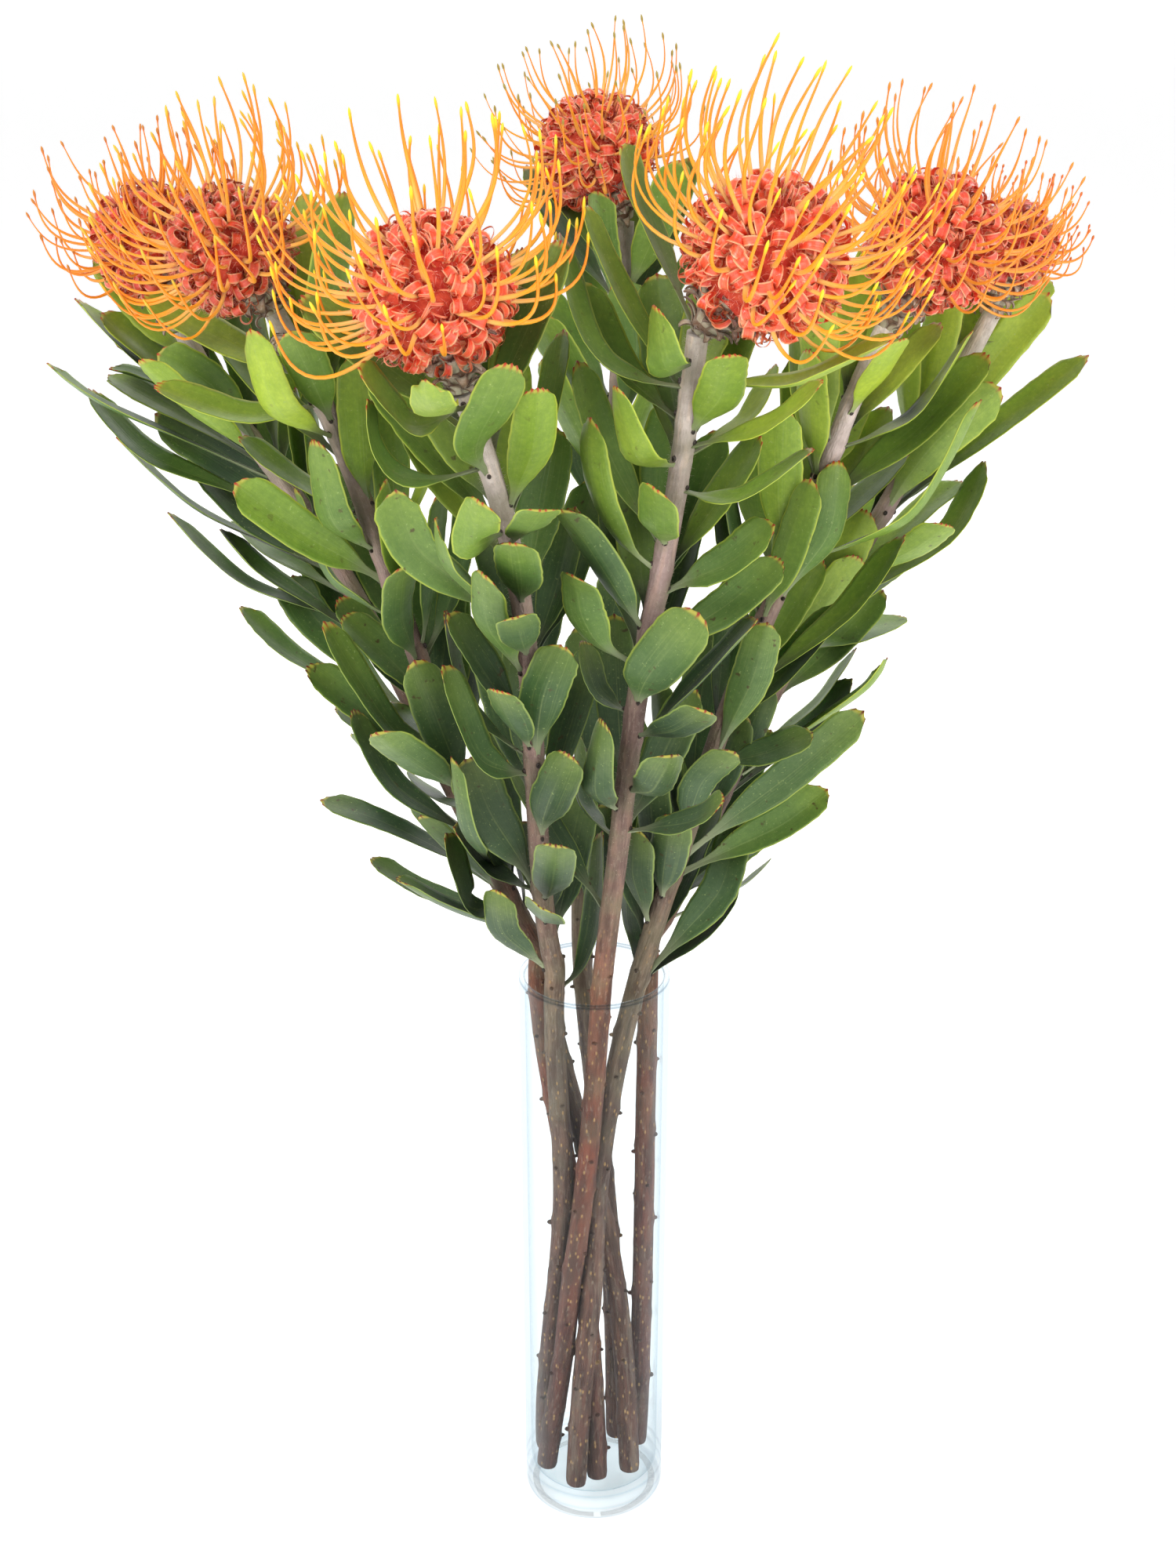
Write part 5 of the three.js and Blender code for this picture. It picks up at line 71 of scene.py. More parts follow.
# leaves: id, stem, own node, width, five midrib points, face normal near the base, face normal near the tip
LEAVES = [
  [0,5,0,17,[[-148,20.7,524.6],[-169.2,20.3,541.9],[-189.9,21.7,557.4],[-205.6,26.2,571.4],[-219.9,32.9,584.7]],[0.62,-0.23,0.75],[0.62,-0.2,0.76]],
  [1,5,1,18.2,[[-146.2,23,525.9],[-160.4,29.6,546.3],[-175.1,36.5,562.7],[-190.8,39.1,567.1],[-206.9,40.1,567.4]],[0.44,-0.72,0.54],[-0.04,-0.79,0.62]],
  [2,5,0,19.4,[[-142.3,18.6,522],[-151.5,13.6,538.7],[-160.5,8.7,553],[-170.7,5.9,561.1],[-181.5,5.7,566.6]],[0.08,0.94,0.32],[0.09,0.97,0.22]],
  [3,5,0,17.6,[[-145.6,22,521.9],[-166,27.6,536],[-185.1,32,547.4],[-197.4,32.2,552.6],[-207.2,30.3,555.8]],[0.58,0.06,0.81],[0.31,0.03,0.95]],
  [4,5,1,18.8,[[-141.7,21.6,515.8],[-168.9,27,531],[-193,32.4,543],[-203.5,35.3,548.4],[-209.5,37.5,551.6]],[0.4,-0.36,0.84],[0.34,-0.34,0.88]],
  [5,4,0,17,[[-112,-28.6,552.3],[-125,-34.7,550.8],[-139.9,-40.3,550.5],[-156.6,-42.2,555.8],[-174,-42.5,562.7]],[0.03,-0.3,0.95],[0.36,-0.28,0.89]],
  [6,5,1,20.6,[[-125.7,22.2,491.9],[-140.1,27.5,503.5],[-155.9,32.5,514.6],[-172.9,35.7,525.3],[-190.2,37.6,536]],[-0.03,-0.92,0.38],[0.07,-0.96,0.28]],
  [7,5,0,19.4,[[-137.7,20.8,509.8],[-174.8,21.2,526.6],[-207.1,21.5,540.9],[-222.3,21.7,550.9],[-231.8,22.5,559.4]],[0.41,0.12,0.9],[0.66,0.15,0.73]],
  [8,5,0,17.6,[[-128,20.9,494.7],[-161.2,21.4,507],[-191.1,24.3,518.7],[-207.3,30.9,531.6],[-219.2,39.9,544.8]],[0.34,-0.23,0.91],[0.67,-0.17,0.72]],
  [9,5,1,18.8,[[-113,20.3,468],[-130,20,479.8],[-147,22.2,490.4],[-160.1,28.4,501.3],[-172.1,37.1,512.2]],[0.5,-0.5,0.71],[0.42,-0.42,0.8]],
  [10,5,0,17,[[-113,20.8,468],[-143.5,26,480.2],[-172.2,30.4,492.8],[-191.6,33.9,508],[-207.7,36.5,524.2]],[0.39,0.18,0.9],[0.71,0.18,0.68]],
  [11,4,1,18.2,[[-87.8,-22.6,476.5],[-102.3,-25.7,486.9],[-117.8,-28.7,497.2],[-132.4,-30,508.6],[-146.7,-30.1,520.2]],[0.45,-0.81,0.38],[0.36,-0.82,0.43]],
  [12,5,0,19.4,[[-106.8,21.4,456.9],[-127,32.9,463.7],[-145.9,45.7,469.4],[-155.9,57.2,473.8],[-162.8,67.9,478]],[0.17,-0.25,0.95],[0.41,-0.1,0.91]],
  [13,5,0,17.6,[[-96.7,18.4,435.7],[-121.5,14.6,454.1],[-143.8,14,469.1],[-155.2,18.6,478.6],[-163.4,27.5,485.7]],[0.6,-0.27,0.75],[0.54,-0.17,0.83]],
  [14,5,1,18.8,[[-101.5,19.9,445.4],[-128.2,23.9,452.3],[-153.8,27,460.8],[-171.7,30,475.2],[-186.8,31.9,491.9]],[0.26,0.1,0.96],[0.74,0.09,0.66]],
  [15,5,1,19.1,[[-79.9,18,399.2],[-103.4,24.1,423.4],[-124,30.8,443.5],[-131.7,35.8,453.9],[-135.1,40.8,460.9]],[0.09,-0.94,0.32],[0,-0.81,0.58]],
  [16,4,0,18.2,[[-105.8,-28.8,539.1],[-115.3,-41.5,546.3],[-124,-53,555.2],[-128.9,-57.7,570.4],[-132.7,-58.5,587.3]],[-0.15,0.57,0.81],[0.66,0.72,0.18]],
  [17,4,0,19.4,[[-91,-25.1,490.6],[-98.7,-32.1,497.4],[-105.9,-40,506.5],[-109.4,-44.2,523],[-111.6,-46.8,541.7]],[-0,0.7,0.72],[0.67,0.72,0.18]],
  [18,4,1,17.6,[[-82.6,-20.1,459],[-97.6,-18.1,466],[-112,-14.7,475.1],[-120.5,-8.2,491.7],[-126.8,-0.7,511]],[0.43,0.16,0.89],[0.95,0.06,0.29]],
  [19,5,1,18.8,[[-79.2,17.6,397.5],[-109.1,24.8,412.3],[-136.1,30.9,425.9],[-149.7,34.4,437.1],[-158.7,36.2,447.7]],[0.43,-0.08,0.9],[0.75,-0.12,0.65]],
  [20,4,1,17,[[-109.8,-26.6,557.4],[-112,-24.9,575.3],[-113.4,-19.8,593.6],[-115.3,-10.5,612.5],[-117.6,1.4,631.6]],[-0.24,-0.97,0.06],[-0.28,-0.83,0.49]],
  [21,4,0,18.2,[[-92.8,-25.9,509.1],[-94,-29.4,523.9],[-94.3,-30.8,538.9],[-95.1,-26.7,554.9],[-96.5,-18.8,570.9]],[-0.69,0.71,0.11],[-0.64,0.67,-0.38]],
  [22,4,0,19.4,[[-111.1,-25.6,556.9],[-112.2,-14.7,567.3],[-115,-3.4,574.7],[-123.2,3.2,572.3],[-133.3,7.5,566.6]],[0.97,-0.1,0.21],[-0.55,-0.2,0.81]],
  [23,4,1,17.6,[[-66.6,-17.4,404.5],[-74.9,-24.1,406.4],[-85.4,-29.8,412.9],[-99.1,-28.8,433.9],[-113.7,-25.1,459.5]],[0.37,-0.21,0.91],[0.75,-0.44,0.49]],
  [24,4,0,18.8,[[-59.8,-12.2,381.9],[-77.5,-2.1,392.8],[-95.8,6.2,404.1],[-111.7,10,415.8],[-126.5,10.6,428.2]],[0.29,-0.42,0.86],[0.54,-0.5,0.68]],
  [25,5,0,17,[[-55.9,15,347.2],[-74.8,29.1,355.1],[-93.2,45,361.7],[-105.4,60,367],[-115.6,74.2,372.2]],[0.51,0.22,0.83],[0.66,0.21,0.72]],
  [26,4,0,18.2,[[-51.5,-11.8,355.2],[-69.3,-16.9,369.7],[-86.2,-18.8,383.3],[-96.6,-14.1,398.4],[-104.9,-5.3,413.4]],[0.65,-0.25,0.71],[0.74,-0.32,0.6]],
  [27,5,1,19.4,[[-46,11.5,325],[-70.2,16,338.1],[-93.7,20.1,348.8],[-110.4,22.4,354.9],[-124.8,24.2,359.4]],[0.46,-0.09,0.88],[0.29,-0.08,0.95]],
  [28,5,0,17.6,[[-38.1,9.1,309.5],[-57.6,8.6,314.4],[-76.9,9.4,319],[-90.6,13,325.7],[-102.5,18.1,333]],[0.24,-0.01,0.97],[0.51,-0.03,0.86]],
  [29,4,0,18.8,[[-38.7,-9.5,321.8],[-47.4,-16.3,323.2],[-56.1,-22.9,327.9],[-61.1,-24.1,343.5],[-64.9,-23.1,362.5]],[0.09,0.09,0.99],[0.94,-0.28,0.2]],
  [30,4,0,17,[[-44.8,-12.5,343.6],[-50.7,-35.3,360.1],[-55.5,-53.5,376],[-57.8,-59,393.7],[-59.6,-56.1,410.2]],[0.43,0.45,0.78],[0.93,0.36,0.04]],
  [31,1,1,22.1,[[-25.3,-32.8,340.9],[-34.2,-35.2,358.7],[-43.4,-39.1,376.4],[-48.9,-44.4,392.6],[-53,-50.6,408.1]],[0.26,-0.97,-0],[0.27,-0.92,-0.29]],
  [32,1,0,19.4,[[-27.2,-52.5,401.8],[-37.1,-59.5,406.1],[-47.4,-66.1,414],[-54.9,-67.5,432.4],[-61.3,-66.8,453.9]],[0.5,-0.19,0.84],[0.83,-0.49,0.26]],
  [33,1,0,17.6,[[-27.5,-52.6,409.4],[-40.5,-49.7,417.9],[-52.7,-48.5,429.8],[-58.2,-48.4,449.4],[-61.2,-50.2,471.6]],[0.54,-0.03,0.84],[0.97,-0.23,0.11]],
  [34,4,0,18.8,[[-71.3,-16,420.6],[-77.7,-14.2,428.5],[-86.1,-11.2,436.6],[-96.7,-7.5,446.1],[-107.9,-3.7,456]],[0.6,-0.53,0.6],[0.48,-0.49,0.73]],
  [35,4,0,17,[[-64.2,-13.6,395.9],[-71.5,-10.5,401.5],[-79.6,-4.3,405.7],[-85.7,3.9,408.6],[-91.1,13.5,410.8]],[0.58,-0.07,0.81],[0.51,0.09,0.86]],
  [36,4,0,18.2,[[-55.3,-11,367.8],[-64,-6.6,370],[-73,3,370.3],[-78.1,16.9,369.2],[-82,33.9,367.2]],[0.23,-0.04,0.97],[0.54,0.22,0.81]],
  [37,1,0,19.4,[[-25.1,-32,339.2],[-36.1,-27,340.8],[-47.5,-24.7,345.4],[-55,-25.8,355.6],[-60.9,-30.1,368.4]],[0.12,-0.06,0.99],[0.91,-0.24,0.34]],
  [38,1,0,17.6,[[-20.2,-20.2,294.5],[-30.3,-25.5,306.5],[-39.6,-31.7,318.6],[-41.8,-36.9,331],[-41.7,-41.4,343.2]],[-0.04,0.92,0.38],[0.53,0.8,0.29]],
  [39,1,0,18.8,[[-28.4,-67.9,450.2],[-35.1,-77.6,463.6],[-41.1,-89.8,477.1],[-42.4,-101.5,491.2],[-42,-112.8,505.4]],[0.24,0.72,0.65],[0.67,0.59,0.45]],
  [40,4,0,17,[[-74.6,-21.4,440.2],[-78,-28.5,452.5],[-79.9,-38.2,465.4],[-78.5,-47.3,479],[-76.1,-55.7,492.7]],[-0.79,0.6,0.12],[-0.52,0.68,0.52]],
  [41,1,1,18.7,[[-30.6,-73.2,473.1],[-50.4,-75.7,489.2],[-67.7,-78.3,504.4],[-74.1,-80.4,517.6],[-76.7,-81.9,529.8]],[0.24,-0.96,0.14],[0.17,-0.98,-0.09]],
  [42,1,0,19.4,[[-30.1,-72.4,467.7],[-45,-82.1,485.7],[-57.6,-91.1,501.6],[-60.6,-97.2,513.4],[-60.5,-100.7,523.4]],[0.53,0.49,0.7],[0.93,0.34,0.1]],
  [43,1,0,17.6,[[-35.1,-90.9,516.4],[-40.9,-103.6,516.1],[-45.2,-117.7,518.3],[-44.3,-128.5,527.8],[-41.7,-137.8,539.6]],[-0.89,0.41,-0.19],[0.47,0.74,0.48]],
  [44,1,0,18.8,[[-39.5,-99.7,539.8],[-44.3,-111.2,550.3],[-42.1,-124.1,561],[-35.9,-134,573.6],[-29.6,-140.9,589.2]],[-0.71,0.61,0.35],[-0.08,0.9,0.43]],
  [45,1,0,17,[[-33.5,-92.3,524.1],[-28.7,-99.9,537.3],[-23.7,-109.3,550.8],[-21.7,-118,564.4],[-20.9,-126.2,577.8]],[-0.03,0.86,0.51],[-0.25,0.82,0.52]],
  [46,1,0,18.2,[[-47.4,-110.2,567.9],[-51.8,-135.3,571.6],[-55.4,-156.1,575.5],[-56.7,-165.6,582.1],[-57.7,-167.5,588.7]],[-0.71,0.23,0.67],[0.74,0.61,0.28]],
  [47,1,0,19.4,[[-49.3,-108.6,567.9],[-58.2,-109.4,562.8],[-67.9,-114.7,561.8],[-76.3,-122.5,572.2],[-83.7,-133.6,586.5]],[-0.45,-0.32,0.84],[0.93,-0.2,0.33]],
  [48,1,1,17.6,[[-42.2,-99.7,543.1],[-60.4,-110.3,541],[-73.8,-119.1,545.6],[-80.6,-124.2,557.2],[-81.7,-126.6,573.7]],[-0.06,-0.09,0.99],[0.97,-0.23,0.03]],
  [49,1,1,18.8,[[-33.2,-88,519.8],[-25.6,-81.7,538.5],[-18.3,-74.7,557],[-14.6,-68.5,572.8],[-12.2,-62.7,587.6]],[-0.8,-0.4,0.45],[-0.85,-0.42,0.3]],
  [50,1,0,20.5,[[-24.4,-55.1,406.8],[-23.4,-65.5,426.1],[-21.2,-75.1,443],[-17.2,-80,456],[-12.6,-81.1,467]],[0.02,0.88,0.47],[0.14,0.99,0.04]],
  [51,1,0,19,[[-23.2,-43.8,368.4],[-21.9,-52.1,380.7],[-19.3,-61.4,392.8],[-15.2,-67.9,405.6],[-10.7,-72.6,418.2]],[0.1,0.83,0.55],[0.24,0.93,0.26]],
  [52,1,0,19.4,[[-20.7,-23.7,316.9],[-21.1,-19.5,328],[-22.5,-18.1,341.2],[-27.8,-22.3,355.1],[-34,-30.5,369.9]],[0.17,-0.92,0.35],[0.53,-0.81,-0.23]],
  [53,2,0,17.6,[[10.3,-49.2,384.1],[5.1,-57.1,390.2],[0.6,-65.9,398.9],[1,-71,415.2],[2.9,-74.5,433.6]],[-0.12,0.65,0.75],[0.81,0.58,0.03]],
  [54,2,0,23.1,[[17,-61.8,435.1],[18.4,-69.2,444.1],[21.5,-78.7,454.3],[30,-86,468.6],[39.9,-92.3,483.9]],[0.22,0.77,0.6],[0.37,0.92,0.14]],
  [55,2,0,17,[[16.8,-58,420.9],[23.9,-68,425.8],[31.4,-79.9,431.4],[37.4,-90.6,438.9],[42.8,-100.5,446.8]],[0.38,0.61,0.69],[-0.01,0.62,0.78]],
  [56,2,0,18.2,[[14,-52,394.4],[18.5,-60.6,397.3],[23.3,-70.5,401.8],[27.1,-77.7,411.2],[30.6,-83.7,422]],[0.69,0.53,0.5],[-0.42,0.73,0.54]],
  [57,6,0,19.4,[[24.9,-9.1,310.6],[21.2,-12.6,325.1],[17.4,-17.6,339.8],[17.3,-22.3,353.2],[18.6,-26.5,365.9]],[0.58,0.75,0.33],[0.78,0.61,0.12]],
  [58,2,0,17.6,[[13,-46.3,373.3],[26.2,-56.5,379.5],[38.7,-68.4,386.5],[46.1,-79,395.2],[51.5,-88.9,404.4]],[-0.46,-0.05,0.89],[-0.88,-0.06,0.46]],
  [59,6,0,18.8,[[38.7,-7.6,350.5],[42.2,-12.2,368.2],[46.1,-18.7,384.2],[52.5,-24.9,394.7],[59.8,-29.8,403.1]],[-0.43,0.85,0.31],[0.04,0.87,0.48]],
  [60,6,1,18.3,[[40,-4.9,344.1],[63.2,1,361.4],[86.2,7.2,377.5],[104,12.6,391.4],[120.1,17.8,404.6]],[-0.05,-0.92,0.39],[-0.04,-0.91,0.4]],
  [61,6,0,18.2,[[37.3,-5.8,335.4],[60.4,-2.2,345.9],[82.1,1.4,355.5],[94.8,4.5,363.5],[104.3,7.5,371.1]],[-0.18,-0.75,0.64],[-0.25,-0.75,0.61]],
  [62,6,1,19.4,[[22.9,-8.7,286.3],[40.1,-6.9,306.5],[55.6,-3.1,324.5],[61.2,3.1,339.2],[63.6,11.3,352.6]],[-0.5,-0.72,0.49],[-0.46,-0.71,0.53]],
  [63,7,0,17.6,[[33.5,13,304.7],[51.4,24.2,308.1],[68.3,37,310.1],[77.3,48.8,311.7],[83.6,60.1,313.5]],[-0.3,0.2,0.93],[-0.6,0.21,0.77]],
  [64,7,0,18.8,[[60,26.1,360.6],[82.2,36.7,374.6],[102.4,45.6,387.6],[112.4,50.2,398.2],[118.7,52,408.3]],[-0.45,-0.21,0.87],[-0.78,-0.31,0.54]],
  [65,7,0,17,[[64,26.7,368.9],[94.2,30.3,389.7],[120.3,34.6,406.7],[129.6,38.6,415.3],[133.3,43.7,420.9]],[-0.57,0.2,0.8],[-0.88,0.14,0.46]],
  [66,7,0,18.2,[[66.1,28.9,373.6],[84.4,36.5,386.6],[102,44.8,398.5],[112.6,52.6,409.6],[121,60.1,420.5]],[-0.6,0.09,0.79],[-0.81,0.05,0.58]],
  [67,6,0,19.4,[[52.7,-2.1,386],[64.2,-1.2,388.9],[76.6,-0.2,391.8],[86.8,1.3,395.7],[96.2,3,400]],[-0.23,-0.24,0.94],[-0.37,-0.24,0.9]],
  [68,6,0,18.6,[[52.3,-4.1,390.1],[60.3,-7,409.7],[67.4,-11.1,427.9],[70.9,-13.9,442.8],[73.3,-15.1,456.2]],[0.24,0.97,0.04],[0.15,0.99,0.06]],
  [69,6,1,18.8,[[62.9,1.2,416.9],[87.1,5.9,434.9],[109.8,10.5,452.1],[123.6,14.6,468.7],[134.4,18.6,485]],[-0.51,-0.37,0.78],[-0.71,-0.41,0.57]],
  [70,7,0,17,[[93.6,41.1,425.6],[108.1,52.5,425.8],[123.1,65.9,425.2],[135.3,79.2,425.6],[146.6,92.1,426.5]],[0.13,-0.19,0.97],[0.03,-0.1,0.99]],
  [71,7,1,18.2,[[104.6,43,442.5],[132.7,45.9,460.3],[157.4,49.3,476.8],[168.3,54.1,492.8],[174.7,60.1,508.5]],[-0.51,-0.22,0.83],[-0.86,-0.26,0.45]],
  [72,7,1,19.4,[[105.9,45.5,445.5],[127.9,57,465.3],[148.1,67.9,481.7],[159.6,74.2,489.7],[168.1,78.4,495.1]],[-0.5,-0.39,0.78],[-0.36,-0.38,0.85]],
  [73,7,0,17.6,[[112.4,44.5,457],[126.7,37.9,466.9],[139.5,29.1,476.3],[146.4,20.6,484.5],[151.4,12.4,492.1]],[0.06,0.87,0.49],[0.1,0.72,0.69]],
  [74,6,1,18.8,[[87.2,7.8,477.7],[112.3,9.5,484.5],[136.2,12.6,494.6],[152.2,20.2,516.3],[165.6,29.3,541.9]],[-0.27,0.14,0.95],[-0.9,0.1,0.43]],
  [75,7,0,17,[[131.8,53,486.9],[159.5,59.3,508.6],[185.8,64.5,527.8],[203.9,67.7,541.7],[219.2,70,553.9]],[-0.48,-0.45,0.75],[-0.51,-0.46,0.73]],
  [76,7,1,22.2,[[128.2,50,485.3],[138.8,49.5,503.2],[150.1,48.3,519.6],[163.5,48.5,532.3],[177.8,50.6,543.6]],[0.22,0.97,-0.1],[0.08,0.96,-0.27]],
  [77,6,1,19.4,[[95.4,10.9,499.9],[115.2,15.3,514.6],[135.4,20.5,529.1],[152.3,27,545],[168.1,34.2,561.3]],[-0.44,-0.51,0.74],[-0.51,-0.49,0.71]],
  [78,7,1,19.2,[[140.1,57.6,502.6],[158.8,67.1,527],[176.9,75.6,549],[190.6,80.1,565.2],[202.5,82.5,579.6]],[-0.03,-0.92,0.38],[-0.11,-0.96,0.26]],
  [79,7,1,18.8,[[121.7,52.3,478],[130.8,59.6,499.7],[140,67.8,521.2],[152.8,75.4,540.6],[166.9,82.7,559.3]],[0.38,-0.91,0.15],[0.38,-0.92,0.07]],
  [80,6,0,17,[[105.3,15.1,528.8],[114.1,18.6,540.7],[124.6,22.9,552.1],[135.7,27.3,563.4],[146.9,31.8,574.8]],[-0.51,-0.65,0.57],[-0.41,-0.63,0.66]],
  [81,6,0,18.2,[[106.9,13,538.3],[112,6.9,548],[116.8,-1.5,557.8],[120.6,-9.5,567.3],[124,-16.9,576.6]],[-0.47,0.62,0.63],[-0.5,0.57,0.65]],
  [82,6,1,19.4,[[104.3,13.5,525.5],[119.5,13.2,530.8],[135.3,15.1,538.1],[148.4,22.1,553.5],[160.7,31.4,571.5]],[-0.33,-0.11,0.94],[-0.8,-0.09,0.59]],
  [83,2,0,17.6,[[38.2,-90.8,574.5],[55.4,-89.5,572],[73.9,-91.8,572.6],[91.9,-97.2,581.2],[108.9,-105.7,592.6]],[0.15,-0.07,0.99],[-0.56,-0.02,0.82]],
  [84,2,0,18.8,[[35.2,-87.7,553],[40.3,-94.9,561.3],[45.2,-104,569.7],[47,-111.9,579.1],[47.8,-119,588.6]],[0.14,0.79,0.6],[-0.24,0.77,0.6]],
  [85,2,0,17,[[35.2,-85.9,547.8],[49.6,-96,553.9],[63.5,-105.8,560.4],[73.4,-112,569.2],[81.9,-115.9,578.5]],[-0.43,-0.07,0.9],[-0.76,-0.12,0.64]],
  [86,2,0,18.2,[[33.1,-82,530.1],[42.9,-89.3,529.3],[54.3,-96.4,530.7],[67.4,-99.6,539.3],[80.9,-100.9,550.1]],[-0.04,-0.17,0.98],[-0.62,-0.25,0.74]],
  [87,2,0,19.4,[[26.8,-71.5,486.1],[39.3,-77.1,493.9],[51.9,-83.1,501.6],[60.6,-87.7,510.1],[68,-91.4,518.8]],[-0.6,-0.52,0.6],[-0.73,-0.56,0.39]],
  [88,2,0,17.6,[[22.2,-64,458.3],[36.7,-63.1,467.9],[51.7,-60.6,477],[63.6,-56.2,485.7],[74.5,-50.6,494.2]],[-0.34,-0.74,0.58],[-0.2,-0.68,0.7]],
  [89,6,0,18.8,[[78.8,3.7,459.7],[89.6,0.3,476.1],[99,-1.7,491.5],[102.2,1.1,506.4],[103.4,7.4,520.8]],[-0.3,0.88,0.38],[-0.58,0.76,-0.28]],
  [90,6,1,17,[[82.7,9.2,477.4],[85.7,16.9,500.3],[87.1,25.4,522.4],[87.3,32.7,541.2],[87.1,39.7,559]],[0.21,-0.94,0.29],[0.2,-0.91,0.36]],
  [91,6,0,18.2,[[73.9,7,451.4],[81.6,22.2,469.9],[88.4,38.9,486.7],[91.6,52.8,498.2],[93.7,65.3,508.2]],[-0.79,-0.28,0.56],[-0.85,-0.23,0.47]],
  [92,6,1,19.4,[[68.6,5.1,443.7],[63.1,15.7,460.1],[57.3,25.2,478],[54.9,31.8,497.5],[53.6,36,517.7]],[0.65,-0.52,0.56],[0.73,-0.65,0.18]],
  [93,6,0,17.6,[[79.3,8.3,468.9],[73.3,19.7,481.4],[67.7,32.1,493.9],[67.2,42.9,505.3],[68.5,52.7,516.4]],[0.53,-0.48,0.7],[0.73,-0.55,0.4]],
  [94,2,0,18.8,[[34.5,-82,543.1],[47.6,-72.5,548.3],[60,-61.5,554.1],[66.3,-50.9,561.7],[70.5,-40.9,570]],[-0.3,-0.1,0.95],[-0.82,-0.12,0.55]],
  [95,2,1,17,[[23.8,-73.3,495.7],[10.8,-79,508.7],[1.2,-83.9,526.5],[-2.8,-87.7,544.9],[-1.9,-92.2,559.9]],[0.33,0.69,0.64],[0.83,0.54,0.11]],
  [96,2,0,18.2,[[19.4,-67.8,469.2],[12.3,-74.3,482],[3.7,-81.2,497.8],[-5.1,-87.5,513.1],[-13.8,-94.4,525.5]],[0.33,0.76,0.57],[0.24,0.77,0.59]],
  [97,2,0,19.4,[[27.3,-77.7,507.3],[25.2,-87.7,512.9],[23.1,-100,519.5],[22.3,-110.6,529.3],[21.9,-120.4,539.9]],[0.41,0.38,0.83],[0.82,0.41,0.4]],
  [98,2,1,17.6,[[33.4,-90.4,571.3],[16.7,-94.8,575.2],[2.7,-96.2,581.9],[-7.1,-90.5,597.4],[-13.4,-77.4,625.5]],[0.26,-0.15,0.95],[0.91,-0.27,0.33]],
  [99,2,1,18.8,[[32.1,-86,557.5],[20.7,-83.1,566.1],[8.9,-79.2,576.5],[0.6,-73.5,591],[-6.5,-67.3,606.8]],[0.46,-0.47,0.76],[0.69,-0.51,0.51]],
  [100,2,0,17,[[31,-84.8,541],[23.8,-93.6,542.6],[16.4,-103,547.1],[11.3,-108.2,560.1],[7.2,-111.7,575.7]],[-0.35,0.44,0.83],[0.85,0.41,0.32]],
  [101,3,0,18.2,[[7.9,66.8,490],[7.5,73.9,501.8],[7,80.1,513.7],[8.1,82.9,525.8],[9.7,83.2,538.2]],[0.65,-0.64,0.41],[0.63,-0.77,-0.06]],
  [102,3,0,19.4,[[11.3,68.3,517.7],[15.6,68.4,539.5],[18.7,67.7,559.6],[15.8,68,574.7],[10.9,69.9,588]],[-0.26,0.96,0.05],[-0.29,0.93,-0.24]],
  [103,2,0,17.6,[[35.5,-94.5,581.4],[30.6,-103.4,580.7],[25.8,-112.9,582.7],[23,-118.3,593.1],[21,-121.9,606.1]],[-0.75,0.36,0.56],[0.87,0.42,0.25]],
  [104,2,0,18.8,[[36.6,-93,592.9],[27.7,-73.6,611],[19,-61.3,629.2],[13.5,-62.4,643.4],[9.2,-72.4,656.4]],[0.58,-0.4,0.71],[0.89,-0.46,-0.06]],
  [105,3,0,17,[[10.6,79.4,569.7],[7,76.9,586],[3.3,72.2,601.5],[2,67.2,614.3],[1.5,62.5,625.9]],[0.61,0.75,0.25],[0.66,0.69,0.3]],
  [106,3,0,18.2,[[10.2,84.6,583.6],[-2.1,90.4,601.2],[-14.1,96.1,616.6],[-20.3,99.7,625.1],[-24.6,102.9,631.4]],[0.67,-0.42,0.61],[0.65,-0.4,0.64]],
  [107,3,0,19.4,[[5.5,62.5,478],[-1.6,67,490.8],[-8.5,71.6,502.7],[-9.8,75.1,511.6],[-9.2,78.2,519.6]],[0.76,-0.35,0.55],[0.89,-0.45,0.11]],
  [108,3,0,17.6,[[6.3,62.3,468.6],[2,74.6,472.1],[-2.2,89.8,475.6],[-3.7,105,480.6],[-4.4,119.8,486.3]],[0.69,0.04,0.72],[0.95,-0.07,0.29]],
  [109,2,0,18.8,[[16.9,-64.1,453.4],[2.3,-70.8,464.5],[-4.9,-77.8,478.2],[-7,-84.4,490.6],[-8.9,-91.8,499.1]],[0.04,0.83,0.55],[0.47,0.61,0.63]],
  [110,2,0,17,[[14,-57.6,430.7],[7.5,-56.7,434.1],[0.6,-54.8,439.1],[-3,-51.3,448.1],[-5.3,-47.2,458.4]],[0.43,-0.19,0.88],[0.86,-0.38,0.34]],
  [111,2,0,18.2,[[8.8,-41.9,369],[0.9,-34.2,372.4],[-6.5,-24.6,378.1],[-8.3,-13.8,389.7],[-8.1,-3.2,403.6]],[0.4,0.01,0.92],[0.92,-0.31,0.23]],
  [112,1,1,19.4,[[-16.1,-17.6,284.1],[-6.4,-13.4,291.8],[0.1,-6.8,306.9],[2.7,0.4,327.7],[3.5,7.1,350.6]],[-0.59,-0.1,0.8],[-0.9,-0.41,0.15]],
  [113,6,0,17.6,[[19.4,-6.9,289.1],[17.5,-2.9,297.6],[15.1,6.2,305],[14.4,19.7,311.6],[14.4,36,317.4]],[0.87,-0.34,0.35],[0.88,-0.16,0.44]],
  [114,6,0,18.8,[[22.4,-8.3,284.5],[37.2,-4.8,295.6],[52.7,0.2,308.7],[61.6,5.3,321.9],[59.7,9.6,332.9]],[-0.55,-0.22,0.81],[-0.84,-0.54,0.07]],
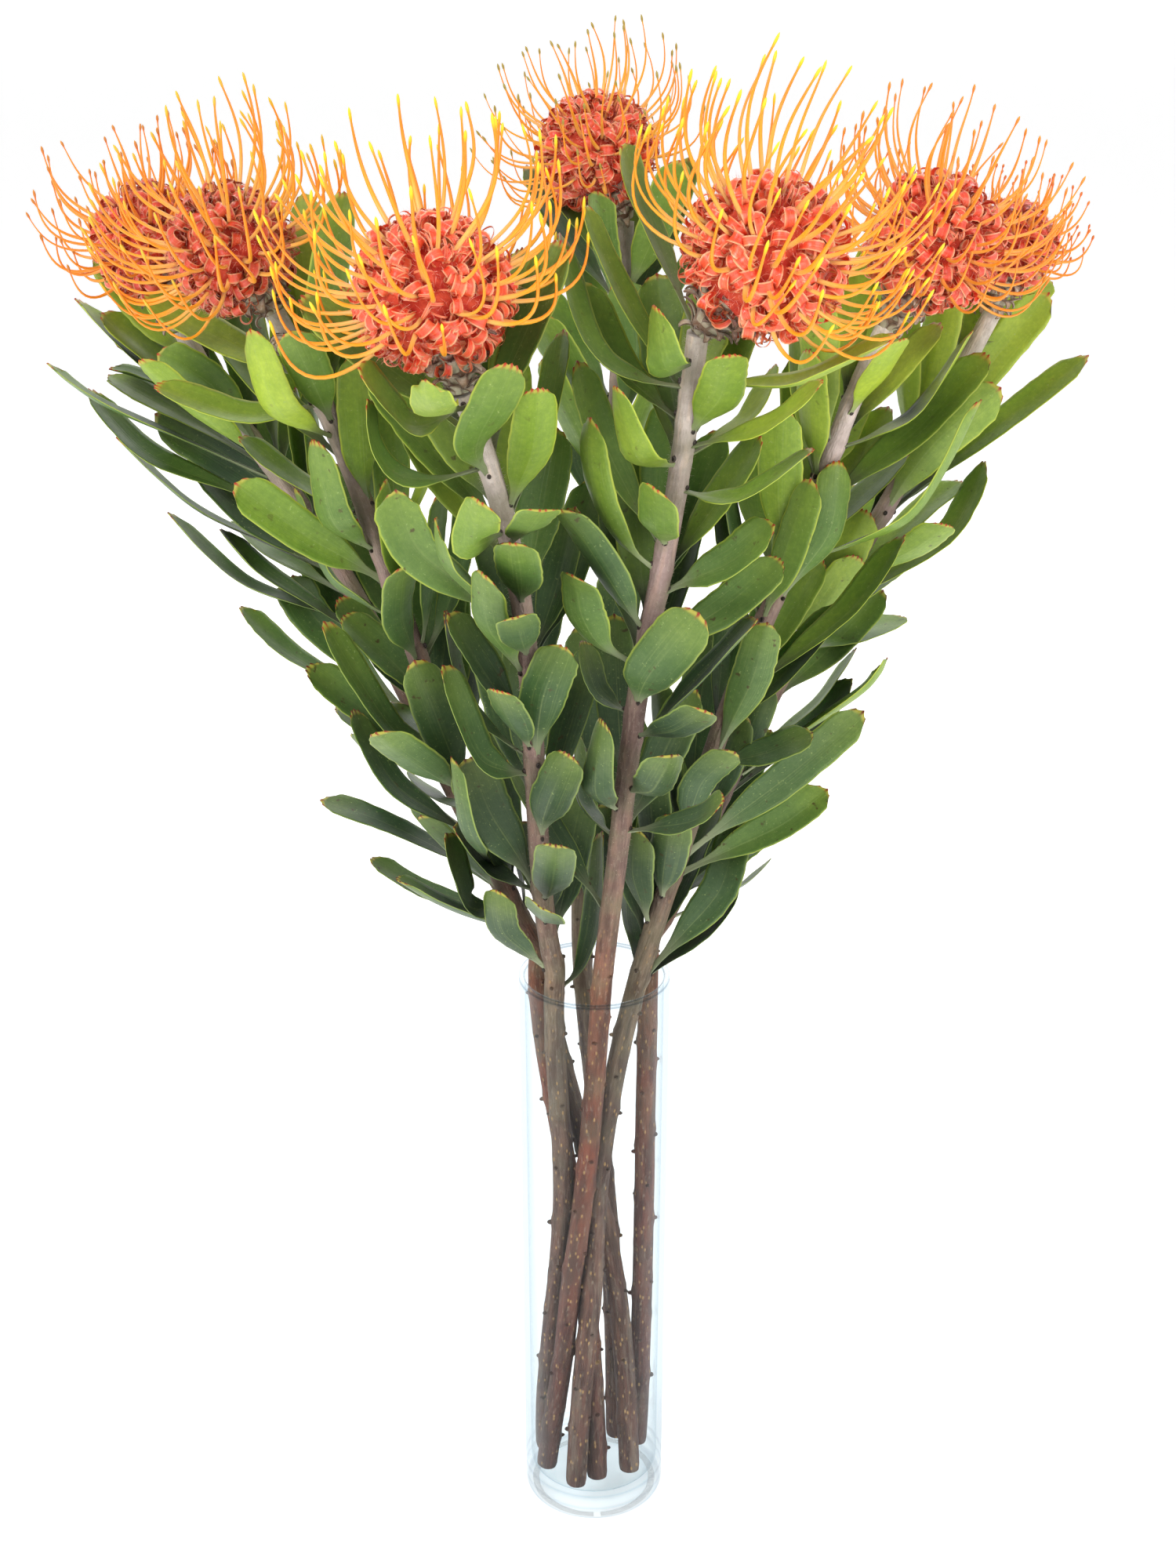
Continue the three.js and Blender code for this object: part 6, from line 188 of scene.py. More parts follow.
  [1000,1,0,17.4,[[-39.4,-96.9,544.9],[-36,-88.6,563],[-32.8,-80.6,581.3],[-30,-73.3,600],[-27.7,-66.7,618.9]],[-0.39,-0.81,0.44],[-0.41,-0.85,0.34]],
  [1001,4,0,19.5,[[-116.3,-27.2,562.5],[-133.3,-21.2,568.6],[-150.2,-15.3,575.5],[-166.7,-10,583.4],[-182.8,-5.1,592.5]],[0.13,-0.49,0.86],[0.28,-0.54,0.79]],
  [1002,1,0,20.4,[[-25.4,-57,429],[-23.2,-45.7,445.8],[-21.3,-36.5,463.7],[-19.8,-29.9,482.9],[-18.8,-26.2,502.8]],[-0.38,-0.74,0.55],[-0.43,-0.88,0.19]],
  [1003,6,0,17,[[99.6,12.4,525.4],[97.2,9.5,543.4],[94.8,6.8,561.5],[92.8,4.2,579.6],[91.2,1.8,597.8]],[0.46,0.86,0.2],[0.45,0.88,0.16]],
  [1004,6,0,18.2,[[43.7,-1.5,367.6],[44.9,9.9,384.4],[46.9,19.9,401.9],[49.8,28.3,420.1],[53.5,35,438.9]],[0.07,-0.83,0.56],[0.01,-0.94,0.34]],
  [1005,1,0,19.9,[[-35.3,-86.1,514.2],[-48.3,-80.2,528.2],[-61.2,-74.5,542.4],[-73.9,-69.2,557],[-86.3,-64.4,572]],[0.38,-0.68,0.63],[0.43,-0.7,0.58]],
  [1006,2,0,19.4,[[21.2,-65.7,473.2],[18.7,-59.3,488.5],[16.9,-53.9,504.3],[15.7,-50,520.5],[15.3,-47.4,537.1]],[0.27,-0.87,0.41],[0.26,-0.95,0.15]],
  [1007,1,0,20,[[-28.2,-75.1,484.2],[-24.6,-70,500.1],[-21.2,-65.3,516.1],[-18,-61.1,532.4],[-15.1,-57.6,548.8]],[-0.03,-0.95,0.31],[-0.02,-0.98,0.21]],
  [1008,2,0,20.3,[[32.3,-82.3,547],[29.8,-75.5,562.1],[27.4,-69,577.2],[25.3,-63.1,592.6],[23.4,-57.7,608.2]],[-0.06,-0.91,0.4],[-0.07,-0.94,0.32]],
  [1009,1,0,18.5,[[-25.5,-43.5,383.6],[-31.6,-33.7,400.5],[-37.6,-24.1,417.6],[-43.4,-15.2,435.1],[-49,-6.9,453]],[0.01,-0.86,0.51],[0.04,-0.9,0.43]],
  [1010,4,0,17.5,[[-108.7,-26,553.9],[-106,-18.4,567.7],[-104.3,-11.5,582],[-103.8,-5.7,596.8],[-104.4,-1,612]],[-0.7,-0.56,0.44],[-0.72,-0.67,0.18]],
  [1011,2,0,18.5,[[12.2,-47.2,393.8],[10.8,-39,410.1],[9.7,-31.6,426.7],[8.8,-25.3,443.9],[8.2,-20.3,461.4]],[-0.21,-0.88,0.43],[-0.24,-0.94,0.26]],
  [1012,6,0,17.1,[[106.5,17.1,543.8],[106.5,22,558.2],[107.2,26.5,572.7],[108.9,30.5,587.2],[111.4,34,601.8]],[0.57,-0.78,0.27],[0.44,-0.89,0.14]],
  [1013,2,0,19.4,[[12.1,-42.1,370.6],[20.1,-36.2,384.8],[27.8,-30.7,399.3],[35.1,-25.9,414.3],[41.9,-21.8,429.6]],[-0.28,-0.82,0.5],[-0.34,-0.86,0.38]],
  [1014,1,0,19.9,[[-42.2,-102.6,558.1],[-34.3,-99.2,574.4],[-26.5,-96,590.8],[-19.4,-93.2,607.6],[-12.8,-91,624.7]],[-0.64,-0.63,0.44],[-0.68,-0.65,0.35]],
  [1015,3,0,20.3,[[13.9,81.6,578.5],[20.4,79.2,592.9],[26.6,77.1,607.6],[32.3,75.4,622.5],[37.6,74.3,637.6]],[-0.39,0.86,0.32],[-0.41,0.89,0.21]],
  [1016,6,0,17.1,[[64.5,3.4,423.8],[74,10.8,434.8],[83.1,17.3,446.5],[91.6,23,459.2],[99.5,27.6,472.7]],[-0.19,-0.73,0.66],[-0.3,-0.83,0.46]],
  [1017,2,0,19.7,[[18.7,-58.5,441.2],[25,-54.9,458.8],[30.9,-51.8,476.7],[36.5,-49.5,494.7],[41.8,-48.1,513]],[-0.65,-0.66,0.37],[-0.7,-0.67,0.25]],
  [1018,4,0,17.2,[[-63,-13.3,402.1],[-62.4,-1.7,417.7],[-62.3,9.1,433.9],[-62.9,18.6,450.9],[-64.1,26.8,468.5]],[0.15,-0.8,0.59],[0.2,-0.88,0.42]],
  [1019,5,0,18.6,[[-135.6,22.6,513.4],[-133.8,35.1,529.2],[-133,47,545.5],[-133.7,57.8,562.5],[-135.8,67.6,580]],[-0.24,-0.75,0.62],[-0.18,-0.87,0.47]],
  [1020,5,0,18.5,[[-96.6,21.4,443.7],[-100.6,27.7,460.7],[-105.2,33.2,477.7],[-110.7,37.7,494.8],[-116.8,41.3,511.9]],[-0.28,-0.92,0.27],[-0.19,-0.97,0.13]],
  [1021,1,0,20,[[-23.3,-41.6,376.6],[-17.1,-32.4,393.2],[-11.1,-23.6,410],[-5.4,-15.7,427.4],[-0.1,-8.6,445.2]],[-0.59,-0.59,0.55],[-0.62,-0.65,0.44]],
  [1022,4,0,18.5,[[-113.3,-29.4,565.7],[-108.4,-36.1,583.7],[-103.7,-42.8,601.7],[-99.5,-49.3,620],[-95.8,-55.6,638.4]],[-0.5,0.76,0.42],[-0.5,0.78,0.37]],
  [1023,3,0,19.4,[[9.4,77.1,542.1],[3.7,87.1,558.1],[-1.9,97,574.1],[-7.3,106.7,590.4],[-12.4,116.2,606.8]],[0.66,-0.51,0.55],[0.67,-0.53,0.52]],
  [1024,2,0,20.1,[[26.2,-70.9,497.7],[27.3,-61.6,511.8],[28.6,-53.8,526.6],[30.2,-47.8,542.3],[32.2,-43.8,558.6]],[-0.1,-0.83,0.55],[-0.17,-0.95,0.26]],
  [1025,1,0,17.2,[[-27.8,-62.7,446.2],[-32.2,-62.6,463.8],[-36.3,-63,481.4],[-39.9,-64.2,499.1],[-43,-66.1,516.9]],[0.47,-0.87,0.13],[0.49,-0.87,-0.01]],
  [1026,7,0,18.7,[[141.2,56.7,512.6],[137.6,53.5,532],[134.7,50.7,551.6],[132.8,48.3,571.3],[131.9,46.4,591.2]],[0.73,0.64,0.24],[0.73,0.67,0.1]],
  [1027,6,0,20.1,[[29.5,-7.7,326.4],[27.8,-9.1,342.4],[26.2,-10.5,358.4],[24.9,-11.8,374.5],[23.7,-13,390.6]],[0.65,0.74,0.13],[0.64,0.76,0.1]],
  [1028,1,0,18.7,[[-36.5,-88.9,522.7],[-45.3,-83.1,536.3],[-53.5,-78.8,550.7],[-61.1,-76.3,565.9],[-67.8,-75.8,581.7]],[0.03,-0.91,0.41],[0.14,-0.99,0.09]],
  [1029,6,0,18.1,[[53.3,1.2,398.9],[54.8,10.7,414.4],[56.6,20,430.1],[58.6,28.9,445.9],[60.8,37.4,461.9]],[0.54,-0.74,0.4],[0.53,-0.78,0.34]],
  [1030,1,0,20.2,[[-46.8,-103.8,560.4],[-62.7,-99.8,570.4],[-78.3,-96.4,581.2],[-93.3,-93.7,592.8],[-107.9,-91.8,605.2]],[0.28,-0.66,0.7],[0.42,-0.68,0.6]],
  [1031,6,0,17.6,[[90.7,11.2,489.8],[100.7,21.3,499.9],[110.4,30.7,510.9],[119.7,39.2,522.9],[128.7,46.7,535.9]],[-0.29,-0.52,0.81],[-0.42,-0.63,0.65]],
  [1032,4,0,20.4,[[-74,-19.9,446.2],[-70.2,-22.6,463.8],[-66.9,-25.3,481.5],[-64.4,-27.8,499.4],[-62.7,-30.3,517.3]],[-0.86,0.43,0.26],[-0.86,0.49,0.15]],
  [1033,2,0,20.4,[[35.3,-85.8,562.8],[38.7,-77.6,575.3],[42,-70.4,588.4],[45.1,-64.7,602.3],[48,-60.6,616.8]],[-0.08,-0.82,0.56],[-0.14,-0.94,0.3]],
  [1034,3,0,19,[[9,74.9,531.4],[-0.1,87.3,541],[-8.5,99.4,551.6],[-16.1,110.7,563.6],[-22.8,121.4,576.7]],[0.3,-0.44,0.85],[0.4,-0.6,0.69]],
  [1035,5,0,19.6,[[-121.4,19.8,492.4],[-121.5,16.5,507.1],[-122.2,13.4,522],[-123.5,10.6,536.8],[-125.7,8.1,551.6]],[-0.95,0.31,0.06],[-0.94,0.33,-0.08]],
  [1036,2,0,18.8,[[25.7,-74.2,506.5],[15.2,-71.2,522.7],[6,-68.9,539.8],[-1.3,-67.8,557.9],[-6.9,-67.7,576.6]],[0.66,-0.53,0.53],[0.78,-0.58,0.23]],
  [1037,6,0,20.1,[[81.7,6.4,476.1],[79.4,4.2,493.1],[77.9,2.3,510.3],[77.3,0.9,527.5],[77.8,-0.1,544.8]],[0.53,0.83,0.18],[0.43,0.9,0.04]],
  [1038,4,0,19.3,[[-102.9,-24.5,528.9],[-117.4,-16.1,538.7],[-131.4,-8.6,549.8],[-144.6,-2.1,562.4],[-156.9,3.1,576.4]],[0.37,-0.36,0.86],[0.57,-0.46,0.68]],
  [1039,7,0,17.3,[[155.4,64.8,536.8],[160.2,73.7,551.6],[165,82.4,566.6],[170.2,90.8,581.6],[175.6,98.8,596.8]],[0.3,-0.86,0.42],[0.28,-0.89,0.37]],
  [1040,6,0,17.6,[[38.7,-5.7,356.1],[34.4,-8.4,374.7],[31,-10.8,393.5],[28.6,-12.7,412.6],[27.4,-14.2,431.8]],[0.71,0.65,0.26],[0.7,0.7,0.1]],
  [1041,4,0,20.2,[[-82.7,-19.1,468.7],[-85.7,-10.6,483.8],[-88.9,-2.4,499.2],[-92.2,5,514.9],[-95.7,11.7,530.8]],[-0.2,-0.87,0.45],[-0.18,-0.92,0.35]],
  [1042,5,0,20.1,[[-145.7,22.2,528.4],[-146.6,28.7,542.8],[-148.8,34.3,557.4],[-152.5,38.8,572],[-157.7,42.2,586.5]],[-0.64,-0.71,0.28],[-0.53,-0.85,0.01]],
  [1043,2,0,19.1,[[4.7,-33,329.9],[-6.4,-28,346.2],[-17.2,-23.2,362.7],[-27.4,-18.9,379.7],[-37,-15.2,397.3]],[0.71,-0.37,0.6],[0.77,-0.4,0.5]],
  [1044,2,0,19.2,[[24.6,-67.5,481.7],[31.2,-61,497.3],[37.7,-54.8,513],[44.1,-49,528.9],[50.4,-43.7,545.1]],[-0.51,-0.69,0.51],[-0.54,-0.71,0.44]],
  [1045,3,0,18.8,[[13.8,82,567.2],[22,90.5,583.5],[29.7,98.8,600.2],[36.7,106.6,617.4],[42.9,114.1,635.1]],[-0.47,-0.66,0.58],[-0.49,-0.72,0.48]],
  [1046,2,0,18.8,[[34.3,-82.4,546.8],[41.9,-74.3,560.4],[48.9,-68,575.2],[55.1,-63.8,591.1],[60.1,-61.7,607.8]],[-0.27,-0.76,0.6],[-0.42,-0.88,0.23]],
  [1047,6,0,17.8,[[104.7,16.9,532.7],[110.1,33,543.2],[116,48.1,555],[122.2,61.6,568.4],[128.7,73.3,583.2]],[-0.02,-0.54,0.84],[-0.12,-0.75,0.65]],
  [1048,1,0,18.2,[[-33.6,-86.2,516.4],[-33.2,-75.6,531.3],[-33,-65.8,546.6],[-33.1,-57.2,562.7],[-33.5,-49.8,579.5]],[-0.13,-0.81,0.58],[-0.13,-0.91,0.4]],
  [1049,3,0,19.9,[[10.1,83.7,576.3],[-1,92.4,589.1],[-11.6,100.9,602.5],[-21.5,109.2,616.5],[-30.5,117.2,631.3]],[0.46,-0.5,0.73],[0.52,-0.58,0.63]],
  [1050,3,0,18.4,[[6.8,63.5,492.6],[-0.9,60,508.1],[-8.5,56.8,523.8],[-15.6,53.8,539.7],[-22.2,51.3,555.9]],[0.57,0.7,0.44],[0.6,0.72,0.36]],
  [1051,1,0,20.1,[[-25.7,-65.5,455],[-18,-55.7,470.6],[-10.9,-47.2,487.2],[-4.7,-40.4,504.9],[0.7,-35.4,523.5]],[-0.36,-0.7,0.61],[-0.46,-0.81,0.35]],
  [1052,5,0,17.7,[[-167.7,21.9,558.3],[-179.1,27.5,568.5],[-190.1,32.4,579.4],[-200.7,36.4,591.1],[-210.7,39.5,603.6]],[0.13,-0.8,0.59],[0.28,-0.85,0.44]],
  [1053,1,0,17.4,[[-43.7,-99.6,550.8],[-56.9,-92.7,563.5],[-69.8,-86.6,576.9],[-82.3,-81.7,591.2],[-94.2,-78.1,606.3]],[0.45,-0.5,0.74],[0.58,-0.57,0.59]],
  [1054,1,0,19.8,[[-33,-81.3,500.8],[-44.1,-75.1,513.8],[-54.8,-69.9,527.7],[-64.7,-66.1,542.5],[-73.7,-63.6,558.2]],[0.37,-0.68,0.64],[0.53,-0.74,0.42]],
  [1055,1,0,17.8,[[-25.6,-66.2,456.7],[-20.1,-62,471],[-15.2,-58.8,485.8],[-11.2,-56.8,501.1],[-8,-56.2,516.7]],[-0.66,-0.61,0.43],[-0.75,-0.63,0.18]],
  [1056,1,0,19.8,[[-27.8,-55.7,419.8],[-36.1,-56.3,433],[-44.3,-57,446.3],[-52,-57.9,459.8],[-59.3,-59.1,473.5]],[0.79,-0.38,0.48],[0.83,-0.37,0.41]],
  [1057,1,0,19.6,[[-25,-43.9,385.4],[-26.7,-38.2,402.5],[-28.4,-33.2,419.8],[-30.1,-29.1,437.4],[-31.6,-26,455.2]],[-0.13,-0.94,0.3],[-0.13,-0.98,0.16]],
  [1058,2,0,18,[[33.2,-88.3,568.1],[22.1,-86,584.1],[11.9,-84.3,600.8],[3,-83.4,618.3],[-4.4,-83.3,636.5]],[0.71,-0.44,0.56],[0.82,-0.45,0.34]],
  [1059,2,0,18.7,[[31.5,-80.2,538.2],[29.2,-70.5,552.1],[27.1,-61.5,566.6],[25.4,-53.6,581.6],[24.1,-46.7,597.3]],[0.37,-0.73,0.57],[0.39,-0.83,0.4]],
  [1060,2,0,19.3,[[28.1,-71.7,495.3],[37.6,-70.5,508],[46.8,-69.6,520.9],[55.5,-69,534.3],[63.7,-68.9,547.9]],[-0.71,-0.42,0.57],[-0.78,-0.42,0.47]],
  [1061,2,0,18.8,[[18.1,-61.9,455.6],[13.5,-55,473.8],[9.8,-49.6,492.6],[7.2,-45.9,512],[5.9,-44,531.8]],[0.37,-0.83,0.41],[0.4,-0.91,0.12]],
  [1062,2,0,17.5,[[17.4,-55.1,417.8],[30,-57.2,431],[42.1,-59.4,444.4],[53.7,-61.8,458.4],[64.7,-64.4,472.8]],[-0.73,-0.11,0.68],[-0.8,-0.09,0.59]],
  [1063,3,0,17.8,[[12.6,86.9,584.9],[13.6,100,597.3],[14.6,112.6,610.2],[15.6,124.4,623.9],[16.6,135.2,638.3]],[-0.18,-0.67,0.72],[-0.19,-0.78,0.6]],
  [1064,3,0,18.6,[[13.4,78.8,552.9],[25.3,87.4,565.1],[36.5,95.8,578.1],[46.8,103.9,591.9],[56.2,111.6,606.7]],[-0.6,-0.25,0.76],[-0.7,-0.34,0.62]],
  [1065,3,0,17.4,[[12.3,71.8,520.6],[22.6,78.3,533.5],[32.3,84.6,546.9],[41,90.7,561.1],[48.8,96.6,575.8]],[-0.72,-0.18,0.67],[-0.81,-0.25,0.53]],
  [1066,3,0,18.3,[[8.1,64.2,477.4],[10.1,76.7,488.1],[12,88.7,499.3],[13.9,100,511.2],[15.7,110.6,523.8]],[-0.01,-0.65,0.76],[-0.03,-0.76,0.65]],
  [1067,3,0,17.1,[[7.2,56.6,445.3],[17.3,65.8,455.2],[27,74.8,465.7],[36.1,83.4,476.9],[44.6,91.6,488.9]],[-0.39,-0.45,0.81],[-0.46,-0.54,0.7]],
  [1068,4,0,19.3,[[-115.9,-26.2,566.7],[-121.5,-16.4,580],[-127.3,-7.5,593.8],[-133.5,0.2,608.1],[-139.9,6.7,622.9]],[0.26,-0.72,0.64],[0.33,-0.8,0.5]],
  [1069,4,0,17.9,[[-98.6,-24.2,526.5],[-96.8,-18.4,543.1],[-95.6,-13.1,559.9],[-95.2,-8.5,576.9],[-95.6,-4.7,594.1]],[-0.45,-0.83,0.34],[-0.41,-0.89,0.19]],
  [1070,4,0,17.9,[[-85.5,-20.4,481.1],[-84.6,-11.8,497.2],[-84.5,-4.4,513.8],[-85.4,1.5,531],[-87.3,5.8,548.6]],[-0.33,-0.83,0.46],[-0.29,-0.94,0.2]],
  [1071,4,0,20.5,[[-77.1,-17.2,445.6],[-83.5,-8.6,456.8],[-89.9,-0.9,468.6],[-96.1,5.6,481.3],[-102.1,10.9,494.6]],[0.07,-0.77,0.64],[0.18,-0.89,0.43]],
  [1072,4,0,18,[[-59.4,-12.6,391.7],[-56.6,-4,405.3],[-53.9,4.4,419],[-51.7,12.3,433.1],[-49.8,19.8,447.5]],[-0.63,-0.59,0.5],[-0.65,-0.64,0.41]],
  [1073,5,0,20.3,[[-162.5,22.5,553.2],[-168.4,31.1,569.3],[-174.8,38.8,585.7],[-181.7,45.2,602.5],[-189.1,50.3,619.4]],[-0.28,-0.89,0.37],[-0.22,-0.95,0.19]],
  [1074,5,0,19.7,[[-136.3,22.1,515.2],[-138.1,27.8,532.5],[-140.4,33.2,549.9],[-143.3,38.3,567.3],[-146.8,43,584.7]],[-0.79,-0.61,0.12],[-0.77,-0.64,0.02]],
  [1075,5,0,19.2,[[-117.9,23,481.8],[-126.4,31.7,495.9],[-135,40,510.3],[-143.7,47.6,524.9],[-152.5,54.4,539.9]],[0.18,-0.78,0.59],[0.24,-0.82,0.52]],
  [1076,5,0,18.7,[[-99.7,21.9,446.2],[-107.4,36.5,457.1],[-115.4,50.4,468.8],[-123.7,63.1,481.6],[-132.2,74.6,495.2]],[-0.3,-0.67,0.68],[-0.21,-0.81,0.55]],
  [1077,5,0,20.1,[[-83,20.2,413.7],[-85.5,29.4,427.3],[-88.6,37.7,441.3],[-92.4,44.9,455.7],[-96.9,50.9,470.5]],[-0.33,-0.81,0.49],[-0.26,-0.92,0.29]],
  [1078,6,0,19.1,[[111.2,19.2,551.6],[112.9,34.4,563],[115.4,48.6,575.6],[118.8,61.3,589.5],[123,72.3,604.5]],[0.44,-0.57,0.69],[0.39,-0.79,0.47]],
  [1079,6,0,18.1,[[97.1,14,510.5],[102.3,26.3,518.4],[107.7,37.7,527.4],[113.2,47.7,537.9],[118.7,56.3,549.5]],[0.17,-0.58,0.8],[0.05,-0.81,0.58]],
  [1080,6,0,19,[[87.3,9.5,479.5],[100.1,18.7,487.7],[112.8,27.7,496.4],[125.3,36.3,505.8],[137.5,44.6,515.9]],[-0.37,-0.28,0.89],[-0.45,-0.34,0.82]],
  [1081,6,0,18.8,[[71.9,5.5,452.4],[65.2,11.4,468.6],[60,17,485.4],[56.7,22.2,502.8],[55.3,26.9,520.7]],[0.87,-0.23,0.44],[0.93,-0.32,0.16]],
  [1082,6,0,18.6,[[61.8,3.4,419],[68.3,14.1,428.8],[74.8,24.5,439.1],[81.3,34.2,450],[87.8,43.3,461.4]],[-0.24,-0.58,0.78],[-0.3,-0.66,0.69]],
  [1083,7,0,18.8,[[162.1,66.5,551.7],[160.3,72.2,566.4],[158.9,78,581.3],[158,83.6,596.2],[157.7,89,611.1]],[0.84,-0.47,0.28],[0.84,-0.5,0.2]],
  [1084,7,0,20.5,[[147.5,61.5,518.7],[155,76.9,526],[162.6,92.1,533.8],[170.5,106.6,542.4],[178.6,120.6,551.8]],[0.13,-0.47,0.87],[0.07,-0.58,0.81]],
  [1085,7,0,17.2,[[130.4,54,485.4],[143.5,61.8,493.7],[156.4,69.3,502.7],[168.9,76.3,512.5],[181.1,82.8,523.2]],[-0.43,-0.21,0.88],[-0.55,-0.28,0.79]],
  [1086,7,0,19.7,[[109.8,48.4,455.6],[113.2,62.2,462.5],[117.1,75.7,470.1],[121.5,88.4,478.4],[126.4,100.3,487.6]],[0.18,-0.47,0.86],[0.12,-0.63,0.77]],
  [1087,7,0,20.2,[[89.4,40.7,426],[86.6,51,442.4],[84.5,61,459],[83.5,70.7,476],[83.6,79.9,493.2]],[0.69,-0.55,0.47],[0.69,-0.64,0.34]],
  [2000,7,0,19.8,[[87.5,35.6,419.6],[94.6,33.6,433],[101.7,32,446.3],[109,30.8,459.7],[116.2,30.1,473.1]],[-0.14,0.97,0.21],[-0.2,0.97,0.16]],
  [2001,6,0,19.3,[[58,0.5,403.2],[71.8,6.2,414.3],[85.1,11.6,426.3],[97.6,16.5,439.3],[109.1,21,453.3]],[-0.45,-0.43,0.78],[-0.58,-0.5,0.64]],
  [2002,1,0,19.2,[[-29.2,-79.8,484.4],[-29.3,-91.2,492],[-29.6,-101.9,500.3],[-30.1,-111.9,509.6],[-30.8,-120.9,519.7]],[0.2,0.54,0.82],[0.24,0.71,0.66]],
  [2003,1,0,18.4,[[-18.8,-21.9,309.8],[-14.7,-16.3,325.9],[-10.7,-11,342],[-7,-6,358.3],[-3.5,-1.6,374.9]],[-0.07,-0.94,0.34],[-0.07,-0.96,0.27]],
  [2004,4,0,17.6,[[-106.3,-29.3,544.7],[-108.6,-39.1,555.2],[-111,-48.7,565.9],[-113.6,-57.9,576.8],[-116.4,-66.7,588]],[-0.11,0.74,0.67],[-0.09,0.8,0.6]],
  [2005,7,0,19,[[81,36.4,403.9],[94.8,46.7,412.3],[108.4,56.4,421.8],[121.5,65.3,432.6],[134.1,73.4,444.6]],[-0.01,-0.63,0.78],[-0.14,-0.74,0.65]],
  [2006,4,0,19.7,[[-55.8,-15.7,377],[-60.1,-23.9,394.3],[-64.7,-31.2,411.9],[-69.6,-37.4,429.8],[-74.8,-42.5,448.1]],[-0.44,0.85,0.29],[-0.41,0.9,0.14]],
  [2007,7,0,19.1,[[96.8,39.8,437],[102.1,38.4,450.9],[107.7,37.6,464.7],[113.7,37.4,478.4],[120.1,37.8,491.9]],[0.29,0.96,-0.02],[0.18,0.98,-0.12]],
  [2008,4,0,16.9,[[-95.9,-23.8,504.5],[-109.4,-21.7,510.8],[-122.4,-19.9,518.1],[-134.7,-18.5,526.7],[-146,-17.3,536.5]],[0.4,-0.12,0.91],[0.64,-0.14,0.76]],
  [2009,5,0,16.9,[[-42.2,8.3,320.7],[-50.9,3,331.8],[-59.5,-2.1,342.9],[-68.1,-6.6,354.4],[-76.6,-10.7,366]],[0.47,0.6,0.66],[0.52,0.61,0.59]],
  [2010,4,0,19.1,[[-58.1,-15.9,380.1],[-65.9,-29.6,390.8],[-73.6,-43,401.8],[-81.4,-55.8,413.5],[-89.1,-68.1,425.8]],[-0.2,0.67,0.72],[-0.15,0.75,0.65]],
  [2011,3,0,17.1,[[-3.8,34.2,329],[2.9,44.8,342],[9.3,55.1,355.4],[15.3,64.9,369.3],[20.9,74.1,383.9]],[-0.39,-0.61,0.69],[-0.43,-0.68,0.6]],
  [2012,6,0,20.9,[[25.4,-6.4,298.8],[33.9,-1.3,315.4],[42.1,3.4,332.4],[49.8,7.4,349.7],[57,10.9,367.4]],[-0.65,-0.56,0.51],[-0.7,-0.58,0.41]],
  [2013,1,0,19.5,[[-22,-34.7,336.7],[-19.7,-49.7,346],[-17.9,-63.6,357],[-16.6,-75.9,369.8],[-16,-86.5,384]],[0.06,0.54,0.84],[0.06,0.8,0.59]],
  [2014,1,0,20.2,[[-39.1,-94.8,539.7],[-41.3,-87.8,551.3],[-43.6,-81.7,563.4],[-46.2,-77.1,576.1],[-48.9,-73.8,589.1]],[0.27,-0.8,0.54],[0.38,-0.87,0.3]],
  [2015,4,0,18.3,[[-69,-14.9,413.6],[-79.7,-8.4,424.8],[-90.3,-1.9,436.2],[-100.7,4.1,447.9],[-110.9,9.9,459.9]],[0.39,-0.58,0.71],[0.44,-0.61,0.66]],
  [2016,7,0,19,[[141.1,56.9,512.6],[144.2,57.6,532.4],[147.5,58.4,552],[151.2,59.4,571.6],[155.4,60.5,591.1]],[0.55,0.82,-0.11],[0.52,0.84,-0.16]],
  [2017,5,0,18.9,[[-31.8,9.6,308.4],[-33.1,14.1,327.6],[-35,18.5,346.8],[-37.9,22.7,366],[-41.7,26.7,385]],[-0.92,-0.39,0.03],[-0.9,-0.43,-0.09]],
  [2018,1,0,19.8,[[-21.6,-31.2,324.3],[-21.6,-44.5,330.3],[-21.8,-57.5,337.1],[-22.1,-69.9,345],[-22.4,-81.5,353.9]],[0.27,0.4,0.88],[0.28,0.57,0.77]],
  [2019,4,0,20.1,[[-67.9,-15,419.7],[-66.5,-6.4,430.2],[-65.2,2,440.9],[-64.3,9.8,452.1],[-63.7,17.1,463.6]],[-0.22,-0.74,0.64],[-0.21,-0.82,0.53]],
  [2020,7,0,19.4,[[168.1,68.8,556.4],[178,82.9,560.8],[188,96.5,566.3],[198.2,109.3,573.3],[208.4,121.2,581.6]],[0.12,-0.37,0.92],[-0.03,-0.56,0.83]],
  [2021,7,0,17.2,[[52.9,20.7,352.6],[55.5,16.3,366],[58.6,12.8,379.5],[62.2,10.3,393.2],[66.3,8.9,406.8]],[0.66,0.74,0.12],[0.64,0.76,-0.12]],
  [2022,5,0,20.6,[[-158.8,20.9,541.1],[-171.7,21.9,549.9],[-184.2,22.8,559.4],[-196.1,23.5,569.5],[-207.4,24,580.3]],[0.53,-0.28,0.8],[0.65,-0.3,0.7]],
  [2023,3,0,17.5,[[-3.6,35.9,362.2],[-4.8,32.4,381.8],[-5.8,29.7,401.6],[-6.3,27.9,421.4],[-6.3,27.1,441.4]],[0.12,0.98,0.18],[0.11,0.99,0.04]],
  [2024,4,0,16.9,[[-98.3,-23.1,520.9],[-101,-11.3,533.7],[-103.9,0.2,546.7],[-107,11.3,560.2],[-110.2,21.7,574]],[-0.27,-0.73,0.62],[-0.26,-0.8,0.54]],
  [2025,3,0,17.5,[[10.7,64.5,497.9],[15.8,63.1,510.8],[20.7,61.9,523.8],[25.5,60.9,536.9],[30,60,550.1]],[-0.7,0.63,0.34],[-0.72,0.63,0.29]],
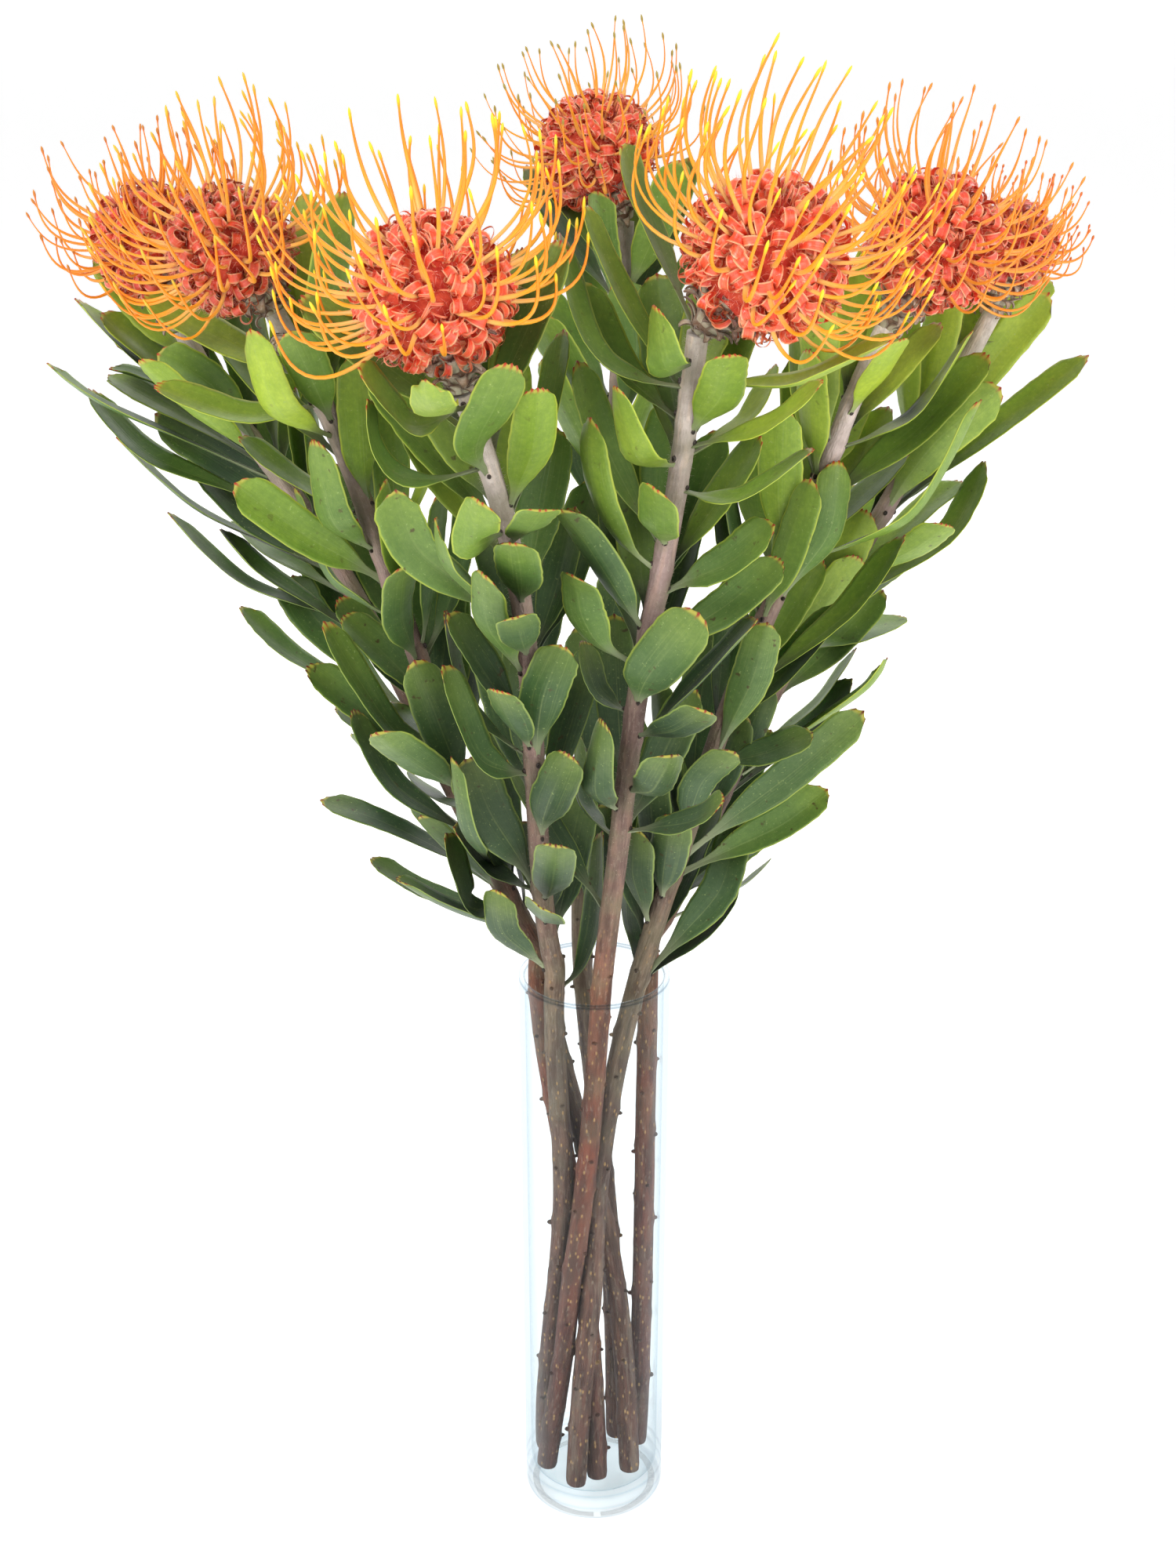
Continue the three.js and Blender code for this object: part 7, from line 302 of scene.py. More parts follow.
  [2026,6,0,18.2,[[94.7,12.5,511.6],[89.5,17.6,528],[85.9,22.4,544.9],[84,26.8,562.2],[84,30.7,579.7]],[0.87,-0.32,0.37],[0.91,-0.42,0.09]],
  [2027,7,0,16.6,[[102,44.3,439.4],[112.5,52.4,442.4],[122.9,60.3,446.2],[133.3,67.7,450.9],[143.5,74.7,456.5]],[-0.18,-0.13,0.97],[-0.34,-0.24,0.91]],
  [2028,4,0,18.3,[[-33.7,-7.7,309.3],[-47.6,-14.8,316.2],[-61.1,-21.5,324.3],[-73.9,-27.6,333.9],[-85.9,-33,344.8]],[0.33,0.25,0.91],[0.54,0.35,0.77]],
  [2029,6,0,16.8,[[72.3,2.3,450.5],[76.6,-0.7,467.1],[80.9,-3.5,483.6],[85.4,-6,500.2],[90.1,-8.2,516.7]],[0.69,0.72,-0.05],[0.68,0.72,-0.1]],
  [2030,1,0,17.7,[[-32.4,-89.2,511.7],[-28.7,-103.3,517.5],[-25.1,-117.3,523.7],[-21.9,-131,530.5],[-19,-144.5,538.1]],[-0.23,0.32,0.92],[-0.26,0.43,0.87]],
  [2031,4,0,18.1,[[-81.2,-22.9,468.8],[-81.1,-26.9,482.2],[-81.7,-30.5,495.8],[-83,-33.6,509.4],[-85,-36.2,523.1]],[-0.9,0.41,0.13],[-0.9,0.43,-0.05]],
  [2032,3,0,19.8,[[8.3,69.5,521.3],[-0.7,64.4,533.8],[-9.2,59.8,546.8],[-17.1,55.8,560.5],[-24.2,52.6,574.8]],[0.4,0.71,0.58],[0.47,0.78,0.41]],
  [2033,4,0,18.3,[[-37.1,-6.2,326.9],[-38.7,-0.8,344.5],[-40.8,4.1,362.3],[-43.5,8.1,380.2],[-46.8,11.3,398.1]],[-0.2,-0.94,0.27],[-0.14,-0.98,0.15]],
  [2034,5,0,16.6,[[-142.2,18.5,519.8],[-152.1,6.5,530.6],[-162.3,-4.1,542.3],[-172.8,-13.1,555.1],[-183.7,-20.2,568.8]],[0.13,0.6,0.79],[0.29,0.74,0.61]],
  [2100,7,0,18.7,[[38.4,16.6,315.4],[47.7,26.2,324.9],[56.8,35.2,335.1],[65.8,43.5,345.9],[74.6,51.2,357.5]],[-0.14,-0.63,0.77],[-0.24,-0.72,0.66]],
  [2101,5,0,16.9,[[-40.7,12.3,316.7],[-52.1,23.8,322.5],[-63.4,34.8,329.3],[-74.7,45.1,337.2],[-85.9,54.5,346.4]],[0.25,-0.23,0.94],[0.39,-0.36,0.85]],
  [2102,6,0,18.3,[[30.3,-9.2,324.3],[30.3,-16.3,336],[30.9,-22.3,348.2],[32.3,-27.1,360.9],[34.4,-30.4,373.9]],[0.32,0.81,0.49],[0.26,0.94,0.2]],
  [2103,6,0,17.3,[[24.9,-5.9,308.5],[25.4,-0.6,323.4],[26.1,4.5,338.3],[27.1,9.2,353.3],[28.4,13.7,368.4]],[0.17,-0.93,0.32],[0.12,-0.95,0.27]],
  [2105,3,0,19.9,[[3,46.3,413.9],[5.4,44.9,426.7],[7.8,43.8,439.5],[10.1,43,452.4],[12.2,42.6,465.3]],[0.07,0.99,0.09],[0.1,0.99,0.02]],
  [2106,7,0,20.8,[[37.7,17.5,319.9],[37.1,30,331.3],[37.7,41.4,343.7],[39.8,51.6,357],[43.5,60.2,371.1]],[0.19,-0.66,0.73],[0.06,-0.86,0.51]],
  [2107,6,0,20.3,[[95.1,10.4,511.7],[92.5,6.3,525.9],[90.3,2.5,540.2],[88.9,-0.7,554.8],[88.3,-3.4,569.6]],[0.74,0.6,0.31],[0.75,0.64,0.15]],
  [2108,1,0,17,[[-27.3,-71.9,460.4],[-28,-84.4,467.6],[-28.7,-96.8,475],[-29.4,-108.9,482.9],[-30.2,-120.8,491.1]],[-0.32,0.49,0.81],[-0.32,0.56,0.77]],
  [2109,7,0,20.9,[[38.7,16.3,315.3],[50,28,318.2],[61.3,39.5,321.7],[72.5,50.6,326.4],[83.7,61.3,332]],[0.01,-0.25,0.97],[-0.11,-0.37,0.92]],
  [2110,4,0,17,[[-72.1,-16.2,433.7],[-71.8,-6.8,445.3],[-71.6,2.4,457.1],[-71.5,11.4,469],[-71.6,20,481.2]],[-0.39,-0.71,0.58],[-0.39,-0.75,0.53]],
  [2111,3,0,19.3,[[-4.6,25.4,301],[-1.3,23.4,315.2],[1.6,22,329.5],[3.9,21.3,344],[5.6,21.3,358.6]],[-0.31,0.93,0.2],[-0.26,0.96,0.03]],
  [2112,3,0,20,[[-6.1,34.3,347.8],[-11,33.5,360.9],[-15.7,32.7,374],[-20.3,32,387.3],[-24.6,31.5,400.6]],[0.68,0.68,0.29],[0.68,0.69,0.25]],
  [2114,6,0,16.9,[[23,-6.6,303.3],[19.6,-0.4,317.2],[16.8,5.5,331.3],[14.7,10.9,345.7],[13.3,15.8,360.4]],[0.43,-0.78,0.45],[0.38,-0.87,0.33]],
  [2115,5,0,17.6,[[-117.8,19.5,486],[-117.3,14.3,503.7],[-117.3,9.4,521.4],[-118.1,4.9,539.3],[-119.8,0.9,557.1]],[-0.95,0.28,0.11],[-0.95,0.31,-0.02]],
  [2116,4,0,17.8,[[-72.9,-17.7,441],[-64.7,-10.5,457.1],[-58.3,-4.3,474.3],[-54.1,0.5,492.7],[-52.2,3.7,511.8]],[-0.59,-0.58,0.56],[-0.65,-0.73,0.19]],
  [2117,7,0,16.5,[[57.5,22.9,362.4],[62.3,21.2,376.5],[67.2,20,390.6],[72.2,19.2,404.7],[77.4,18.9,418.7]],[0.35,0.94,-0.01],[0.33,0.94,-0.1]],
  [2118,7,0,19.1,[[51.6,23.6,344.2],[59.1,31.7,353.6],[66.7,39.8,363.1],[74.2,47.5,372.9],[81.6,55,383]],[0.09,-0.79,0.61],[0.07,-0.82,0.56]],
  [2119,5,0,20.8,[[-91.7,20.9,427.9],[-101.3,31.1,437.4],[-110.9,40.9,447.4],[-120.5,50.1,458],[-130,58.6,469.2]],[-0.09,-0.72,0.68],[-0.01,-0.8,0.59]],
  [2120,4,0,17,[[-37.2,-10,328.5],[-39,-14.6,343.6],[-41.2,-18.9,358.7],[-44,-22.8,373.9],[-47.3,-26.3,389]],[-0.77,0.63,0.1],[-0.75,0.67,-0.01]],
  [2121,1,0,16.6,[[-26.3,-57.7,415.5],[-29.9,-68.7,423.9],[-33.1,-79.2,433.1],[-35.9,-88.9,443.2],[-38.3,-97.6,454.2]],[0.36,0.49,0.8],[0.42,0.67,0.62]],
  [2122,5,0,17.3,[[-70.9,16.6,379.1],[-82.9,20.3,383.8],[-94.6,23.8,389.2],[-106,27.2,395.4],[-117,30.4,402.3]],[0.31,-0.21,0.93],[0.46,-0.26,0.85]],
  [2123,4,0,17,[[-86.5,-22.2,488.3],[-76.4,-18.1,504.3],[-68.1,-14.6,521.5],[-62.1,-11.9,539.6],[-58.4,-10,558.5]],[-0.79,-0.24,0.56],[-0.93,-0.3,0.21]],
]

BUD = { "c": [-124.3,-38,578.2], "r": 5.0, "a": [-0.446,-0.802,0.398], "stem": 4 }

# how open each head is: 1 open with swollen yellow tips, 0 closed or fading with thin rusty tips
OPEN = {1: 1.0, 2: 1.0, 3: 0.75, 4: 0.9, 5: 0.25, 6: 0.35, 7: 0.2}

SWOLLEN = {1: 1, 2: 1, 3: 0, 4: 1, 5: 0, 6: 0, 7: 0}
SLIM = {1: 1.0, 2: 1.0, 3: 0.78, 4: 0.95, 5: 0.9, 6: 0.92, 7: 0.9}

LONG = {7: 0.74, 6: 0.95}

VASE_R, VASE_FOOT_R, VASE_H, VASE_WALL, VASE_FOOT = 35.0, 34.2, 284.2, 2.9, 13.0

# ------------------------------------------------------------------ helpers
def unit(v):
    v = np.asarray(v, float)
    n = np.linalg.norm(v, axis=-1, keepdims=True)
    return v / np.maximum(n, 1e-12)


def catmull(P, n):
    P = np.asarray(P, float)
    m = len(P)
    E = np.vstack([2 * P[0] - P[1], P, 2 * P[-1] - P[-2]])
    u = np.linspace(0, m - 1, n)
    i = np.minimum(u.astype(int), m - 2)
    t = (u - i)[:, None]
    p0, p1, p2, p3 = E[i], E[i + 1], E[i + 2], E[i + 3]
    return 0.5 * (2 * p1 + (p2 - p0) * t + (2 * p0 - 5 * p1 + 4 * p2 - p3) * t ** 2 + (3 * p1 - p0 - 3 * p2 + p3) * t ** 3)


def frames(P, start=None):
    """Rotation-minimising side vectors along a path."""
    T = unit(np.gradient(P, axis=0))
    s = np.array([1.0, 0.0, 0.0]) if start is None else np.asarray(start, float)
    if abs(np.dot(s, T[0])) > 0.95:
        s = np.array([0.0, 1.0, 0.0])
    S = np.zeros_like(P)
    for k in range(len(P)):
        s = s - T[k] * np.dot(s, T[k])
        s = s / max(np.linalg.norm(s), 1e-9)
        S[k] = s
    return T, S, np.cross(T, S)


class Build:
    """Collects vertices, faces and per-vertex values, then makes one mesh object."""
    def __init__(self, *names):
        self.v, self.f, self.m, self.a, self.n, self.names = [], [], [], {k: [] for k in names}, 0, names

    def add(self, verts, faces, mat=0, **vals):
        verts = np.asarray(verts, float)
        k = len(verts)
        self.v.append(verts)
        faces = np.asarray(faces, int)
        self.f.append(faces + self.n)
        self.m.append(np.full(len(faces), mat, int))
        for nm in self.names:
            x = vals.get(nm, 0.0)
            self.a[nm].append(np.broadcast_to(np.asarray(x, float), (k,)).copy())
        self.n += k

    def make(self, name, mats, smooth=True):
        V = np.vstack(self.v) / 1000.0
        tri = [f for f in self.f if f.shape[1] == 3]
        quad = [f for f in self.f if f.shape[1] == 4]
        tm = [m for f, m in zip(self.f, self.m) if f.shape[1] == 3]
        qm = [m for f, m in zip(self.f, self.m) if f.shape[1] == 4]
        loops, starts, sizes, mi = [], [], [], []
        off = 0
        for F, M, c in ((quad, qm, 4), (tri, tm, 3)):
            if not F:
                continue
            G = np.vstack(F)
            loops.append(G.ravel())
            starts.append(off + np.arange(len(G)) * c)
            off += len(G) * c
            mi.append(np.concatenate(M))
        me = bpy.data.meshes.new(name)
        me.vertices.add(len(V))
        me.vertices.foreach_set("co", V.ravel())
        L = np.concatenate(loops)
        me.loops.add(len(L))
        me.loops.foreach_set("vertex_index", L.astype(np.int32))
        st = np.concatenate(starts)
        me.polygons.add(len(st))
        me.polygons.foreach_set("loop_start", st.astype(np.int32))
        me.polygons.foreach_set("material_index", np.concatenate(mi).astype(np.int32))
        me.update(calc_edges=True)
        me.validate()
        for nm in self.names:
            at = me.attributes.new(nm, "FLOAT", "POINT")
            at.data.foreach_set("value", np.concatenate(self.a[nm]).astype(np.float32))
        me.polygons.foreach_set("use_smooth", np.full(len(me.polygons), smooth))
        for mt in mats:
            me.materials.append(mt)
        ob = bpy.data.objects.new(name, me)
        bpy.context.scene.collection.objects.link(ob)
        return ob


def tube_faces(n, s, cap0=False, cap1=False):
    i = np.arange(n - 1)[:, None] * s
    j = np.arange(s)[None]
    k = (j + 1) % s
    return np.stack([i + j, i + k, i + s + k, i + s + j], -1).reshape(-1, 4)


def add_tube(B, P, R, s, mat=0, start=None, **vals):
    P = np.asarray(P, float)
    n = len(P)
    R = np.broadcast_to(np.asarray(R, float), (n,)) if np.ndim(R) < 2 else np.asarray(R, float)
    T, S, O = frames(P, start)
    w = np.arange(s) * 2 * math.pi / s
    rr = R[:, None] if R.ndim == 1 else R
    ring = P[:, None] + S[:, None] * (np.cos(w)[None] * rr)[..., None] + O[:, None] * (np.sin(w)[None] * rr)[..., None]
    V = ring.reshape(-1, 3)
    ex = {k: (np.repeat(v, s) if np.ndim(v) and len(v) == n else v) for k, v in vals.items()}
    # close both ends with a centre point
    V = np.vstack([V, P[0], P[-1]])
    ex2 = {k: (np.concatenate([v, [v[0]], [v[-1]]]) if np.ndim(v) else v) for k, v in ex.items()}
    B.add(V, tube_faces(n, s), mat, **ex2)
    base = B.n - len(V)
    j = np.arange(s)
    k = (j + 1) % s
    c0, c1 = n * s, n * s + 1
    cap = np.vstack([np.stack([np.full(s, c0), k, j], -1), np.stack([np.full(s, c1), (n - 1) * s + j, (n - 1) * s + k], -1)])
    B.f.append(cap + base)
    B.m.append(np.full(len(cap), mat, int))


# ------------------------------------------------------------------ materials
def new_mat(name, rough=0.5, **inputs):
    m = bpy.data.materials.new(name)
    m.use_nodes = True
    nt = m.node_tree
    b = nt.nodes["Principled BSDF"]
    b.inputs["Roughness"].default_value = rough
    for k, v in inputs.items():
        b.inputs[k.replace("_", " ")].default_value = v
    return m, nt, b


def attr(nt, name):
    n = nt.nodes.new("ShaderNodeAttribute")
    n.attribute_name = name
    return n.outputs["Fac"]


def ramp(nt, src, stops, mode="LINEAR"):
    r = nt.nodes.new("ShaderNodeValToRGB")
    r.color_ramp.interpolation = mode
    el = r.color_ramp.elements
    while len(el) > 1:
        el.remove(el[-1])
    el[0].position = stops[0][0]
    el[0].color = (*stops[0][1], 1)
    for p, c in stops[1:]:
        e = el.new(p)
        e.color = (*c, 1)
    nt.links.new(src, r.inputs["Fac"])
    return r.outputs["Color"]


def mix(nt, fac, a, b, kind="MIX"):
    n = nt.nodes.new("ShaderNodeMix")
    n.data_type = "RGBA"
    n.blend_type = kind
    ia, ib = n.inputs[6], n.inputs[7]
    for s, x in ((n.inputs[0], fac), (ia, a), (ib, b)):
        if isinstance(x, (int, float)):
            s.default_value = x
        elif isinstance(x, tuple):
            s.default_value = (*x, 1) if len(x) == 3 else x
        else:
            nt.links.new(x, s)
    return n.outputs[2]


def math_(nt, op, a, b=None, c=None):
    n = nt.nodes.new("ShaderNodeMath")
    n.operation = op
    for i, x in enumerate((a, b, c)):
        if x is None:
            continue
        if isinstance(x, (int, float)):
            n.inputs[i].default_value = x
        else:
            nt.links.new(x, n.inputs[i])
    return n.outputs[0]


def maprange(nt, src, a, b, c=0.0, d=1.0, smooth=False):
    n = nt.nodes.new("ShaderNodeMapRange")
    n.interpolation_type = "SMOOTHSTEP" if smooth else "LINEAR"
    nt.links.new(src, n.inputs[0])
    for i, v in enumerate((a, b, c, d)):
        n.inputs[1 + i].default_value = v
    return n.outputs[0]


def noise(nt, scale, detail=3.0, rough=0.5, vec=None):
    n = nt.nodes.new("ShaderNodeTexNoise")
    n.inputs["Scale"].default_value = scale
    n.inputs["Detail"].default_value = detail
    n.inputs["Roughness"].default_value = rough
    if vec is None:
        tc = nt.nodes.new("ShaderNodeTexCoord")
        vec = tc.outputs["Object"]
    nt.links.new(vec, n.inputs["Vector"])
    return n.outputs["Fac"]


def combine(nt, x, y, z):
    n = nt.nodes.new("ShaderNodeCombineXYZ")
    for i, v in enumerate((x, y, z)):
        if isinstance(v, (int, float)):
            n.inputs[i].default_value = v
        else:
            nt.links.new(v, n.inputs[i])
    return n.outputs[0]


def bump(nt, b, h, strength, dist):
    n = nt.nodes.new("ShaderNodeBump")
    n.inputs["Strength"].default_value = strength
    n.inputs["Distance"].default_value = dist
    nt.links.new(h, n.inputs["Height"])
    nt.links.new(n.outputs["Normal"], b.inputs["Normal"])


def lin(r, g, b):
    """sRGB 0-255 to linear."""
    o = []
    for c in (r, g, b):
        c /= 255.0
        o.append(c / 12.92 if c <= 0.04045 else ((c + 0.055) / 1.055) ** 2.4)
    return tuple(o)


def leaf_material():
    m, nt, b = new_mat("leaf_skin", 0.46, Specular_IOR_Level=0.38)
    u, v, r, tn = attr(nt, "lu"), attr(nt, "lv"), attr(nt, "lr"), attr(nt, "lt")
    av = math_(nt, "ABSOLUTE", v)
    body = ramp(nt, tn, [(0.0, lin(34, 58, 32)), (0.25, lin(56, 86, 42)), (0.5, lin(88, 120, 52)), (0.75, lin(130, 160, 54)), (1.0, lin(172, 194, 66))])
    grey = mix(nt, maprange(nt, r, 0.0, 1.0, 0.0, 0.50), body, lin(94, 116, 86))
    col = mix(nt, maprange(nt, u, 0.55, 1.0, 0.0, 0.30, True), grey, lin(150, 172, 60))
    # blotches, long streaks and fine freckles
    n1 = noise(nt, 55.0, 4.0, 0.6)
    col = mix(nt, maprange(nt, n1, 0.35, 0.7, 0.0, 0.55), col, mix(nt, 1.0, col, (0.55, 0.66, 0.50), "MULTIPLY"))
    n0 = noise(nt, 14.0, 2.0, 0.5)
    col = mix(nt, maprange(nt, n0, 0.40, 0.66, 0.0, 0.40), col, mix(nt, 1.0, col, (1.35, 1.22, 0.85), "MULTIPLY"))
    st = noise(nt, 1.0, 3.0, 0.6, combine(nt, math_(nt, "MULTIPLY", v, 9.0), math_(nt, "MULTIPLY", u, 1.6), math_(nt, "MULTIPLY", r, 37.0)))
    col = mix(nt, maprange(nt, st, 0.42, 0.72, 0.0, 0.35), col, mix(nt, 1.0, col, (1.22, 1.18, 1.10), "MULTIPLY"))
    fr = noise(nt, 900.0, 2.0, 0.5)
    col = mix(nt, maprange(nt, fr, 0.66, 0.74, 0.0, 0.55), col, lin(165, 180, 110))
    # midrib and side veins
    rib = maprange(nt, av, 0.0, 0.055, 1.0, 0.0, True)
    ribf = math_(nt, "MULTIPLY", rib, maprange(nt, u, 0.15, 0.8, 0.34, 0.03))
    col = mix(nt, ribf, col, lin(168, 182, 112))
    vein = noise(nt, 1.0, 2.0, 0.5, combine(nt, math_(nt, "MULTIPLY", v, 15.0), math_(nt, "MULTIPLY", u, 1.2), math_(nt, "MULTIPLY", r, 51.0)))
    veinf = maprange(nt, vein, 0.55, 0.75, 0.0, 0.16)
    col = mix(nt, veinf, col, lin(160, 176, 104))
    grain = noise(nt, 420.0, 4.0, 0.7)
    col = mix(nt, maprange(nt, grain, 0.40, 0.62, 0.0, 0.44), col, mix(nt, 1.0, col, (0.66, 0.74, 0.70), "MULTIPLY"))
    col = mix(nt, maprange(nt, grain, 0.46, 0.34, 0.0, 0.25), col, mix(nt, 1.0, col, (1.32, 1.24, 1.05), "MULTIPLY"))
    # pale stalk, yellow edge, red teeth
    col = mix(nt, maprange(nt, u, 0.06, 0.30, 0.80, 0.0, True), col, lin(156, 162, 128))
    edge = math_(nt, "MULTIPLY", maprange(nt, av, 0.90, 0.975, 0.0, 1.0, True), maprange(nt, u, 0.10, 0.35, 0.0, 0.9))
    col = mix(nt, edge, col, mix(nt, maprange(nt, tn, 0.2, 0.8), lin(138, 156, 78), lin(182, 196, 70)))
    endf = maprange(nt, u, 0.965, 0.99, 0.0, 0.75, True)
    col = mix(nt, endf, col, lin(190, 176, 70))
    tooth = attr(nt, "ltip")
    col = mix(nt, maprange(nt, tooth, 0.25, 0.8, 0.0, 1.0, True), col, mix(nt, maprange(nt, r, 0.3, 0.9), lin(176, 58, 34), lin(96, 38, 26)))
    brown = noise(nt, 240.0, 2.0, 0.5)
    col = mix(nt, math_(nt, "MULTIPLY", maprange(nt, brown, 0.68, 0.74, 0.0, 0.85), maprange(nt, r, 0.15, 0.6, 0.3, 1.0)), col, lin(78, 62, 36))
    # painted shade: leaf colour darkened where other leaves, stems and heads hem the leaf in
    shade = maprange(nt, attr(nt, "ao"), 0.20, 0.80, 0.0, 1.0)
    col = mix(nt, shade, mix(nt, 1.0, col, (0.08, 0.115, 0.115), "MULTIPLY"), col)
    nt.links.new(col, b.inputs["Base Color"])
    rr = maprange(nt, n1, 0.3, 0.7, 0.38, 0.56)
    nt.links.new(rr, b.inputs["Roughness"])
    b.inputs["Subsurface Weight"].default_value = 0.08
    b.inputs["Subsurface Radius"].default_value = (0.0012, 0.002, 0.0006)
    b.inputs["Subsurface Scale"].default_value = 1.0
    h = math_(nt, "ADD", math_(nt, "MULTIPLY", noise(nt, 420.0, 3.0, 0.6), 0.5), math_(nt, "ADD", math_(nt, "MULTIPLY", veinf, 1.4), math_(nt, "MULTIPLY", st, 0.5)))
    bump(nt, b, h, 0.35, 0.0005)
    return m


def bark_material():
    m, nt, b = new_mat("stem_bark", 0.66)
    s, q, r = attr(nt, "sz"), attr(nt, "sa"), attr(nt, "lr")
    top = [(0.0, lin(240, 230, 220)), (0.06, lin(226, 212, 204)), (0.13, lin(182, 158, 152)), (0.22, lin(152, 126, 118)), (0.42, lin(138, 110, 98))]
    red = ramp(nt, s, top + [(0.55, lin(134, 84, 60)), (0.68, lin(126, 68, 48)), (0.86, lin(106, 58, 48)), (1.0, lin(92, 56, 48))])
    gry = ramp(nt, s, top + [(0.55, lin(132, 114, 94)), (0.68, lin(116, 90, 78)), (0.86, lin(106, 70, 58)), (1.0, lin(94, 62, 52))])
    col = mix(nt, maprange(nt, r, 0.35, 0.65), gry, red)
    ca, sa = math_(nt, "COSINE", q), math_(nt, "SINE", q)

    def around(k, kz):
        return combine(nt, math_(nt, "MULTIPLY", ca, k), math_(nt, "MULTIPLY", sa, k), math_(nt, "ADD", math_(nt, "MULTIPLY", s, kz), math_(nt, "MULTIPLY", r, 17.0)))

    low = maprange(nt, s, 0.18, 0.50, 0.20, 1.0)
    wide = noise(nt, 1.0, 3.0, 0.6, around(1.1, 22.0))
    col = mix(nt, math_(nt, "MULTIPLY", maprange(nt, wide, 0.46, 0.58, 0.0, 0.85, True), low), col, mix(nt, 1.0, col, (0.50, 0.43, 0.41), "MULTIPLY"))
    patch = noise(nt, 1.0, 3.0, 0.6, combine(nt, math_(nt, "MULTIPLY", ca, 0.9), math_(nt, "MULTIPLY", sa, 0.9), math_(nt, "ADD", math_(nt, "MULTIPLY", s, 15.0), math_(nt, "MULTIPLY", r, 43.0))))
    col = mix(nt, math_(nt, "MULTIPLY", maprange(nt, patch, 0.50, 0.62, 0.0, 0.50, True), math_(nt, "MULTIPLY", low, maprange(nt, r, 0.9, 0.3, 0.25, 1.0))), col, lin(130, 118, 104))
    col = mix(nt, maprange(nt, wide, 0.50, 0.36, 0.0, 0.45, True), col, mix(nt, 1.0, col, (1.42, 1.30, 1.14), "MULTIPLY"))
    grain = noise(nt, 1.0, 5.0, 0.7, around(5.5, 46.0))
    soft = noise(nt, 300.0, 4.0, 0.65)
    col = mix(nt, maprange(nt, soft, 0.40, 0.64, 0.0, 0.38), col, mix(nt, 1.0, col, (0.62, 0.57, 0.55), "MULTIPLY"))
    col = mix(nt, math_(nt, "MULTIPLY", maprange(nt, grain, 0.42, 0.62, 0.0, 0.62), low), col, mix(nt, 1.0, col, (0.46, 0.42, 0.40), "MULTIPLY"))
    flake = noise(nt, 1.0, 4.0, 0.65, around(3.2, 120.0))
    col = mix(nt, maprange(nt, flake, 0.57, 0.68, 0.0, 0.34), col, lin(184, 170, 150))
    # pale green blush below the leaves, and small yellow lenticels on the bare bark
    green = math_(nt, "MULTIPLY", maprange(nt, noise(nt, 60.0, 2.0), 0.42, 0.64, 0.0, 0.52), maprange(nt, s, 0.42, 0.76, 1.0, 0.12))
    col = mix(nt, green, col, lin(126, 122, 92))
    vo = nt.nodes.new("ShaderNodeTexVoronoi")
    vo.inputs["Scale"].default_value = 1.0
    nt.links.new(around(1.9, 110.0), vo.inputs["Vector"])
    dot = math_(nt, "MULTIPLY", maprange(nt, vo.outputs["Distance"], 0.12, 0.25, 0.9, 0.0), maprange(nt, s, 0.40, 0.60, 0.0, 0.95))
    col = mix(nt, math_(nt, "MULTIPLY", dot, 0.75), col, lin(200, 160, 100))
    col = mix(nt, attr(nt, "dark"), col, lin(38, 27, 22))
    # painted shade: bark colour darkened where leaves and other stems hem the stem in
    shade = maprange(nt, attr(nt, "ao"), 0.12, 0.74, 0.0, 1.0)
    col = mix(nt, shade, mix(nt, 1.0, col, (0.34, 0.30, 0.30), "MULTIPLY"), col)
    nt.links.new(col, b.inputs["Base Color"])
    h = math_(nt, "ADD", math_(nt, "ADD", math_(nt, "MULTIPLY", grain, low), math_(nt, "MULTIPLY", flake, 0.8)), math_(nt, "ADD", math_(nt, "MULTIPLY", dot, 0.6), math_(nt, "MULTIPLY", soft, 0.5)))
    bump(nt, b, h, 0.72, 0.0017)
    return m


def hair_material():
    m, nt, b = new_mat("pale_hairs", 0.6)
    n = noise(nt, 300.0, 2.0)
    nt.links.new(mix(nt, maprange(nt, n, 0.3, 0.7), lin(226, 214, 198), lin(196, 176, 158)), b.inputs["Base Color"])
    return m


def floret_material():
    m, nt, b = new_mat("floret_coral", 0.32)
    u, v, r, o = attr(nt, "lu"), attr(nt, "lv"), attr(nt, "lr"), attr(nt, "op")
    # coral ramps from floret base to curl end; the darker base deep in the dome is painted shade
    deep = ramp(nt, u, [(0.0, lin(196, 38, 24)), (0.25, lin(236, 58, 36)), (0.5, lin(252, 86, 58)), (0.8, lin(254, 116, 84)), (1.0, lin(255, 168, 134))])
    old = ramp(nt, u, [(0.0, lin(176, 30, 24)), (0.3, lin(222, 46, 34)), (0.6, lin(244, 74, 54)), (1.0, lin(250, 138, 108))])
    col = mix(nt, o, old, deep)
    col = mix(nt, maprange(nt, r, 0.0, 1.0, 0.0, 0.80), col, lin(252, 156, 128))
    st = noise(nt, 1.0, 3.0, 0.6, combine(nt, math_(nt, "MULTIPLY", v, 6.0), math_(nt, "MULTIPLY", u, 2.2), math_(nt, "MULTIPLY", r, 91.0)))
    col = mix(nt, maprange(nt, st, 0.52, 0.68, 0.0, 0.45), col, lin(254, 150, 122))
    col = mix(nt, maprange(nt, st, 0.46, 0.34, 0.0, 0.45), col, lin(206, 30, 26))
    col = mix(nt, maprange(nt, math_(nt, "ABSOLUTE", v), 0.62, 1.0, 0.0, 0.90), col, lin(255, 202, 172))
    col = mix(nt, 1.0, col, (1.02, 0.99, 0.76), "MULTIPLY")
    col = mix(nt, attr(nt, "hd"), col, mix(nt, 1.0, col, (0.60, 0.52, 0.42), "MULTIPLY"))
    nt.links.new(col, b.inputs["Base Color"])
    b.inputs["Subsurface Weight"].default_value = 0.28
    b.inputs["Subsurface Radius"].default_value = (0.003, 0.0006, 0.0003)
    b.inputs["Subsurface Scale"].default_value = 1.0
    b.inputs["Coat Weight"].default_value = 0.38
    b.inputs["Coat Roughness"].default_value = 0.22
    bump(nt, b, st, 0.5, 0.0004)
    return m


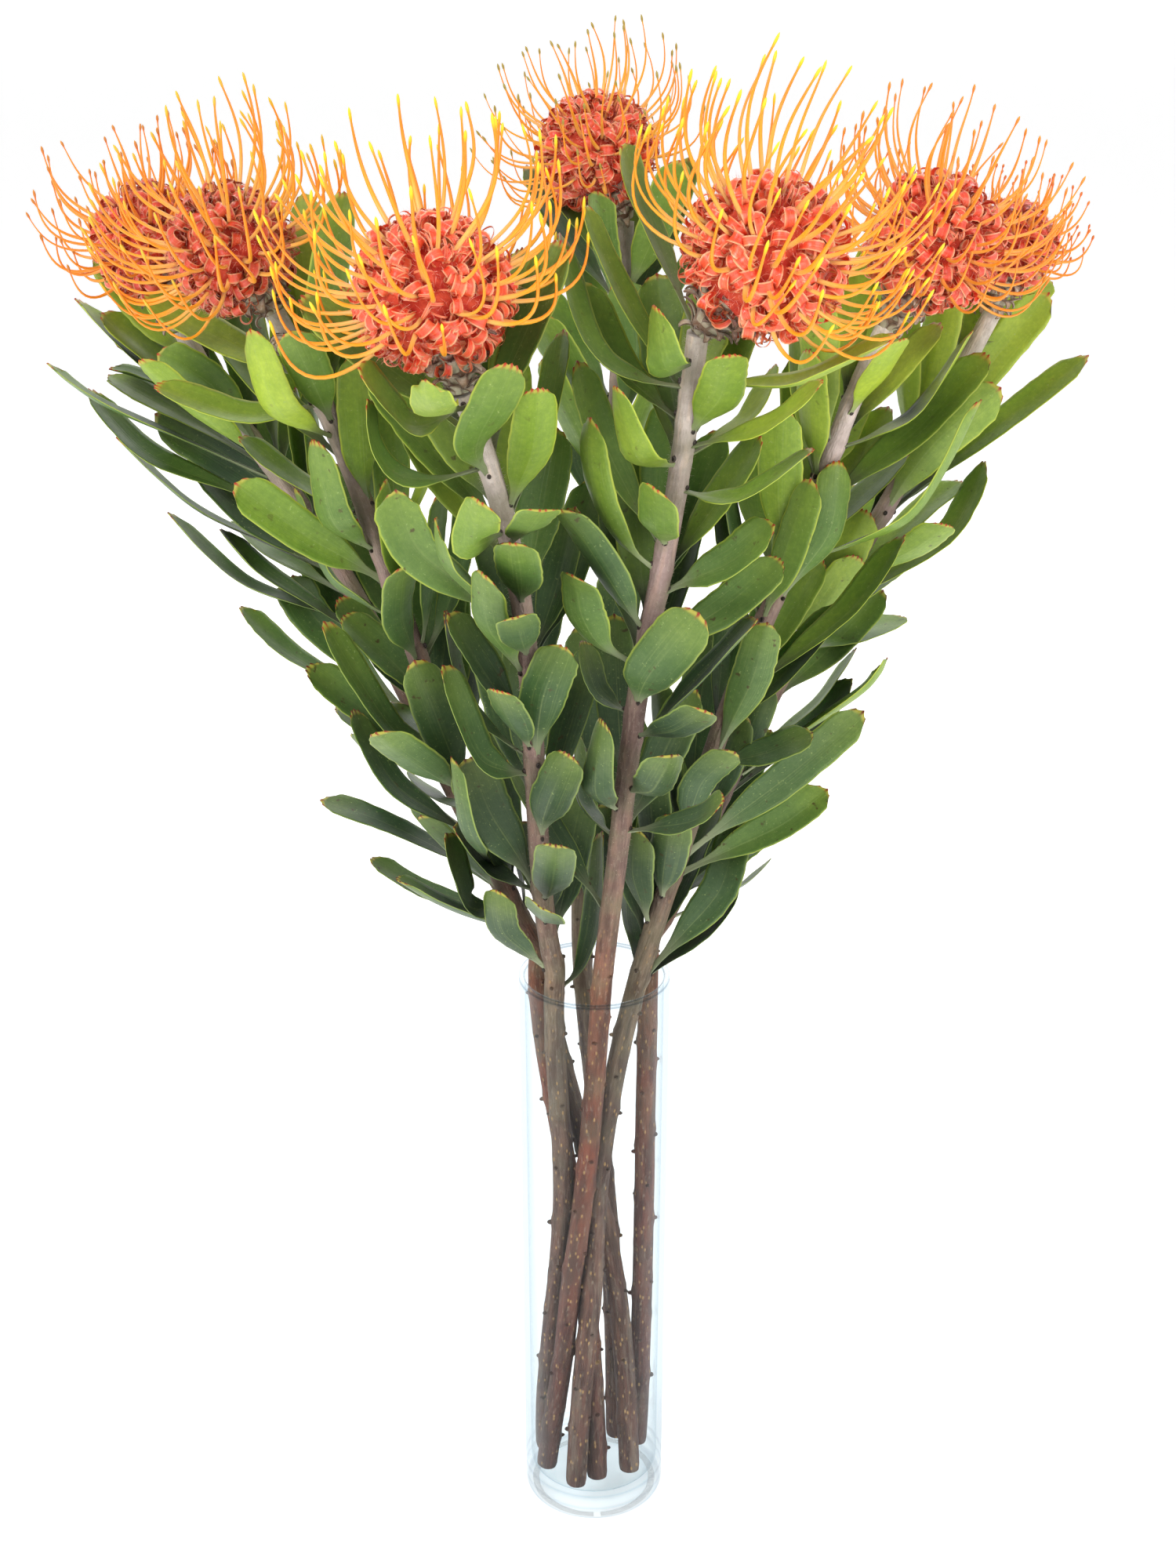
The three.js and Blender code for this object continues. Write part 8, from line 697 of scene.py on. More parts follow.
def core_material():
    m, nt, b = new_mat("dome_core", 0.8)
    n = noise(nt, 260.0, 4.0, 0.6)
    col = mix(nt, maprange(nt, n, 0.35, 0.65), lin(206, 44, 28), lin(248, 102, 66))
    # darkened by the hd value; on the core this is painted shade
    nt.links.new(mix(nt, attr(nt, "hd"), col, mix(nt, 1.0, col, (0.62, 0.52, 0.46), "MULTIPLY")), b.inputs["Base Color"])
    bump(nt, b, n, 0.8, 0.001)
    return m


def style_material():
    m, nt, b = new_mat("style_orange", 0.36)
    u, r, o = attr(nt, "lu"), attr(nt, "lr"), attr(nt, "op")
    fresh = ramp(nt, u, [(0.0, lin(248, 212, 150)), (0.14, lin(250, 206, 124)), (0.40, lin(249, 176, 40)), (0.78, lin(246, 140, 4)), (0.90, lin(247, 148, 4)), (0.945, lin(252, 208, 4)), (1.0, lin(242, 218, 40))])
    old = ramp(nt, u, [(0.0, lin(242, 184, 124)), (0.18, lin(248, 172, 78)), (0.5, lin(247, 144, 26)), (0.78, lin(246, 156, 44)), (0.90, lin(234, 132, 62)), (0.93, lin(206, 58, 40)), (0.975, lin(190, 44, 32)), (1.0, lin(206, 116, 44))])
    col = mix(nt, o, old, fresh)
    col = mix(nt, maprange(nt, r, 0.0, 1.0, 0.0, 0.5), col, mix(nt, 1.0, col, (1.02, 0.72, 0.52), "MULTIPLY"))
    n = noise(nt, 160.0, 2.0)
    col = mix(nt, maprange(nt, n, 0.4, 0.7, 0.0, 0.14), col, lin(250, 180, 66))
    col = mix(nt, math_(nt, "MULTIPLY", attr(nt, "ol"), maprange(nt, u, 0.91, 0.95, 0.0, 0.9, True)), col, lin(150, 138, 62))
    nt.links.new(col, b.inputs["Base Color"])
    b.inputs["Subsurface Weight"].default_value = 0.15
    b.inputs["Subsurface Radius"].default_value = (0.003, 0.0015, 0.0004)
    b.inputs["Subsurface Scale"].default_value = 1.0
    b.inputs["Coat Weight"].default_value = 0.06
    b.inputs["Coat Roughness"].default_value = 0.25
    bump(nt, b, noise(nt, 900.0, 2.0), 0.15, 0.0002)
    return m


def bract_material():
    m, nt, b = new_mat("bract_hairy", 0.85)
    u, v, r = attr(nt, "lu"), attr(nt, "lv"), attr(nt, "lr")
    col = ramp(nt, u, [(0.0, lin(196, 194, 164)), (0.35, lin(208, 200, 172)), (0.7, lin(178, 154, 124)), (1.0, lin(96, 66, 50))])
    n = noise(nt, 700.0, 3.0, 0.6)
    col = mix(nt, maprange(nt, n, 0.45, 0.7, 0.0, 0.65), col, lin(236, 230, 212))
    col = mix(nt, maprange(nt, math_(nt, "ABSOLUTE", v), 0.55, 1.0, 0.0, 0.8), col, lin(92, 62, 46))
    col = mix(nt, maprange(nt, r, 0.0, 1.0, 0.0, 0.45), col, lin(150, 116, 90))
    nt.links.new(col, b.inputs["Base Color"])
    b.inputs["Sheen Weight"].default_value = 0.4
    bump(nt, b, n, 0.4, 0.0004)
    return m


def cut_material():
    m, nt, b = new_mat("cut_end", 0.8)
    n = noise(nt, 500.0, 3.0)
    nt.links.new(mix(nt, n, lin(206, 186, 140), lin(168, 134, 92)), b.inputs["Base Color"])
    bump(nt, b, n, 0.5, 0.0005)
    return m


def glass_material():
    """Thin clear glass: straight through, mirroring at its edges, faintly blue-green where it is thick."""
    m, nt, b = new_mat("clear_glass", 0.02)
    nt.nodes.remove(b)
    out = nt.nodes["Material Output"]
    edge, gloss = attr(nt, "lu"), attr(nt, "lg")
    n = noise(nt, 30.0, 2.0)
    clear = mix(nt, n, (0.990, 0.996, 0.996), (0.980, 0.990, 0.992))
    # painted shade: grey-blue laid into the see-through colour as the glass turns edge-on
    side = nt.nodes.new("ShaderNodeLayerWeight")
    side.inputs["Blend"].default_value = 0.5
    clear = mix(nt, math_(nt, "MULTIPLY", math_(nt, "POWER", side.outputs["Facing"], 2.8), 0.56), clear, (0.54, 0.65, 0.72))
    # painted shade lines on the rim and foot, from the vase's lu values
    clear = mix(nt, edge, clear, (0.38, 0.46, 0.53))
    see = nt.nodes.new("ShaderNodeBsdfTransparent")
    nt.links.new(clear, see.inputs["Color"])
    shine = nt.nodes.new("ShaderNodeBsdfGlossy")
    shine.inputs["Roughness"].default_value = 0.03
    shine.inputs["Color"].default_value = (1.0, 1.0, 1.0, 1)
    lw = nt.nodes.new("ShaderNodeLayerWeight")
    lw.inputs["Blend"].default_value = 0.5
    fr = math_(nt, "MULTIPLY_ADD", math_(nt, "POWER", lw.outputs["Facing"], 4.5), 0.92, 0.014)
    wob = nt.nodes.new("ShaderNodeBump")
    wob.inputs["Strength"].default_value = 0.06
    wob.inputs["Distance"].default_value = 0.002
    nt.links.new(noise(nt, 38.0, 1.0), wob.inputs["Height"])
    nt.links.new(wob.outputs["Normal"], shine.inputs["Normal"])
    fac = math_(nt, "MULTIPLY", fr, gloss)
    mx = nt.nodes.new("ShaderNodeMixShader")
    nt.links.new(fac, mx.inputs[0])
    nt.links.new(see.outputs[0], mx.inputs[1])
    nt.links.new(shine.outputs[0], mx.inputs[2])
    nt.links.new(mx.outputs[0], out.inputs["Surface"])
    vol = nt.nodes.new("ShaderNodeVolumeAbsorption")
    vol.inputs["Color"].default_value = (0.45, 0.62, 0.70, 1)
    vol.inputs["Density"].default_value = 15.0
    nt.links.new(vol.outputs[0], out.inputs["Volume"])
    return m


def pink_material():
    m, nt, b = new_mat("pink_hairs", 0.6)
    n = noise(nt, 300.0, 2.0)
    nt.links.new(mix(nt, maprange(nt, n, 0.3, 0.7), lin(250, 196, 176), lin(240, 150, 128)), b.inputs["Base Color"])
    return m


M_PINK = pink_material()
M_LEAF, M_BARK, M_HAIR, M_FLORET, M_CORE, M_STYLE, M_BRACT, M_CUT, M_GLASS = (
    leaf_material(), bark_material(), hair_material(), floret_material(), core_material(), style_material(), bract_material(), cut_material(), glass_material())

# ------------------------------------------------------------------ vase
def vase():
    B = Build("lu", "lg")
    ro, rf, w = VASE_R, VASE_FOOT_R, VASE_WALL
    prof = [(0.0, 0.55), (8, 0.5), (16, 0.3), (24, 0.12), (27.5, 0.0), (30.8, 0.0)]
    for a in np.linspace(-80, 0, 9):
        t = math.radians(a)
        prof.append((rf - 3.4 + 3.4 * math.cos(t), 3.6 + 3.6 * math.sin(t)))
    for z in (6.4, 7.2, 8.0, 9.0, 12, 14.5, 16, 17.5, 20, 60, 120, 180, 240, 270, 280.2, 281.4, 282.2):
        prof.append((rf + (ro - rf) * max(0, (z - 20)) / (VASE_H - 21.4), float(z)))
    for a in np.linspace(0, 180, 13):
        t = math.radians(a)
        prof.append((ro - w / 2 + (w / 2) * math.cos(t), VASE_H - w / 2 + (w / 2) * math.sin(t)))
    for z in (282.2, 281.4, 280.2, 270, 240, 180, 120, 60, 30, 20):
        prof.append((rf - w + (ro - rf) * max(0, (z - 20)) / (VASE_H - 21.4), float(z)))
    for a in np.linspace(0, 90, 9):
        t = math.radians(a)
        prof.append((rf - w - 5.2 + 5.2 * math.cos(t), VASE_FOOT + 4.2 - 4.2 * math.sin(t)))
    prof += [(22, VASE_FOOT - 0.15), (14, VASE_FOOT - 0.35), (6, VASE_FOOT - 0.45), (0.0, VASE_FOOT - 0.5)]
    s = 112
    th = np.arange(s) * 2 * math.pi / s
    rows = [np.stack([r * np.cos(th), r * np.sin(th), np.full(s, z)], -1) for r, z in prof[1:-1]]
    n = len(rows)
    V = np.vstack(rows + [np.array([[0, 0, prof[0][1]], [0, 0, prof[-1][1]]])])
    i = np.arange(n - 1)[:, None] * s
    j = np.arange(s)[None]
    k = (j + 1) % s
    Q = np.stack([i + j, i + k, i + s + k, i + s + j], -1).reshape(-1, 4)
    # painted shade: grey lines on the rim lip and foot rings, where refraction would darken real glass; carried in lu
    rim = []
    for r, z in prof[1:-1]:
        rim_line_shade = 0.95 * math.exp(-((z - VASE_H + 1.3) / 0.62) ** 2)
        foot_ring_shade = 0.34 * math.exp(-((z - 0.9) / 0.9) ** 2) * (r > 27) + 0.26 * math.exp(-((z - 7.6) / 0.8) ** 2) * (r > 27) + 0.30 * math.exp(-((z - VASE_FOOT - 1.4) / 1.1) ** 2) * (r > 24)
        rim.append(min(rim_line_shade + foot_ring_shade, 0.9))
    rim = np.array(rim)
    shine = np.array([1.0 if z > VASE_H - 2.6 else (0.70 if z < 20 else 0.55) for r, z in prof[1:-1]])
    B.add(V, Q, 0, lu=np.concatenate([np.repeat(rim, s), [0.02, 0.02]]), lg=np.concatenate([np.repeat(shine, s), [1.0, 1.0]]))
    j = np.arange(s)
    k = (j + 1) % s
    cap = np.vstack([np.stack([np.full(s, n * s), k, j], -1), np.stack([np.full(s, n * s + 1), (n - 1) * s + j, (n - 1) * s + k], -1)])
    B.f.append(cap)
    B.m.append(np.zeros(len(cap), int))
    ob = B.make("vase_glass", [M_GLASS])
    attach(ob, "root")
    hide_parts("glass_vase")


vase()

# ------------------------------------------------------------------ painted shade inside the bunch
def rough_scene():
    """A coarse copy of leaves, stems and domes, used to find how open each place is, for the painted shade."""
    from mathutils.bvhtree import BVHTree
    vs, fs_ = [], []

    def quads(G, closed):
        n, w = G.shape[:2]
        o = sum(len(x) for x in vs)
        vs.append(G.reshape(-1, 3))
        for i in range(n - 1):
            for j in range(w if closed else w - 1):
                k = (j + 1) % w
                fs_.append((o + i * w + j, o + i * w + k, o + (i + 1) * w + k, o + (i + 1) * w + j))

    for i0, st, own, W, mid, n0, n1 in LEAVES:
        P = catmull(mid, 6)
        T = unit(np.gradient(P, axis=0))
        u = np.linspace(0, 1, 6)[:, None]
        N = np.array(n0)[None] * (1 - u) + np.array(n1)[None] * u
        N = unit(N - T * (N * T).sum(1)[:, None])
        Sd = np.cross(N, T) * (W * 0.5 * np.interp(u[:, 0], [0, 0.12, 0.35, 0.9, 1], [0.15, 0.2, 0.9, 0.95, 0.6]))[:, None]
        quads(np.stack([P - Sd, P + Sd], 1), False)
    for s_ in STEMS.values():
        P = catmull(np.array(s_["p"], float), 24)
        T, S, O = frames(P)
        w = np.arange(6) * math.pi / 3
        r = np.linspace(s_["r"][0], s_["r"][1], 24)[:, None, None]
        quads(P[:, None] + S[:, None] * (np.cos(w)[None, :, None] * r) + O[:, None] * (np.sin(w)[None, :, None] * r), True)
    for h in HEADS.values():
        th, ph = np.meshgrid(np.linspace(0.05, 2.4, 7), np.arange(10) * math.pi / 5, indexing="ij")
        ax = unit(np.array(h["a"], float))
        e1 = unit(np.cross(ax, [0.3, 1.0, 0.1]))
        e2 = np.cross(ax, e1)
        R = h["r"]
        G = np.array(h["c"], float) + (e1 * (np.sin(th) * np.cos(ph))[..., None] + e2 * (np.sin(th) * np.sin(ph))[..., None] + ax * np.cos(th)[..., None]) * R
        quads(G, True)
    return BVHTree.FromPolygons([tuple(v) for v in np.vstack(vs)], fs_)


ROUGH = rough_scene()
DIRS = []
for i in range(44):
    z_ = 1 - 2 * (i + 0.5) / 44
    DIRS.append((math.sqrt(1 - z_ * z_) * math.cos(i * 2.399963), math.sqrt(1 - z_ * z_) * math.sin(i * 2.399963), z_))
DIRS = np.array(DIRS)
REACH = 110.0


def openness(p, n):
    """1 in the open, 0 where everything in front of the surface is close by."""
    from mathutils import Vector
    o = Vector(tuple(p + n * 1.6))
    dots = DIRS @ n
    tot = got = 0.0
    for q in range(44):
        if dots[q] < 0.08:
            continue
        wgt = dots[q] * (1.0 if DIRS[q, 2] > -0.2 else 0.6)
        tot += wgt
        hit = ROUGH.ray_cast(o, Vector(tuple(DIRS[q])), REACH)
        got += wgt * (1.0 if hit[0] is None else (hit[3] / REACH) ** 0.6)
    return got / max(tot, 1e-6)


# ------------------------------------------------------------------ stems
LEAF_AT = {k: [] for k in STEMS}
for l in LEAVES:
    LEAF_AT[l[1]].append(l)


def stem(k):
    rng = np.random.default_rng(100 + k)
    s = STEMS[k]
    P0 = np.array(s["p"], float)
    n = 250
    P = catmull(P0, n)
    d = np.r_[0, np.cumsum(np.linalg.norm(np.diff(P, axis=0), axis=1))]
    t = d / d[-1]
    sides = 18
    T, S, O = frames(P)
    w = np.arange(sides) * 2 * math.pi / sides
    R = (s["r"][0] + (s["r"][1] - s["r"][0]) * t)[:, None] * np.ones((1, sides))
    # shallow ridges and swellings at the nodes
    R *= 1 + 0.018 * np.sin(3 * w[None] + 2.0 + t[:, None] * 9) + 0.014 * np.sin(5 * w[None] + 5 * t[:, None])
    dark = np.zeros((n, sides))
    cosw, sinw = np.cos(w), np.sin(w)
    marks = []
    for l in LEAF_AT[k]:
        b = np.array(l[4][0])
        i = int(np.linalg.norm(P - b, axis=1).argmin())
        o = b - P[i]
        ang = math.atan2(np.dot(o, O[i]), np.dot(o, S[i]))
        marks.append((d[i], ang, 0.55, 1.0))
    # bare scars lower down
    z = P[:, 2]
    lo = d[np.where(z < 300)[0][0]]
    q = lo
    a = rng.uniform(0, 6)
    while q < d[-1] - 14:
        marks.append((q, a, 0.75, 0.75))
        q += rng.uniform(8.5, 14)
        a += 2.4
    for (dd, ang, h, dk) in marks:
        da = (w[None] - ang + math.pi) % (2 * math.pi) - math.pi
        g = np.exp(-((d[:, None] - dd) / 3.0) ** 2 - (da / 0.75) ** 2)
        R = R + h * g
    R = np.where(t[:, None] > 0.9985, R * 0.93, R)
    V = (P[:, None] + S[:, None] * (cosw[None] * R)[..., None] + O[:, None] * (sinw[None] * R)[..., None]).reshape(-1, 3)
    # openness round the stem, stored for the painted shade in the bark colour
    ks = np.linspace(1, n - 2, 46).astype(int)
    g = np.zeros((46, 6))
    for a_, i_ in enumerate(ks):
        for b_ in range(6):
            w6 = b_ * math.pi / 3
            o_ = S[i_] * math.cos(w6) + O[i_] * math.sin(w6)
            g[a_, b_] = openness(P[i_] + o_ * (R[i_].mean() + 0.3), o_)
    full = np.stack([np.interp(w, np.arange(7) * math.pi / 3, np.r_[row, row[0]]) for row in g])
    SHADE_OPENNESS = np.stack([np.interp(np.arange(n), ks, full[:, j_]) for j_ in range(sides)], 1)
    B = Build("sz", "sa", "lr", "dark", "ao")
    sz = np.repeat(t, sides)
    sa = np.tile(w, n)
    tone = {1: 0.15, 2: 0.9, 3: 0.3, 4: 0.75, 5: 0.1, 6: 0.35, 7: 0.7}[k]
    B.add(V, tube_faces(n, sides), 0, sz=sz, sa=sa, lr=tone, dark=dark.ravel(), ao=SHADE_OPENNESS.ravel())
    # ends
    for c, ring, m in ((P[0], V[:sides], 0), (P[-1], V[-sides:], 1)):
        vv = np.vstack([ring, c])
        j = np.arange(sides)
        kk = (j + 1) % sides
        f = np.stack([np.full(sides, sides), (kk if m == 0 else j), (j if m == 0 else kk)], -1)
        B.add(vv, f, m, sz=float(m), sa=0.0, lr=0.5, dark=0.0, ao=0.7)
    # small dark buds in the axils and dark scars on the bare bark
    for (dd, ang, h, dk) in marks:
        i = int(np.searchsorted(d, dd - (3.2 if dk == 1.0 else 0.0)))
        i = min(max(i, 1), n - 2)
        o = S[i] * math.cos(ang) + O[i] * math.sin(ang)
        side = np.cross(T[i], o)
        rad = R[i].mean()
        if dk < 1.0:
            sx, sy, sz_ = rng.uniform(0.9, 1.5), rng.uniform(0.7, 1.1), rng.uniform(0.9, 1.9)
            off = rad + 0.45
        else:
            sx, sy, sz_ = rng.uniform(0.8, 1.25), rng.uniform(1.0, 1.5), 0.9
            off = rad + 0.25
        th, ph = np.meshgrid(np.linspace(0, math.pi, 6)[1:-1], np.arange(8) * math.pi / 4, indexing="ij")
        x = (np.sin(th) * np.cos(ph)).ravel()
        y = (np.sin(th) * np.sin(ph)).ravel()
        zz = np.cos(th).ravel()
        c = P[i] + o * off
        vv = c + side * (x * sx)[:, None] + T[i] * (y * sy)[:, None] + o * (zz * sz_)[:, None]
        vv = np.vstack([vv, c + o * sz_, c - o * sz_])
        m = 4
        fq = tube_faces(m, 8)
        B.add(vv, fq, 0, sz=t[i], sa=ang, lr=tone, dark=0.90 if dk == 1.0 else 0.40, ao=0.6)
        base = B.n - len(vv)
        j = np.arange(8)
        kk = (j + 1) % 8
        cap = np.vstack([np.stack([np.full(8, 32), j, kk], -1), np.stack([np.full(8, 33), 24 + kk, 24 + j], -1)]) + base
        B.f.append(cap)
        B.m.append(np.zeros(len(cap), int))
    # fine pale hairs, thick near the flower, thinning downward
    nh = 1500
    u = rng.uniform(0, 1, nh) ** 1.8 * 0.42
    hi = np.clip(np.searchsorted(t, u), 1, n - 2)
    an = rng.uniform(0, 2 * math.pi, nh)
    o = S[hi] * np.cos(an)[:, None] + O[hi] * np.sin(an)[:, None]
    root = P[hi] + o * (R[hi].mean(1) - 0.05)[:, None]
    dr = unit(o + T[hi] * rng.normal(-0.2, 0.55, nh)[:, None] + np.cross(T[hi], o) * rng.normal(0, 0.5, nh)[:, None])
    ln = rng.uniform(0.8, 2.1, nh)[:, None] * np.where(u < 0.16, 1.15, 0.8)[:, None]
    sd = unit(np.cross(dr, T[hi])) * 0.055
    tip = root + dr * ln
    vv = np.stack([root - sd, root + sd, tip], 1).reshape(-1, 3)
    B.add(vv, np.arange(nh * 3).reshape(-1, 3), 2, sz=0.0, ao=1.0)
    ob = B.make("stem_%d" % k, [M_BARK, M_CUT, M_HAIR])
    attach(ob, "root")
    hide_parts("leafy_stem_%d" % k, *(["stem_mid_%d" % k, "stem_low_%d" % k] if k in (3, 6) else []))


for k in STEMS:
    stem(k)

# ------------------------------------------------------------------ leaves
CAM = np.array([-2.9, -902.7, 729.6])
NV = 10
US = np.concatenate([np.linspace(0, 0.88, 19), [0.915, 0.945, 0.972, 1.0]])
NU = len(US)
WU = np.array([0, .05, .11, .17, .24, .32, .41, .52, .68, .82, .90, .96, 1.0])
WW = np.array([.22, .16, .15, .23, .47, .74, .91, .99, 1.0, .98, .91, .78, .60])


def leaf(B, l):
    i0, st, own, W, mid, n0, n1 = l
    rng = np.random.default_rng(5000 + i0)
    u = US
    dense = catmull(mid, 97)
    P = np.stack([np.interp(u, np.linspace(0, 1, 97), dense[:, q]) for q in range(3)], 1)
    T = unit(np.gradient(P, u, axis=0))
    N = np.array(n0)[None] * (1 - u)[:, None] + np.array(n1)[None] * u[:, None]
    N = unit(N - T * (N * T).sum(1)[:, None])
    Sd = np.cross(N, T)
    # natural roll and ripple
    roll = rng.normal(0, 0.05) + 0.10 * rng.normal() * u
    N, Sd = N * np.cos(roll)[:, None] + Sd * np.sin(roll)[:, None], Sd * np.cos(roll)[:, None] - N * np.sin(roll)[:, None]
    L = np.linalg.norm(np.diff(P, axis=0), axis=1).sum()
    prof = np.interp(u, WU, WW)
    prof = prof * (1 + 0.035 * np.sin(u * rng.uniform(5, 9) + rng.uniform(0, 6)) * (u > 0.2)) * rng.uniform(0.94, 1.0)
    wob1 = 0.016 * np.sin(u * rng.uniform(38, 60) + rng.uniform(0, 6)) + 0.012 * rng.normal(0, 1, len(u))
    wob2 = 0.016 * np.sin(u * rng.uniform(38, 60) + rng.uniform(0, 6)) + 0.012 * rng.normal(0, 1, len(u))
    v = np.linspace(-1, 1, NV + 1)
    asym = 1 + 0.05 * rng.normal() * np.sign(v)[None] * np.ones((NU, 1))
    half = (W * 0.5 * prof)[:, None] * (asym + np.where(v[None] > 0, wob1[:, None], wob2[:, None]) * np.abs(v)[None])
    cup = W * rng.uniform(0.06, 0.19)
    ripple = 0.25 * np.sin(u[:, None] * rng.uniform(9, 15) + v[None] * 2 + rng.uniform(0, 6)) * np.abs(v[None]) * (u[:, None] > 0.2)
    H = cup * (np.abs(v)[None] ** 1.6) * (prof ** 1.2)[:, None] + ripple
    # rounded end with small teeth
    teeth = rng.choice([3, 3, 4, 5])
    tw = np.abs(((v + 1) / 2 * teeth) % 1.0 - 0.5) * 2       # 1 at the edges of a tooth, 0 in its middle
    tw = 1 - tw
    endx = -0.050 * L * np.abs(v) ** 2.2 + (tw - 0.3) * (0.016 * L) * (1 - 0.3 * np.abs(v))
    wend = np.clip((u - 0.86) / 0.14, 0, 1) ** 1.3
    X = wend[:, None] * endx[None]
    thick = (0.55 + 0.9 * np.clip(1 - u / 0.22, 0, 1))[:, None] * (1 - 0.72 * np.abs(v)[None] ** 1.5) + 0.10
    C = P[:, None] + Sd[:, None] * (half * v[None])[..., None] + N[:, None] * H[..., None] + T[:, None] * X[..., None]
    rib = 0.28 * np.exp(-(v / 0.10) ** 2)[None] * (1 - 0.6 * u)[:, None]
    top = C + N[:, None] * (thick * 0.5 - rib * 0.5)[..., None]
    bot = C - N[:, None] * (thick * 0.5 + rib)[..., None]
    nv = NV + 1
    V = np.vstack([top.reshape(-1, 3), bot.reshape(-1, 3)])
    a = np.arange(NU - 1)[:, None] * nv
    b = np.arange(NV)[None]
    q = np.stack([a + b, a + b + 1, a + nv + b + 1, a + nv + b], -1).reshape(-1, 4)
    off = NU * nv
    q2 = q[:, ::-1] + off
    # rim
    left = np.arange(NU - 1) * nv
    e1 = np.stack([left, left + nv, left + nv + off, left + off], -1)
    right = left + NV
    e2 = np.stack([right, right + off, right + nv + off, right + nv], -1)
    b0 = np.arange(NV)
    e3 = np.stack([b0, b0 + off, b0 + 1 + off, b0 + 1], -1)
    lastr = (NU - 1) * nv + b0
    e4 = np.stack([lastr, lastr + 1, lastr + 1 + off, lastr + off], -1)
    F = np.vstack([q, q2, e1, e2, e3, e4])
    # tint: each leaf's green varies at random, with painted light and shade laid on it: brighter and yellower high up,
    # away from the middle and on the right as painted light, darker at the back and low between the stems as painted
    # shade
    c = P[NU // 2]
    back = np.clip((c[1] + 60) / 160, 0, 1)
    high = np.clip((c[2] - 370) / 180, 0, 1) * (0.85 + 0.15 * np.clip(abs(c[0]) / 120, 0, 1))
    mid_shade = math.exp(-(c[0] / 68.0) ** 2) * np.clip((545 - c[2]) / 120, 0, 1)
    right = np.clip((c[0] - 35) / 60, 0, 1)
    tint = 0.33 + 0.36 * high - 0.10 * back + rng.normal(0, 0.14)
    tint = float(np.clip(TINT.get(i0, tint) - 0.50 * mid_shade + 0.26 * right + 0.09 * (1 - mid_shade), 0.02, 0.98))
    grey = float(np.clip(0.75 - 0.65 * high + 0.25 * mid_shade + rng.normal(0, 0.18), 0, 1))
    # openness on both faces, stored for the painted shade in the leaf colour
    us = np.array([0.12, 0.32, 0.52, 0.72, 0.92])
    qs = [int(np.abs(u - x).argmin()) for x in us]
    ao = []
    for sg in (1.0, -1.0):
        g = np.zeros((5, 2))
        for a_ in range(5):
            q_ = qs[a_]
            for b_ in range(2):
                pt = P[q_] + Sd[q_] * (half[q_, 0] * (-0.5 + b_))
                g[a_, b_] = openness(pt, N[q_] * sg)
        gu = np.stack([np.interp(u, us, g[:, 0]), np.interp(u, us, g[:, 1])], 1)
        ao.append((gu[:, :1] * (0.5 - 0.5 * v)[None] + gu[:, 1:] * (0.5 + 0.5 * v)[None]).ravel())
    ao = np.concatenate(ao)
    lu = np.tile(np.repeat(u, nv), 2)
    lv = np.tile(np.tile(v, NU), 2)
    tip = np.tile((wend[:, None] ** 2.2 * np.clip((tw[None] - 0.35) * 1.9, 0, 1)).ravel(), 2)
    B.add(V, F, 0, lu=lu, lv=lv, lr=grey, lt=tint, ltip=tip, ao=ao)


TINT = {}

for k in STEMS:
    B = Build("lu", "lv", "lr", "lt", "ltip", "ao")
    own = []
    for l in LEAF_AT[k]:
        leaf(B, l)
        if l[2]:
            own.append("leaf_%d" % l[0])
    ob = B.make("leaves_%d" % k, [M_LEAF])
    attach(ob, "root")
    if own:
        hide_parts(*own)

# ------------------------------------------------------------------ flower heads
def head_axes(ax):
    ax = unit(ax)
    e1 = np.array([0, 0, 1.0]) - ax * ax[2]
    e1 = unit(e1) if np.linalg.norm(e1) > 1e-6 else np.array([1.0, 0, 0])
    return ax, e1, np.cross(ax, e1)


